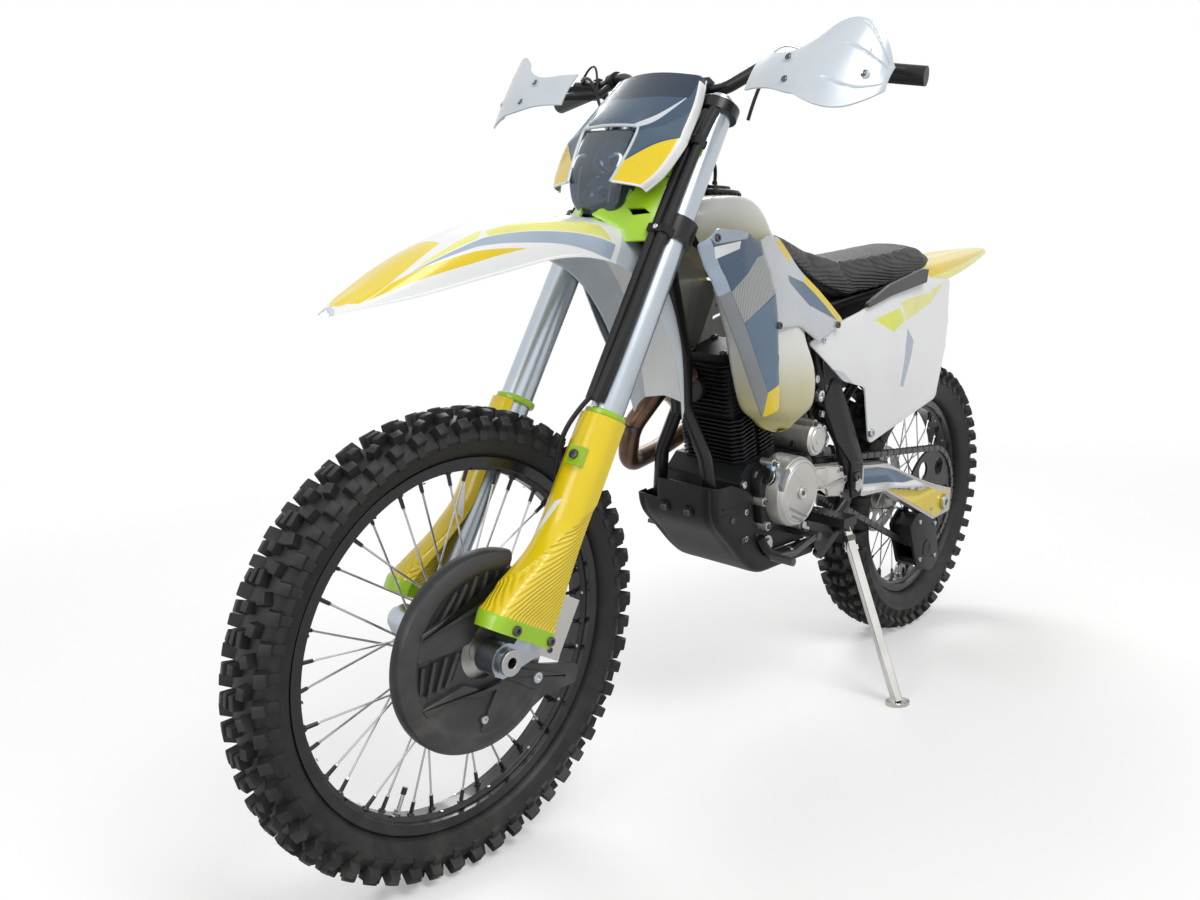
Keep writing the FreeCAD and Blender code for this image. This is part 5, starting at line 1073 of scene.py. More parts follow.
def fender_crease(u, v):
    """Two raised folds run back from the nose, and the edge turns out in a thin lip."""
    fold = math.exp(-((abs(u - 0.5) - 0.24) / 0.02) ** 2) * min(v / 0.1, 1.0) * 1.2
    lip = max(0.0, (abs(u - 0.5) - 0.485) / 0.015)
    return Vector((0, (1 if u > 0.5 else -1) * 2.0 * lip, fold))


stations = [fender_station(*row) for row in FENDER_FORM]
arrow = [([(0.5, 0.015), (0.86, 0.085), (0.76, 0.15), (0.60, 0.243), (0.5, 0.243)], 1)]
stripes = [([(0.77, 0.15), (0.826, 0.285), (0.896, 0.285), (0.86, 0.10)], 2),
           ([(0.826, 0.285), (0.895, 0.37), (0.896, 0.285)], 2),
           ([(0.78, 0.172), (0.755, 0.293), (0.80, 0.285)], 3),
           ([(0.755, 0.293), (0.885, 0.555), (1.0, 0.555), (0.80, 0.285)], 3),
           ([(0.775, 0.18), (0.68, 0.262), (0.66, 0.30), (0.745, 0.285)], 4),
           ([(0.69, 0.30), (0.70, 0.41), (0.76, 0.51), (0.87, 0.545), (0.755, 0.30)], 4),
           ([(0.74, 0.57), (1.0, 0.57), (1.0, 1.0), (0.74, 1.0)], 5)]
tip = [([(0, 0), (1, 0), (1, 0.02), (0, 0.02)], 5)]
bm = skin(stations, 64, 110, both_sides(arrow + stripes) + tip, fender_crease)
thicken(bm, (0, 0, -3.0))
for a in (60, -20):
    for y in (-22, 22):
        add_bolt(bm, (a, y, 681 if a > 0 else 668), (0, 0, 1), 6, 6)
add_piece("front_mudguard", bm, FORK, "steering",
          [WHITE_PLASTIC, ORANGE_YELLOW, YELLOW, PALE_BLUE, LIGHT_YELLOW, PALE_WHITE_AND_PAINTED_LIGHT, ZINC],
          ["front_fender"], bevel=0.6)

# %% [markdown]
# The mask is a skin with a window for the lamp. Round the window runs a pale lip, and behind it sit a
# dark bowl, two clear chambers, a light arc and two glowing strips (a painted highlight) under a smoked lens.

# %% Headlamp mask
MASK_FORM = [(735, 142, 98, 121), (768, 143, 116, 113), (822, 143, 128, 105), (850, 137, 124, 99), (910, 115, 112, 86),
             (968, 97, 94, 77)]


def mask_station(s, middle, half, edge):
    rolled = [(edge - 16, -half - 1, s), (edge - 16, half + 1, s)]
    steps = [t / 4 for t in range(-4, 5)]
    return [rolled[0]] + [(middle - (middle - edge) * t * t, half * t, s) for t in steps] + [rolled[1]]


def mask_crease(u, v):
    """The corner by the lens is drawn into a raised point."""
    near = math.exp(-((abs(u - 0.5) - 0.2) / 0.05) ** 2 - ((v - 0.54) / 0.12) ** 2)
    return Vector((4.0 * near, 0, 0))


stations = [mask_station(*row) for row in MASK_FORM]
window = [(0.3, 0), (0.7, 0), (0.7, 0.50), (0.66, 0.53), (0.34, 0.53), (0.3, 0.50)]
# The pale triangle along the crease by the lens (material 4) is a painted highlight.
zones = both_sides([([(0.7, 0.22), (0.9, 0.46), (0.9, 0.0), (0.7, 0)], 2), ([(0.7, 0.5), (0.66, 0.545), (0.86, 0.84)], 4),
                    ([(0.74, 0.50), (0.84, 0.72), (0.9, 0.80), (0.9, 0.48), (0.7, 0.24), (0.7, 0.44)], 5),
                    ([(0.9, 0), (1, 0), (1, 1), (0.9, 1)], 1)])
zones += [([(0, 0.95), (0, 1), (1, 1), (1, 0.95)], 3), ([(0.14, 0.82), (0.5, 0.78), (0.86, 0.82), (0.9, 0.95), (0.1, 0.95)], 3),
          ([(0.1, 0), (0.9, 0), (0.9, 0.03), (0.1, 0.03)], 1), (window, 6)]
bm = skin(stations, 60, 60, zones, mask_crease)
bmesh.ops.delete(bm, geom=[f for f in bm.faces if f.material_index == 6], context="FACES")
thicken(bm, (-3.5, 0, 0))


def on_skin(stations, u, v):
    stations = [[Vector(p) for p in station] for station in stations]
    return spline_at([spline_at(station, u) for station in stations], v)


lip = [(0.3, 0.0), (0.3, 0.25), (0.3, 0.47), (0.31, 0.515), (0.34, 0.53), (0.5, 0.53), (0.66, 0.53), (0.69, 0.515),
       (0.7, 0.47), (0.7, 0.25), (0.7, 0.0)]
add_sweep(bm, [on_skin(stations, u, v) + mask_crease(u, v) * 0.6 + Vector((-0.5, 0, 0)) for u, v in lip], 2.8, 12, 4)
for side in (1, 0):
    edge = [on_skin(stations, side, v) for v in (0, 0.1, 0.2, 0.3, 0.4, 0.6, 0.8, 1.0)]
    add_sweep(bm, edge, 1.8, 8, 1)
add_piece("lamp_mask", bm, FORK, "steering", [SLATE, WHITE_PLASTIC, YELLOW, DEEP_SLATE, PALE_WHITE_AND_PAINTED_LIGHT, MID_SLATE, SLATE],
          ["headlamp_mask"], bevel=0.5)

# %% Headlamp
LAMP_ROWS = ((694, 78, 103, 33), (712, 78, 119, 50), (748, 78, 136, 57), (790, 78, 138.5, 57), (829, 78, 137, 57))


def lamp_station(s, back, front, half, rim):
    """A row of the lens: flat in front, with a rounded corner that runs back."""
    right = [(back, -half), (front - 16, -half), (front - 6, -half + 3), (front - 1.5, -half + 10)]
    return [(a, y, s) for a, y in right] + [(front + rim, 0, s)] + [(a, -y, s) for a, y in reversed(right)]


stations = [lamp_station(*row, 1.5) for row in LAMP_ROWS]
lens = skin(stations, 40, 36)
bmesh.ops.reverse_faces(lens, faces=lens.faces[:])
thicken(lens, (-1.6, 0, 0))
add_piece("lamp_lens", lens, FORK, "steering", [SMOKED_LENS], ["headlamp"])
bm = bmesh.new()
add_box(bm, (76, -58, 744), (84, 58, 834))
add_box(bm, (76, -46, 712), (84, 46, 744))
add_box(bm, (76, -30, 690), (98, 30, 700))
for y in (-58, 55):
    add_box(bm, (78, y, 744), (124, y + 3, 834))
add_box(bm, (78, -58, 831), (134, 58, 834))
reflector = [(4, 0), (16, 1.5), (26, 6), (33, 14), (37, 26), (39.5, 26), (35, 12), (27, 3.5), (16, -1), (4, -2)]
for height, scale in ((794, 0.9), (736, 0.78)):
    bowl = as_mesh(turned(reflector, 48, closed=True))
    turn = Matrix.Translation((92, 0, height)) @ Matrix.Rotation(-math.pi / 2, 4, "Z") @ Matrix.Scale(scale, 4)
    add_copy(bm, bowl, turn, 1)
    bmesh.ops.create_uvsphere(bm, u_segments=24, v_segments=16, radius=11 * scale,
                              matrix=Matrix.Translation((98, 0, height)))
arc = [(38, 786), (47, 786), (55, 784), (59, 776), (59, 762)]
for side in (1, -1):
    add_sweep(bm, [(134, side * y * 0.88, s) for y, s in arc], 3.6, 12, 2)
    # The glowing strip down each side of the lens is a painted highlight.
    add_sweep(bm, [(128, side * 40, 770), (126, side * 39, 740), (112, side * 34, 712)], 1.6, 8, 2)
add_piece("lamp_bowl", bm, FORK, "steering", [DEEP_SLATE, POLISHED, LAMP_LIGHT_AND_PAINTED_HIGHLIGHT], bevel=0.8)

# %% [markdown]
# The bracket under the mask is one folded sheet. Its outline is drawn flat in left and up, with a slot,
# and then pushed out to the folded plane.

# %% Headlamp bracket
def swap_axes(bm):
    """Takes a panel drawn as (left, ahead, up) to (ahead, left, up)."""
    swap = Matrix(((0, 1, 0, 0), (1, 0, 0, 0), (0, 0, 1, 0), (0, 0, 0, 1)))
    bmesh.ops.transform(bm, matrix=swap, verts=bm.verts)
    bmesh.ops.reverse_faces(bm, faces=bm.faces[:])


def bracket_depth(y, s):
    out = 57 + (112 - y) * 0.62
    fold = min(max((y - 92) / 14, 0.0), 1.0) * 5.0
    swell = 3.0 * math.exp(-((s - 700) / 26) ** 2) * math.exp(-((y - 78) / 30) ** 2)
    return out - fold + swell


middle = [(12, 686), (37, 680), (62, 671), (67, 657), (95, 669), (118, 672), (116, 704), (108, 716), (106, 740),
          (103, 783), (80, 785), (60, 779), (58, 754), (40, 749), (43, 729)]
lobe = [(66, 790), (80, 793), (106, 797), (110, 812), (121, 819), (125, 848), (121, 872), (96, 880), (66, 876)]
slot = [(92, 715), (81, 721), (60, 713), (70, 703)]
bm = bmesh.new()
for outline, zones in ((middle, [(slot, 1)]), (lobe, [])):
    panel = bowed(outline, bracket_depth, 4.0, 4.0, 7.0, zones)
    bmesh.ops.delete(panel, geom=[f for f in panel.faces if f.material_index == 1], context="FACES")
    swap_axes(panel)
    add_copy(bm, as_mesh(panel), Matrix(), 0)
add_box(bm, (66, 88, 786), (72, 100, 798))
for y, s in ((107, 855), (117, 857)):
    out = bracket_depth(y, s)
    add_rod(bm, (out - 2, y, s), (out + 0.6, y, s), 2.6 if y < 110 else 1.8, 16, material=1)
add_rod(bm, (bracket_depth(90, 845) - 1, 90, 845), (bracket_depth(90, 845) + 1, 90, 845), 4, 16, material=1)
mirror_too(bm)
add_box(bm, (60, -40, 686), (100, 40, 690))
add_piece("lamp_bracket", bm, FORK, "steering", [GREEN, SOFT_BLACK], ["headlamp_bracket"], bevel=0.7)

# %% [markdown]
# ## Bars and handguards
# The guards are pearl shells with two pressed lines and four bolts. Levers, hoses and clamps are black.

# %% Handguards
HANDGUARD_FORM = [(210, 86, 961, 71), (240, 95, 956, 70), (268, 101, 950, 70), (296, 104, 947, 82), (318, 104, 953, 106),
                  (337, 102, 965, 136), (356, 98, 967, 154), (375, 90, 964, 158), (392, 79, 960, 149), (407, 66, 958, 126),
                  (419, 54, 960, 94), (427, 43, 963, 62), (430, 37, 964, 46)]


def handguard_station(y, a, s, height):
    ups = [t / 4 for t in range(-4, 5)]
    lean = 0.2 * max(height - 70, 0)
    return [(a - 3 * up * up - 0.07 * height * up, y + lean * up, s + height / 2 * up) for up in ups]


def handguard_crease(u, v):
    groove = 0.0
    for middle, slope in ((0.90, -0.35), (0.70, 0.10), (0.26, -0.10)):
        groove += math.exp(-((u - middle - slope * (v - 0.72)) / 0.012) ** 2)
    reach = min(max((v - 0.5) / 0.08, 0.0), 1.0) * min(max((0.95 - v) / 0.06, 0.0), 1.0)
    return Vector((-2.6 * groove * reach, 0, 0))


stations = [handguard_station(*row) for row in HANDGUARD_FORM]
bm = skin(stations, 90, 100, (), handguard_crease)
bmesh.ops.reverse_faces(bm, faces=bm.faces[:])
thicken(bm, (-3.2, 0, 0))
for a, y, s in ((104, 288, 969), (109, 300, 925), (69, 400, 993), (68, 407, 953)):
    add_bolt(bm, (a - 2, y, s), (1, 0.25, 0.1), 6.0, 1, FLAT_HEAD)
    add_rod(bm, (a - 8, y, s), (a - 1.4, y, s), 8.0, 24)
add_sweep(bm, [(-4, 203, 1035), (4, 208, 1012), (17, 213, 990), (50, 222, 966), (84, 233, 944)], 7.0, 12, 2)
clamp = Vector((-7, 212.7, 1035))
bar_way = Vector((0.298, -0.954, -0.023))
add_rod(bm, clamp, clamp + bar_way * 20, 17, 32, material=2)
add_box(bm, (-26, 200, 1026), (-12, 212, 1044), material=2)
add_bolt(bm, clamp + bar_way * 10 + Vector((-14, 0, 9)), (-0.6, 0, 0.8), 5, 1)
mirror_too(bm)
add_piece("handguard_shells", bm, FORK, "steering", [PEARL, DARK_STEEL, BLACK_PLASTIC],
          ["handguards"], bevel=0.8)

# %% [markdown]
# ## Tank, covers and tail
# From here on pieces stand with the chassis: x forward, y left, z up. Covers are bowed panels, cut from
# their side view and pushed out to a depth that is read from a few rows.

# %% Depth of a side cover


def rows_depth(rows):
    """A depth function from rows of (z, [(x, y), ...]), smooth both ways."""
    def at_row(points, x):
        points = sorted(points)
        if x <= points[0][0]:
            return points[0][1]
        for (x0, y0), (x1, y1) in zip(points, points[1:]):
            if x <= x1:
                share = (x - x0) / (x1 - x0)
                return y0 + (y1 - y0) * share
        return points[-1][1]

    def depth(x, z):
        values = [at_row(points, x) for level, points in rows]
        levels = [level for level, points in rows]
        z = min(max(z, levels[0]), levels[-1])
        for i in range(len(levels) - 1):
            if z <= levels[i + 1]:
                share = (z - levels[i]) / (levels[i + 1] - levels[i])
                share = share * share * (3 - 2 * share) * 0.5 + share * 0.5
                return values[i] + (values[i + 1] - values[i]) * share
        return values[-1]
    return depth


# %% Tank covers
SHROUD_ROWS = [(640, [(400, 164), (250, 166), (120, 168), (-140, 166)]),
               (800, [(400, 162), (250, 168), (120, 164), (-140, 142)]),
               (985, [(400, 164), (250, 152), (120, 130), (-140, 98)])]
shroud_depth = rows_depth(SHROUD_ROWS)


def from_edge(x, z, start, end):
    """The distance of a point behind a line of the side view."""
    run = Vector((end[0] - start[0], end[1] - start[1])).normalized()
    return (x - start[0]) * -run.y + (z - start[1]) * run.x


def front_depth(x, z):
    """The leading edge is turned in, and a fold runs back from it under the top field."""
    behind = abs(from_edge(x, z, (168, 648), (374, 950)))
    turned_in = max(0.0, 1 - behind / 20) * 12
    fold = min(max((z - 905 - (320 - x) * 0.16) / 12, -1), 1) * 2.2
    return shroud_depth(x, z) + 1.5 - turned_in - fold


def rear_depth(x, z):
    hollow = math.exp(-((x - 30) / 60) ** 2 - ((z - 900) / 40) ** 2) * 7
    return shroud_depth(x, z) - 2.0 - hollow


front_outline = [(374, 950), (330, 978), (232, 972), (184, 954), (162, 905), (150, 862), (150, 800), (138, 700), (136, 662),
                 (168, 648)]
# The small white quad on the top facet (material 3) is a painted highlight.
front_zones = [([(374, 950), (357, 961), (300, 876), (317, 866)], 1), ([(317, 866), (300, 876), (151, 659), (168, 648)], 2),
               ([(346, 947), (262, 958), (266, 945), (338, 928)], 3),
               ([(322, 908), (205, 930), (165, 954), (150, 870), (262, 822)], 4),
               ([(262, 822), (149, 866), (138, 706), (176, 695)], 5), ([(176, 695), (136, 708), (130, 655), (168, 640)], 6),
               ([(357, 961), (330, 978), (232, 972), (240, 962), (340, 952)], 1)]
rear_outline = [(182, 958), (150, 967), (110, 966), (-128, 806), (-20, 772), (60, 806), (146, 806), (146, 862), (160, 905)]
rear_zones = [([(8, 897), (-128, 806), (-119, 793), (17, 884)], 6), ([(17, 884), (-98, 808), (16, 842), (80, 886), (80, 898)], 5),
              ([(110, 966), (60, 932), (69, 919), (119, 953)], 6)]
bm = bmesh.new()
for outline, depth, zones, base in ((front_outline, front_depth, front_zones, 0), (rear_outline, rear_depth, rear_zones, 7)):
    panel = bowed(outline, depth, 3.2, 6.0, 9.0, zones)
    if base:
        for face in panel.faces:
            face.material_index = face.material_index or base
    add_copy(bm, as_mesh(panel), Matrix(), None)
for x, z in ((338, 962), (150, 812), (-98, 800)):
    add_bolt(bm, (x, (front_depth if x > 140 else rear_depth)(x, z), z), (0, 1, 0.1), 6.5, 8)
mirror_too(bm)
add_piece("tank_covers", bm, UPRIGHT, "chassis",
          [NAVY_SLATE, PALE_BLUE, GREY_FILM, WHITE_PLASTIC, PINSTRIPE, BLUE_SLATE, YELLOW, SILVER_FILM, DARK_STEEL],
          ["shrouds"], bevel=0.6)

# %% Tank
TANK_SECTIONS = [(275, 30, 988, 1000, 6), (268, 48, 985, 1008, 10), (222, 78, 905, 1026, 30), (135, 120, 870, 1032, 60),
                 (92, 116, 872, 1002, 54), (40, 108, 876, 962, 40), (-50, 68, 886, 922, 20)]


def tank_station(x, half, low, high, shoulder):
    left = [(half, low), (half + 2, (low + high - shoulder) / 2), (half - 2, high - shoulder), (half * 0.66, high - 3)]
    return [(x, y, z) for y, z in left] + [(x, 0, high + 1)] + [(x, -y, z) for y, z in reversed(left)]


saddle = skin([tank_station(*row) for row in TANK_SECTIONS], 40, 60)
thicken(saddle, (0, 0, -4))
LOBE_ROWS = [(604, 22, 66, 100, 122), (611, 4, 84, 92, 132), (626, -10, 100, 86, 142), (655, -30, 138, 82, 156),
             (720, -20, 168, 80, 160), (790, 10, 192, 78, 152), (870, 8, 214, 62, 138)]
lobe = skin([[(x0, y0, z), (x0 + 8, y1 - 16, z), (x0 + 36, y1, z), ((x0 + x1) / 2, y1 + 2, z), (x1 - 30, y1 - 8, z),
              (x1, y0 + 18, z), (x1 - 6, y0, z)] for z, x0, x1, y0, y1 in LOBE_ROWS], 48, 60)
bmesh.ops.reverse_faces(lobe, faces=lobe.faces[:])
bmesh.ops.holes_fill(lobe, edges=[e for e in lobe.edges if e.is_boundary], sides=0)
bmesh.ops.recalc_face_normals(lobe, faces=lobe.faces)
bm = bmesh.new()
add_copy(bm, as_mesh(lobe), Matrix())
mirror_too(bm)
add_copy(bm, as_mesh(saddle), Matrix())
add_piece("tank_shell", bm, UPRIGHT, "chassis", [TANK_PLASTIC_WITH_PAINTED_SHADE], ["fuel_tank"])

# %% Tank cap
bm = turned([(0, 0), (46, 0), (48, 2), (48, 15), (45, 19), (30, 21), (28, 26), (12, 28), (0, 28)], 64)
for i in range(28):
    out = Vector((math.cos(i * math.pi / 14), 0, math.sin(i * math.pi / 14)))
    add_rod(bm, out * 47.5 + Vector((0, 3, 0)), out * 47.5 + Vector((0, 15, 0)), 2.4, 8)
add_box(bm, (-34, 20, -7), (34, 27, 7))
cap_turn = Matrix.Translation((135, 0, 1026)) @ Matrix.Rotation(math.pi / 2, 4, "X")
bmesh.ops.transform(bm, matrix=cap_turn, verts=bm.verts)
add_rod(bm, (135, 0, 1052), (135, 0, 1060), 5, 16, material=1)
add_sweep(bm, [(135, 0, 1058), (136, 2, 1082), (160, 10, 1098), (196, 16, 1092), (214, 18, 1066)], 3.6, 12, 1)
add_piece("tank_cap", bm, UPRIGHT, "chassis", [BLACK_PLASTIC, SOFT_BLACK], ["fuel_cap"], bevel=0.5)

# %% Side panels
PANEL_ROWS = [(530, [(10, 132), (-350, 130), (-700, 112)]), (720, [(10, 140), (-350, 142), (-700, 116)]),
              (900, [(10, 132), (-350, 128), (-700, 104)])]
panel_rows_depth = rows_depth(PANEL_ROWS)


def panel_depth(x, z):
    """A fold falls from the seat's dip to the lower corner, and the top edge rolls in."""
    fold = from_edge(x, z, (-300, 540), (-200, 830))
    rolled = max(0.0, (z - 780 - (-10 - x) * 0.16) / 40) * 4
    return panel_rows_depth(x, z) + 1.0 - min(abs(fold), 60) * 0.04 - rolled


outline = [(-10, 768), (-124, 802), (-330, 850), (-560, 884), (-690, 880), (-672, 760), (-632, 602), (-290, 538), (-240, 664),
           (-150, 684)]
bars = [([(-265, 802), (-352, 773), (-414, 794), (-385, 824)], 1), ([(-392, 834), (-423, 794), (-571, 830), (-571, 852),
        (-432, 841)], 2), ([(-574, 856), (-574, 832), (-627, 862), (-634, 872)], 2)]
dart = [([(-429, 777), (-462, 748), (-418, 742)], 3), ([(-462, 748), (-457, 729), (-427, 647), (-410, 652), (-418, 742)], 3)]
shade = [([(-10, 768), (-150, 684), (-240, 664), (-232, 682), (-146, 702), (-30, 770)], 4)]
bm = bowed(outline, panel_depth, 3.2, 12.0, 14.0, bars + dart + shade)
for x, z in ((-289, 562), (-60, 772)):
    add_bolt(bm, (x, panel_depth(x, z) - 0.4, z), (0, 1, 0), 9.5 if z < 600 else 6.5, 5)
add_rod(bm, (-565, 66, 842), (-565, 112, 842), 12, 24)
mirror_too(bm)
side_panels_piece = add_piece("number_panels", bm, UPRIGHT, "chassis",
                              [WHITE_PLASTIC, LIME_YELLOW, LIGHT_YELLOW, PALE_BLUE, PALE_WHITE_AND_PAINTED_LIGHT, BRIGHT_ALLOY],
                              ["side_panels"], bevel=0.5)

# %% Tail
TAIL_FORM = [(-592, 898, 92, 30), (-660, 910, 96, 34), (-800, 926, 84, 26), (-940, 940, 60, 16), (-1060, 950, 30, 8),
             (-1082, 950, 12, 5)]
stations = [[(x, -half, z - drop), (x, -0.92 * half, z - 0.55 * drop), (x, -0.74 * half, z - 1), (x, -0.3 * half, z),
             (x, 0, z + 1), (x, 0.3 * half, z), (x, 0.74 * half, z - 1), (x, 0.92 * half, z - 0.55 * drop),
             (x, half, z - drop)] for x, z, half, drop in TAIL_FORM]
zones = both_sides([([(0.56, 0.08), (0.88, 0.08), (0.88, 1.0), (0.56, 1.0)], 1), ([(0.88, 0.1), (1, 0.02), (1, 1), (0.88, 1)], 2),
                    ([(0.5, 0.3), (0.56, 0.3), (0.56, 1), (0.5, 1)], 2)])
bm = skin(stations, 48, 60, zones)
thicken(bm, (0, 0, -3))
add_piece("tail_skin", bm, UPRIGHT, "chassis", [WHITE_PLASTIC, YELLOW, LIGHT_YELLOW], ["rear_fender"],
          bevel=0.5)

# %% [markdown]
# ## The seat
# A cover that is stretched over foam is hard to draw, so it is simulated. A slightly smaller copy of the
# seat is remeshed finely, swells under a little pressure as cloth for some frames, and is held within a
# few millimetres. The ribbed cover comes after that.

# %% Seat
SEAT_GROWTH = 0.006


def swollen(source):
    """Cloth swells a copy of a closed mesh, and no point moves further than the limit."""
    pad = bpy.data.objects.new("pad_form", source)
    bpy.context.scene.collection.objects.link(pad)
    remesh = pad.modifiers.new("even_cells", "REMESH")
    remesh.mode = "VOXEL"
    remesh.voxel_size = 0.0055
    soften = pad.modifiers.new("soften", "SMOOTH")
    soften.factor = 0.5
    soften.iterations = 6
    pad.data = evaluated_mesh(pad)
    pad.modifiers.clear()
    start = [v.co.copy() for v in pad.data.vertices]
    cloth = pad.modifiers.new("cloth", "CLOTH")
    cloth.settings.use_pressure = True
    cloth.settings.uniform_pressure_force = 4.0
    cloth.settings.effector_weights.gravity = 0.0
    for step in range(1, 21):
        bpy.context.scene.frame_set(step)
    grown = evaluated_mesh(pad)
    bpy.context.scene.frame_set(1)
    for vert, was in zip(grown.vertices, start):
        move = vert.co - was
        if move.length > SEAT_GROWTH:
            vert.co = was + move.normalized() * SEAT_GROWTH
    bpy.data.objects.remove(pad)
    return grown


def evaluated_mesh(piece):
    depsgraph = bpy.context.evaluated_depsgraph_get()
    depsgraph.update()
    return bpy.data.meshes.new_from_object(piece.evaluated_get(depsgraph))


bm = solid_copy("seat")
bmesh.ops.triangulate(bm, faces=bm.faces)
start_mesh = as_mesh(bm)
smaller = bmesh.new()
smaller.from_mesh(start_mesh)
for vert in smaller.verts:
    vert.co -= vert.normal * 0.003
bm = bmesh.new()
bm.from_mesh(swollen(as_mesh(smaller)))
bmesh.ops.transform(bm, matrix=Matrix.Scale(1 / MM, 4), verts=bm.verts)
seat_piece = add_piece("seat_pad", bm, Matrix.Scale(MM, 4), "chassis", [SEAT_COVER], ["seat"],
                       sharp=math.radians(60))
finer = seat_piece.modifiers.new("finer", "SUBSURF")
finer.levels = finer.render_levels = 1


# %% [markdown]
# ## The engine
# Black castings carry thin fins, and three silver covers sit on the left: the round one over the
# crankshaft, the faceted one over the drive sprocket, and the starter between them.

# %% Finned cylinder
BARREL = UPRIGHT @ Matrix.Translation((36, 0, 540.3)) @ Matrix.Rotation(math.radians(15), 4, "Y")


def fin_outline(half_length, half_width, notch):
    """A fin seen along the cylinder: a square with notched corners and a slit in each side."""
    quarter = [(half_length, 6), (half_length, half_width - notch), (half_length - notch * 0.6, half_width - notch * 0.6),
               (half_length - notch, half_width), (6, half_width), (4, half_width - notch * 0.8)]
    right = quarter + [(-x, y) for x, y in reversed(quarter)]
    return right + [(-x, -y) for x, y in right]


def fin_template(half_length, half_width, notch, thick):
    bm = bmesh.new()
    corners = [bm.verts.new((x, y, -thick / 2)) for x, y in fin_outline(half_length, half_width, notch)]
    face = bm.faces.new(corners)
    made = bmesh.ops.extrude_face_region(bm, geom=[face])
    bmesh.ops.translate(bm, vec=(0, 0, thick), verts=kept(made, bmesh.types.BMVert))
    bmesh.ops.recalc_face_normals(bm, faces=bm.faces)
    return as_mesh(bm)


FIN_STEP = 8.2
low_fin = fin_template(66, 70, 14, 3.0)
high_fin = fin_template(61, 60, 12, 3.0)
bm = bmesh.new()
add_box(bm, (-54, -58, -12), (54, 58, 200))
for i in range(12):
    add_copy(bm, low_fin, Matrix.Translation((0, 0, 8 + i * FIN_STEP)))
for i in range(12):
    add_copy(bm, high_fin, Matrix.Translation((0, 0, 110 + i * 8.6)))
for x in (-34, 34):
    for side in (1, -1):
        add_rod(bm, (x, side * 58.5, 0), (x, side * 58.5, 100), 8, 12)
add_box(bm, (-46, -45, 198), (46, 45, 222))
add_box(bm, (-60, -63, -10), (60, 63, 3))
for x in (-36, 36):
    for y in (-36, 36):
        add_bolt(bm, (x, y, 222), (0, 0, 1), 7, 1)
for side in (1, -1):
    add_rod(bm, (10, side * 45, 168), (10, side * 60.5, 168), 15, 20, material=1)
    add_rod(bm, (-24, side * 45, 150), (-24, side * 60, 150), 8, 16, material=1)
add_rod(bm, (58, -20, 160), (74, -20, 160), 27, 24, material=1)
add_piece("finned_barrel", bm, BARREL, "chassis", [BLACK_CAST, DARK_STEEL], ["engine_barrel"],
          bevel=0.5)

# %% [markdown]
# The crankcase is black, with the ribs, ring and coupling of the water pump's pipe on the left.

# %% Crankcase
bm = solid_copy("engine_case")
bmesh.ops.transform(bm, matrix=UPRIGHT.inverted(), verts=bm.verts)
for x, z, radius in ((116, 506, 7), (104, 452, 6), (60, 524, 6), (-112, 520, 6), (100, 400, 6)):
    add_rod(bm, (x, 60, z), (x, 90, z), radius + 4, 20)
    add_bolt(bm, (x, 90, z), (0, 1, 0), radius, 1)
add_rod(bm, (52, 84, 508), (52, 87, 508), 33, 40)
add_rod(bm, (52, 84, 508), (52, 90, 508), 24, 40, material=2)
add_plate(bm, [(126, 470), (126, 480), (90, 480), (90, 470)], 80, 92, 2, 1)
for z in (438, 424, 410):
    add_rod(bm, (112, 84, z), (66, 86, z), 2.4, 10)
add_rod(bm, (14, 60, 372), (14, 86, 372), 17, 24, material=1)
add_rod(bm, (14, 84, 372), (14, 91, 372), 12, 6, material=1)
add_rod(bm, (60, 50, 388), (60, 84, 388), 13, 24, material=2)
for y in (-60, 60):
    add_rod(bm, (-150, y, 520), (-150, y, 548), 9, 16, material=1)
case_piece = add_piece("crank_case", bm, UPRIGHT, "chassis", [BLACK_CAST, STEEL, CAST_SILVER],
                       ["engine_case"], bevel=1.2)

# %% Left covers
CRANK_AT = (-4, 482)


def crank_ring(profile, steps=96):
    """A turned form about the crankshaft, with its axis to the left."""
    bm = turned(profile, steps)
    bmesh.ops.translate(bm, vec=(CRANK_AT[0], 0, CRANK_AT[1]), verts=bm.verts)
    return as_mesh(bm)


bm = bmesh.new()
add_copy(bm, crank_ring([(0, 84.5), (68, 84.5), (68, 126), (67, 133), (62, 138.5), (58, 140.5), (56, 143.5), (0, 145.2)]), Matrix())
add_copy(bm, crank_ring([(56.2, 141), (58, 143.4), (61.5, 143.4), (65, 138), (66, 134), (60, 136)]), Matrix())
add_plate(bm, [(84, 500), (60, 536), (-40, 536), (-100, 536), (-124, 470), (-60, 412), (60, 412)], 84.5, 106, 14, 4, 1)
add_copy(bm, crank_ring([(0, 145), (12.5, 145), (12.5, 149), (10.5, 150), (8.5, 148.6), (0, 148.6)], 40), Matrix())
add_rod(bm, (CRANK_AT[0], 148, CRANK_AT[1]), (CRANK_AT[0], 150, CRANK_AT[1]), 5.0, 6, material=2)
for start, end in (((34, 458), (-26, 432)), ((26, 442), (-18, 424))):
    way = Vector((end[0] - start[0], 0, end[1] - start[1])).normalized()
    side = Vector((way.z, 0, -way.x)) * 2.2
    outline = [(start[0] + side.x, start[1] + side.z), (end[0] + side.x, end[1] + side.z),
               (end[0] - side.x, end[1] - side.z), (start[0] - side.x, start[1] - side.z)]
    add_plate(bm, outline, 143, 146.4, 1.5, 0.6, 3)
add_plate(bm, [(40, 506), (60, 492), (66, 504), (52, 528), (40, 534), (34, 524)], 134, 142.6, 2, 1, 3)
for x, z in ((50, 540), (-64, 518), (-80, 500), (-72, 448), (-50, 420), (56, 420), (74, 470)):
    add_rod(bm, (x, 84.5, z), (x, 113, z), 8.5, 24)
    add_bolt(bm, (x, 113, z), (0, 1, 0), 5.0, 2)
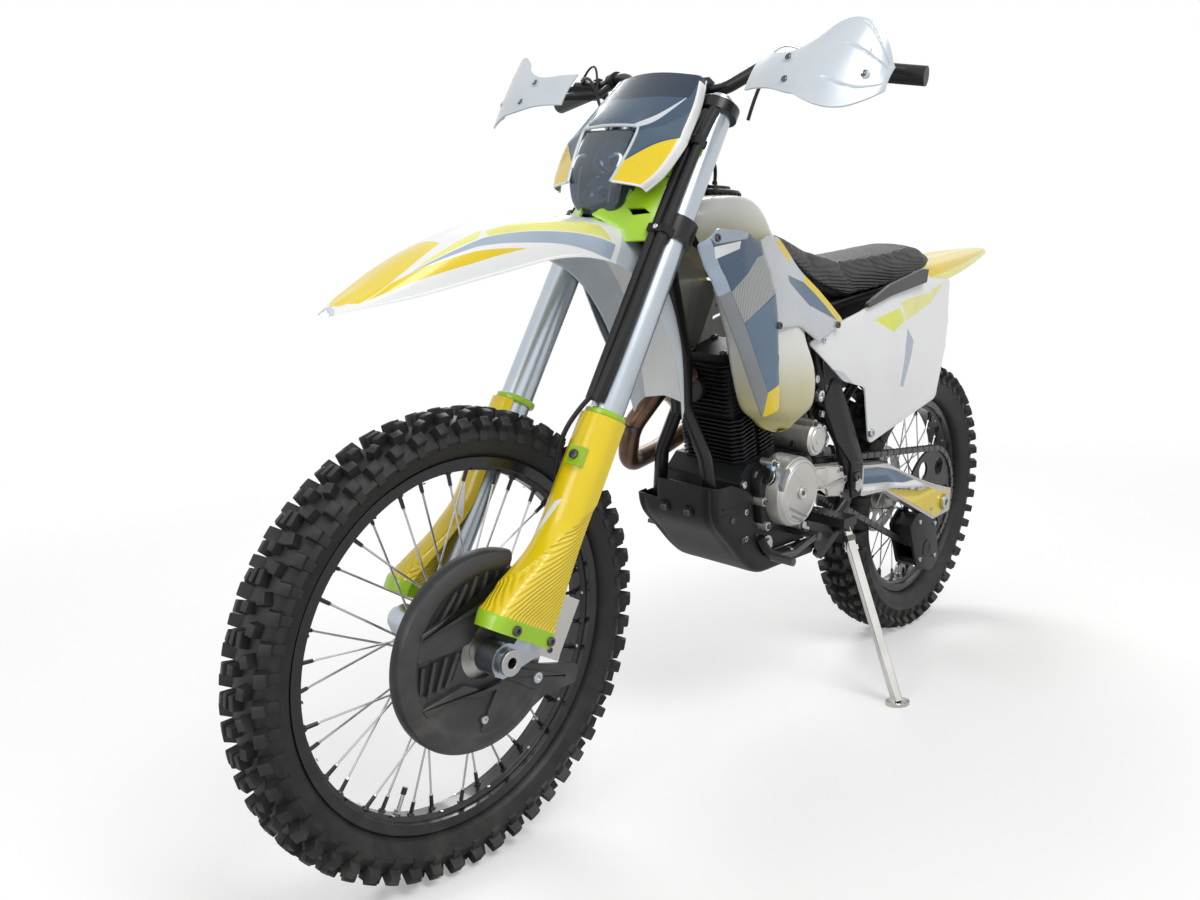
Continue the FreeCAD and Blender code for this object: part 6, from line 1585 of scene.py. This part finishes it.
for x, z in ((-58, 404), (-70, 392)):
    add_rod(bm, (x, 84.5, z), (x, 118, z), 10.5, 24)
    add_rod(bm, (x, 118, z), (x, 124, z), 8.5, 6, material=4)
add_piece("round_cover", bm, UPRIGHT, "chassis", [CAST_SILVER, BLACK_CAST, DARK_STEEL, GREY_FILM, STEEL],
          bevel=0.9)

# %% Sprocket cover and starter
bm = bmesh.new()
facets = [([(-90, 512), (-150, 506), (-150, 462), (-90, 470)], 116), ([(-150, 506), (-212, 500), (-238, 470), (-150, 462)], 112),
          ([(-90, 470), (-150, 462), (-160, 440), (-128, 458), (-90, 458)], 113),
          ([(-150, 462), (-238, 470), (-222, 432), (-160, 440)], 114)]
add_plate(bm, [(-90, 512), (-212, 500), (-238, 470), (-222, 432), (-160, 440), (-128, 458), (-90, 458)], 84.5, 109, 5, 2)
for outline, height in facets:
    middle = Vector((sum(x for x, z in outline), sum(z for x, z in outline))) / len(outline)
    smaller = [tuple(middle + (Vector(p) - middle) * 0.9) for p in outline]
    add_plate(bm, smaller, 108, height, 3, 3)
for x, z in ((-98, 504), (-206, 492), (-228, 468), (-216, 440), (-98, 464)):
    add_rod(bm, (x, 84.5, z), (x, 114, z), 7.5, 20)
    add_bolt(bm, (x, 113.5, z), (0, 1, 0), 4.6, 1)
STARTER_AT = (-112, 566)
can = turned([(0, 21), (33.5, 21), (33.5, 28), (32.4, 30), (32.4, 90), (34, 92), (34, 105), (31, 109), (25, 110), (23.5, 112.6),
              (0, 113.6)], 72)
bmesh.ops.translate(can, vec=(STARTER_AT[0], 0, STARTER_AT[1]), verts=can.verts)
add_copy(bm, as_mesh(can), Matrix())
for angle in (70, 200, 330):
    x = STARTER_AT[0] + 35 * math.cos(math.radians(angle))
    z = STARTER_AT[1] + 35 * math.sin(math.radians(angle))
    if z < 560:
        continue
    add_rod(bm, (x, 60, z), (x, 108, z), 8.5, 24)
    add_bolt(bm, (x, 108, z), (0, 1, 0), 5.4, 1)
add_rod(bm, (STARTER_AT[0], 113, STARTER_AT[1]), (STARTER_AT[0], 114, STARTER_AT[1]), 11, 32)
add_rod(bm, (-84, 70, 548), (-84, 70, 562), 5, 12, material=2)
add_copy(bm, as_mesh(dish([(69, -104), (69, -84.5), (0, -84.5), (0, -116), (55, -117), (64, -112)], 0.0, 72)),
         Matrix.Translation((-4, 0, 480)))
add_plate(bm, [(84, 500), (60, 536), (-100, 536), (-124, 470), (-60, 412), (60, 412)], -104, -84.5, 14)
for angle in range(20, 380, 45):
    x, z = -4 + 60 * math.cos(math.radians(angle)), 480 + 60 * math.sin(math.radians(angle))
    add_bolt(bm, (x, -112, z), (0, -1, 0), 5, 1)
add_piece("silver_covers", bm, UPRIGHT, "chassis", [CAST_SILVER, DARK_STEEL, SOFT_BLACK],
          ["engine_covers"], bevel=0.8)

# %% Coolant pipe and small lines
LIGHT_BLUE = finish("blue_clamp", rgb(0.36, 0.55, 0.74), rough=0.3, metallic=0.5, dust=0.0)
bm = bmesh.new()
pipe_way = Vector((0.87, -0.14, 0.44)).normalized()
pipe_start = Vector((30, 112, 500))
add_rod(bm, pipe_start - pipe_way * 16, pipe_start + pipe_way * 2, 17.5, 32)
add_rod(bm, pipe_start + pipe_way * 2, pipe_start + pipe_way * 20, 16.2, 32, material=1)
add_rod(bm, pipe_start + pipe_way * 20, pipe_start + pipe_way * 46, 14.5, 32, material=2)
add_rod(bm, pipe_start + pipe_way * 34, pipe_start + pipe_way * 36, 15.8, 32, material=3)
add_box(bm, (50, 104, 528), (62, 116, 537), material=1)
add_rod(bm, (36, 90, 534), (36, 112, 534), 9, 20)
add_bolt(bm, (36, 112, 534), (0, 1, 0), 6.5, 3)
add_sweep(bm, [(60, 98, 396), (40, 100, 366), (0, 100, 350), (-50, 98, 346), (-96, 92, 352)], 9.0, 12, 2)
add_rod(bm, (-44, 98.6, 346), (-52, 98.2, 346), 10.6, 24, material=0)
add_rod(bm, (-14, 107, 350), (-14, 110, 350), 3.4, 12, material=4)
RED_DOT = finish("red_cap", rgb(0.55, 0.03, 0.03), rough=0.3, dust=0.0)
add_piece("coolant_lines", bm, UPRIGHT, "chassis", [CAST_SILVER, LIGHT_BLUE, SOFT_BLACK, STEEL, RED_DOT],
          bevel=0.5)

# %% [markdown]
# ## Under the engine
# The bash plate is a skin over a few stations, from its front top to its rear end. Its sides roll up
# beside the cradle tubes and end in a wing, and its right front is cut away for the exhaust.

# %% Bash plate
SKID_HALF, SKID_ROLL = 93.6, 15.0
SKID_FORM = [((208, 511), (158, 511)), ((206, 478), (92, 486)), ((192, 438), (84, 460)), ((146, 395), (74, 425)),
             ((92, 347), (62, 394)), ((44, 321), (38, 356)), ((-30, 318.9), (-30, 350)), ((-150, 318.9), (-150, 348))]


def skid_station(low, high):
    """Across the plate: from the top of the right wing, under the floor, to the top of the left one."""
    rise = Vector((high[0] - low[0], 0, high[1] - low[1]))
    corner = Vector((low[0], 0, low[1]))
    turned_up = rise.normalized() * SKID_ROLL
    left = [corner, corner + Vector((0, 40, 0)), corner + Vector((0, SKID_HALF - SKID_ROLL, 0)),
            corner + turned_up * 0.25 + Vector((0, SKID_HALF - 4, 0)), corner + turned_up + Vector((0, SKID_HALF, 0)),
            corner + (turned_up + rise) / 2 + Vector((0, SKID_HALF, 0)), corner + rise + Vector((0, SKID_HALF, 0))]
    return [Vector((p.x, -p.y, p.z)) for p in reversed(left[1:])] + left


def skid_ribs(u, v):
    """Two shallow ribs run down the front, and a hollow lies between them."""
    rib = math.exp(-((abs(u - 0.5) - 0.16) / 0.012) ** 2) * min(max((0.55 - v) / 0.1, 0), 1) * min(v / 0.06, 1)
    return Vector((-2.5 * rib, 0, 1.5 * rib))


bm = skin([skid_station(*row) for row in SKID_FORM], 72, 60, (), skid_ribs)
cut_away = [f for f in bm.faces if f.calc_center_median().y < -40 and f.calc_center_median().z > 472]
bmesh.ops.delete(bm, geom=cut_away, context="FACES")
bmesh.ops.recalc_face_normals(bm, faces=bm.faces)
middle = min(bm.faces, key=lambda f: f.calc_center_median().z)
if middle.normal.z > 0:
    bmesh.ops.reverse_faces(bm, faces=bm.faces[:])
bash_plate = add_piece("bash_plate", bm, UPRIGHT, "chassis", [BLACK_PLASTIC], ["skid_plate"])
wall = bash_plate.modifiers.new("wall", "SOLIDIFY")
wall.thickness = 3.6 * MM
wall.offset = -1.0
bm = bmesh.new()
for y in (-24, 30):
    add_rod(bm, (198, y, 460), (204.6, y, 457), 12, 24)
    add_bolt(bm, (204.6, y, 457), (0.9, 0, -0.42), 7.5, 1, FLAT_HEAD)
for x, z in ((150, 444), (112, 400)):
    add_rod(bm, (x, 88, z), (x, 94.2, z), 10, 24)
    add_bolt(bm, (x, 94.2, z), (0, 1, 0), 6, 1, FLAT_HEAD)
for z in (470, 458):
    add_rod(bm, (184, 93.6, z), (128, 93.6, z - 5), 2.0, 10)
add_piece("bash_plate_bolts", bm, UPRIGHT, "chassis", [BLACK_PLASTIC, DARK_STEEL])

# %% Exhaust
bm = solid_copy("exhaust_header")
bmesh.ops.transform(bm, matrix=UPRIGHT.inverted(), verts=bm.verts)
for at, way in (((236, -86, 606), (-0.2, -0.3, -1.0)), ((150, -28, 698), (1, -0.5, -0.15))):
    way = Vector(way).normalized()
    ring = Vector(at)
    add_rod(bm, ring - way * 4, ring + way * 4, 21.5, 40, material=1)
add_piece("header_pipe", bm, UPRIGHT, "chassis", [HEADER, DARK_STEEL], ["exhaust_header"], bevel=0.4)

# %% [markdown]
# ## Frame fittings
# Black guards with a knobbed grip field cover the frame beside the boots. Dark plates carry the
# engine, and bright domed bolts hold them.

# %% Frame guards and mounts
bm = bmesh.new()
guard = [(-140, 690), (-110, 640), (-172, 556), (-240, 500), (-250, 424), (-292, 424), (-292, 500), (-240, 580), (-168, 680)]
add_plate(bm, guard, 114.3, 119.6, 6, 2)
knob_rows = ((-146, 668, -246, 508, 26), (-154, 666, -254, 506, 26), (-162, 664, -262, 504, 26), (-138, 664, -238, 510, 20))
for x0, z0, x1, z1, count in knob_rows:
    for i in range(count):
        share = i / (count - 1)
        bend = 6 * math.sin(math.pi * share)
        add_bolt(bm, (x0 + (x1 - x0) * share + bend - 4, 119.3, z0 + (z1 - z0) * share - bend), (0, 1, 0), 2.3, 0, FLAT_HEAD)
for z in range(430, 500, 7):
    for x in (-258, -266, -274, -282):
        add_bolt(bm, (x, 119.3, z), (0, 1, 0), 2.3, 0, FLAT_HEAD)
add_bolt(bm, (-262, 119.6, 470), (0, 1, 0), 9, 1)
mirror_too(bm)
add_piece("boot_guards", bm, UPRIGHT, "chassis", [BLACK_PLASTIC, DARK_STEEL], ["frame_guards"])

bm = solid_copy("frame")
bmesh.ops.transform(bm, matrix=UPRIGHT.inverted(), verts=bm.verts)
for x, z, radius in ((-106, 655, 12), (-122, 618, 8), (-128, 586, 8), (-90, 690, 8)):
    for side in (1, -1):
        add_rod(bm, (x, side * 84, z), (x, side * 108, z), radius + 3, 24)
        add_bolt(bm, (x, side * 108, z), (0, side, 0), radius, 1)
add_plate(bm, [(-60, 700), (-130, 700), (-160, 600), (-140, 570), (-112, 590), (-84, 650)], 88, 96, 8, 1)
add_plate(bm, [(-60, 700), (-130, 700), (-160, 600), (-140, 570), (-112, 590), (-84, 650)], -96, -88, 8, 1)
add_rod(bm, (-268, 112, 452), (-268, 125, 452), 15, 6, material=1)
add_rod(bm, (-268, -125, 452), (-268, -112, 452), 15, 6, material=1)
add_piece("frame_tubes", bm, UPRIGHT, "chassis", [BLACK_PAINT, STEEL], ["frame"], bevel=0.6)


# %% [markdown]
# ## Drive and swingarm
# The chain is one pitch after another round its two sprockets, with wide and narrow links by turns.
# The swingarm keeps its solid and gets its films.

# %% Chain
PITCH, CHAIN_Y = 15.875, 71.5
DRIVE_AT, DRIVEN_AT = Vector((-187, 0, 473)), Vector((-730, 0, 335))
DRIVE_TEETH, DRIVEN_TEETH = 13, 50


def chain_path():
    """Points one pitch apart round both sprockets."""
    small, large = (PITCH / 2 / math.sin(math.pi / teeth) for teeth in (DRIVE_TEETH, DRIVEN_TEETH))
    run = DRIVEN_AT - DRIVE_AT
    base = math.atan2(run.z, run.x)
    open_angle = math.acos((small - large) / run.length)
    path = []

    def arc(centre, radius, start, sweep):
        count = max(3, int(abs(sweep) * radius / 4))
        for i in range(count + 1):
            angle = start + sweep * i / count
            path.append(centre + Vector((math.cos(angle), 0, math.sin(angle))) * radius)

    arc(DRIVE_AT, small, base + open_angle, 2 * math.pi - 2 * open_angle)
    arc(DRIVEN_AT, large, base - open_angle, 2 * open_angle)
    lengths = [(b - a).length for a, b in zip(path, path[1:] + path[:1])]
    count = 2 * round(sum(lengths) / PITCH / 2)
    step = sum(lengths) / count
    points, walked, target = [], 0.0, 0.0
    for (a, b), length in zip(zip(path, path[1:] + path[:1]), lengths):
        while len(points) < count and target <= walked + length:
            points.append(a.lerp(b, (target - walked) / length))
            target += step
        walked += length
    return points


def link_template(half_gap, thick, height):
    """Two side plates of one pitch, waisted in the middle, and a roller at the start."""
    bm = bmesh.new()
    end = [(math.cos(math.radians(a)) * height, math.sin(math.radians(a)) * height) for a in (90, 126, 162, 198, 234, 270)]
    outline = end + [(PITCH / 2, -0.72 * height)] + [(PITCH - x, z) for x, z in reversed(end)] + [(PITCH / 2, 0.72 * height)]
    for low in (half_gap, -half_gap - thick):
        add_plate(bm, outline, low, low + thick)
    add_rod(bm, (0, -half_gap - thick - 0.6, 0), (0, half_gap + thick + 0.6, 0), 2.6, 8)
    add_rod(bm, (0, -half_gap, 0), (0, half_gap, 0), 5.0, 10)
    return as_mesh(bm)


wide_link, narrow_link = link_template(5.2, 1.6, 7.0), link_template(3.4, 1.6, 7.2)
pins = chain_path()
bm = bmesh.new()
for i, (start, end) in enumerate(zip(pins, pins[1:] + pins[:1])):
    way = (end - start).normalized()
    turn = Matrix((way, (0, 1, 0), way.cross(Vector((0, 1, 0))))).transposed().to_4x4()
    add_copy(bm, wide_link if i % 2 else narrow_link, Matrix.Translation(start + Vector((0, CHAIN_Y, 0))) @ turn,
             i % 2)
add_piece("drive_chain", bm, UPRIGHT, frame["nodes"]["chain"]["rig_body"], [CHAIN_STEEL, DARK_STEEL], ["chain"])

# %% Swingarm
bm = solid_copy("swingarm")
bmesh.ops.transform(bm, matrix=UPRIGHT.inverted(), verts=bm.verts)
films = [([(-312, 478), (-420, 467), (-560, 416), (-500, 418), (-420, 432), (-312, 444)], 1),
         ([(-312, 444), (-420, 432), (-500, 418), (-560, 416), (-640, 386), (-600, 384), (-500, 402), (-424, 416),
           (-312, 428)], 2),
         ([(-424, 416), (-500, 402), (-600, 384), (-640, 386), (-700, 366), (-755, 357), (-755, 318), (-688, 306),
           (-565, 357)], 3)]
for outline, material in films:
    for side in (1, -1):
        low, high = sorted((side * 111.9, side * 112.7))
        add_plate(bm, outline, low, high, 0, 0, material)
for side in (1, -1):
    face = side * 112
    add_rod(bm, (-748, face, 334), (-748, face + side * 2.5, 334), 8, 6, material=4)
    add_bolt(bm, (-664, face, 330), (0, side, 0), 5, 4)
    add_sweep(bm, [(-300, face, 484), (-420, face, 472), (-640, face, 391), (-768, face, 361)], 2.2, 8)
add_plate(bm, [(-330, 488), (-470, 468), (-470, 462), (-330, 480)], 60, 84, 3, 1, 5)
add_piece("swingarm_beam", bm, UPRIGHT, "chassis",
          [CAST_SILVER, BLUE_SLATE, WHITE_PLASTIC, YELLOW, STEEL, SOFT_BLACK], ["swingarm"], bevel=0.8)

# %% Chain guide
bm = bmesh.new()
guide = [(-600, 330), (-700, 300), (-730, 190), (-690, 168), (-610, 196), (-560, 300)]
add_plate(bm, guide, 56.3, 62, 8, 2)
add_plate(bm, guide, 106, 111.8, 8, 2)
add_plate(bm, [(-604, 322), (-690, 296), (-700, 262), (-574, 262), (-566, 300)], 60, 108, 5, 1)
add_plate(bm, [(-720, 204), (-690, 174), (-616, 200), (-610, 214), (-688, 190), (-712, 214)], 60, 108, 4, 1)
hole = dish([(11, 106), (21, 106), (21, 113), (17, 113.6), (11, 112)], 0.0, 48)
add_copy(bm, as_mesh(hole), Matrix.Translation((-660, 0, 232)))
add_rod(bm, (-660, 104, 232), (-660, 112.4, 232), 11.5, 32, material=1)
for x, z in ((-608, 306), (-692, 288), (-704, 206), (-622, 212)):
    add_bolt(bm, (x, 111.8, z), (0, 1, 0), 5.5, 2)
add_piece("guide_block", bm, UPRIGHT, "chassis", [BLACK_PLASTIC, SOFT_BLACK, STEEL], ["chain_guide"])

# %% [markdown]
# ## Stand, pegs and levers

# %% Side stand
bm = solid_copy("side_stand")
bmesh.ops.transform(bm, matrix=UPRIGHT.inverted(), verts=bm.verts)
for face in bm.faces:
    if face.calc_center_median().z > 352:
        face.material_index = 1
foot = min((v.co for v in bm.verts), key=lambda co: co.z).copy()
top = Vector((-225, 122, 372))
sole = [v.co for v in bm.verts if (v.co - foot).length < 52]
foot_end = sum(sole, Vector()) / len(sole)
way = (foot_end - top).normalized()
add_rod(bm, top + way * 30, foot_end - way * 9, 11.4, 40, material=0)
add_rod(bm, top + way * 44, top + way * 54, 14.5, 32, material=0)
add_rod(bm, top + way * 22, top + way * 34, 15.5, 6, material=2)
add_piece("stand_leg", bm, UPRIGHT, "stand", [POLISHED, BLACK_PAINT, DARK_STEEL], ["side_stand"], bevel=0.8)

# %% Footpegs
bm = solid_copy("footpegs")
bmesh.ops.transform(bm, matrix=UPRIGHT.inverted(), verts=bm.verts)
outer_part = [v.co for v in bm.verts if v.co.y > 150]
peg_x = (min(co.x for co in outer_part), max(co.x for co in outer_part))
peg_y = (132, max(co.y for co in outer_part))
peg_z = max(co.z for co in outer_part)
for side in (1, -1):
    for x in (peg_x[0] + 4, peg_x[1] - 4):
        count = int((peg_y[1] - peg_y[0]) / 11)
        for i in range(count):
            y = side * (peg_y[0] + 6 + i * 11)
            add_rod(bm, (x, y, peg_z - 3), (x, y, peg_z + 2.2), 4.2, 6, 1.6)
    add_rod(bm, ((peg_x[0] + peg_x[1]) / 2, side * 118, peg_z + 1), ((peg_x[0] + peg_x[1]) / 2, side * 118, peg_z - 22), 5, 12,
            material=1)
add_piece("toothed_pegs", bm, UPRIGHT, "chassis", [BLACK_PAINT, STEEL], ["footpegs"], bevel=0.6)


# %% [markdown]
# ## Cockpit and hoses
# The controls keep their solids and get their bolts. Two stout hoses run side by side down the left leg,
# and the thin brake line goes on from there to the caliper.

# %% Brake hose
def leg_route(shift):
    return [(50 + 0.2 * shift, 112 + shift, 915), (63, 110 + shift, 860), (63, 106 + shift, 640), (61, 102 + shift, 470),
            (58, 99 + 0.7 * shift, 400)]


bm = bmesh.new()
for shift in (0, 19):
    add_sweep(bm, leg_route(shift), 9.0, 16)
add_sweep(bm, [(60, 106, 410), (68, 100, 396), (68, 74, 330), (32, 66, 260), (-18, 66, 190), (-38, 66, 118)], 4.0, 12)
for level in (850, 690):
    add_box(bm, (50, 98, level - 7), (73.5, 137, level + 7), material=1)
    add_bolt(bm, (73.5, 117, level), (1, 0, 0), 4.5, 2)
add_rod(bm, (-38, 66, 124), (-38, 66, 106), 6.0, 16, material=2)
add_piece("brake_lines", bm, FORK, "steering", [SOFT_BLACK, BLACK_PLASTIC, STEEL], ["front_brake_hose"], bevel=0.5)

# %% Hand controls
bm = solid_copy("hand_controls")
bmesh.ops.transform(bm, matrix=FORK.inverted(), verts=bm.verts)
perch = Vector((-27, 279, 1038)) + Vector((0.298, -0.954, -0.023)) * 8
ahead_of_bar = Vector((0.89, 0, -0.45))
for side in (1, -1):
    spot = Vector((perch.x, side * perch.y, perch.z))
    pivot = spot + ahead_of_bar * 40
    add_bolt(bm, pivot + Vector((0, 0, 11)), (0.2, 0, 1), 7.5, 1)
    add_bolt(bm, spot + Vector((0, 0, 18)), (0, 0, 1), 5.5, 1)
    add_rod(bm, spot - Vector((20, 0, 0)), spot - Vector((28, 0, 0)), 8, 16)
    add_sweep(bm, [pivot, pivot + Vector((20, -side * 20, 0)), pivot + Vector((32, -side * 52, -6)),
                   pivot + Vector((28, -side * 84, -40)), pivot + Vector((-4, -side * 108, -96))], 3.0, 12, 2)
    add_sweep(bm, [pivot + Vector((4, 0, 4)), pivot + Vector((26, -side * 30, 22)), pivot + Vector((40, -side * 74, 12)),
                   pivot + Vector((30, -side * 92, -52))], 2.2, 10, 1 if side > 0 else 2)
add_piece("levers_and_perches", bm, FORK, "steering", [BLACK_PLASTIC, STEEL, SOFT_BLACK],
          ["hand_controls"], bevel=0.6)

# %% Clamps
bm = solid_copy("triple_clamps")
bmesh.ops.transform(bm, matrix=FORK.inverted(), verts=bm.verts)
boxes = [(v.co.copy()) for v in bm.verts]
clamp_levels = (min(co.z for co in boxes) + 14, max(co.z for co in boxes if abs(co.y) > 90) - 12)
for level in clamp_levels:
    for side in (1, -1):
        for lift in (-7, 7):
            add_bolt(bm, (52, side * 90, level + lift), (1, -side * 0.35, 0), 4.6, 1)
for y in (-24, 24):
    add_bolt(bm, (22, y, max(co.z for co in boxes)), (0, 0, 1), 6, 1)
add_piece("fork_clamps", bm, FORK, "steering", [BLACK_PAINT, STEEL], ["triple_clamps"], bevel=0.8)

# %% Grips
bm = solid_copy("grips")
bmesh.ops.transform(bm, matrix=FORK.inverted(), verts=bm.verts)
tip, along = Vector((-70, 415, 1040)), Vector((0.298, -0.954, -0.023))
for side in (1, -1):
    for i in range(20):
        spot = tip + along * (8 + i * 5.4)
        spot.y *= side
        way = Vector((along.x, side * along.y, along.z))
        add_rod(bm, spot - way * 1.2, spot + way * 1.2, 15.9, 24)
add_piece("ringed_grips", bm, FORK, "steering", [SOFT_BLACK], ["grips"])

# %% Front caliper
bm = solid_copy("front_caliper")
bmesh.ops.transform(bm, matrix=FORK.inverted(), verts=bm.verts)
low = Vector([min(v.co[i] for v in bm.verts) for i in range(3)])
high = Vector([max(v.co[i] for v in bm.verts) for i in range(3)])
middle = (low + high) / 2
for share in (0.28, 0.72):
    spot = Vector((middle.x, high.y - 1, low.z + (high.z - low.z) * share))
    add_rod(bm, spot - Vector((0, 6, 0)), spot + Vector((0, 0.8, 0)), 12, 32)
    add_bolt(bm, (low.x + (high.x - low.x) * share, high.y - 1, low.z + 12), (0, 1, 0), 4.5, 1)
add_piece("caliper_body", bm, FORK, "steering", [CAST_SILVER, DARK_STEEL], ["front_caliper"], bevel=0.9)


# %% [markdown]
# ## Pieces whose solid already has the right shape
# Clamps, tubes, pipes and plates keep their solid. A merged copy gets softened edges, because a real
# edge always catches a line of light, and the finish of the real piece.

# %% Dressed solids
DRESSED = {
    "triple_clamps": BLACK_PAINT, "fork_tubes": BRIGHT_ALLOY, "fork_sliders": BRIGHT_ALLOY, "fork_guards": YELLOW,
    "disc_cover": GREY_PLASTIC, "front_caliper": CAST_SILVER, "front_fender": WHITE_PLASTIC, "headlamp_mask": SLATE,
    "headlamp": DEEP_SLATE, "headlamp_bracket": GREEN, "handlebar": BLACK_PAINT, "grips": SOFT_BLACK,
    "hand_controls": BLACK_PAINT, "handguards": PEARL, "front_brake_hose": SOFT_BLACK, "front_axle": STEEL,
    "front_tyre": RUBBER, "front_rim": ANODISED, "front_spokes": STEEL, "front_hub": CAST_SILVER,
    "front_brake_disc": STEEL, "frame": BLACK_PAINT, "engine_case": BLACK_CAST, "engine_covers": CAST_SILVER,
    "engine_barrel": BLACK_CAST, "exhaust_header": HEADER, "muffler": BRIGHT_ALLOY, "skid_plate": BLACK_PLASTIC,
    "swingarm": BRIGHT_ALLOY, "shock": STEEL, "chain": DARK_STEEL, "chain_guide": GREY_PLASTIC,
    "fuel_tank": WHITE_PLASTIC, "fuel_cap": BLACK_PLASTIC, "shrouds": SLATE, "seat": SOFT_BLACK,
    "rear_fender": WHITE_PLASTIC, "tail_lamp": DEEP_SLATE, "side_panels": WHITE_PLASTIC, "airbox": BLACK_PLASTIC,
    "grab_handles": GREY_PLASTIC, "footpegs": ZINC, "foot_controls": DARK_STEEL, "frame_guards": BLACK_PLASTIC,
    "rear_caliper": CAST_SILVER, "rear_axle": STEEL, "side_stand": ZINC, "rear_tyre": RUBBER, "rear_rim": ANODISED,
    "rear_spokes": STEEL, "rear_hub": CAST_SILVER, "rear_brake_disc": STEEL, "rear_sprocket": BLACK_PAINT,
}
plain_nodes = [name for name in DRESSED if name not in replaced_nodes]
for name in plain_nodes:
    dress(name, DRESSED[name])
print("dressed solids:", len(plain_nodes))
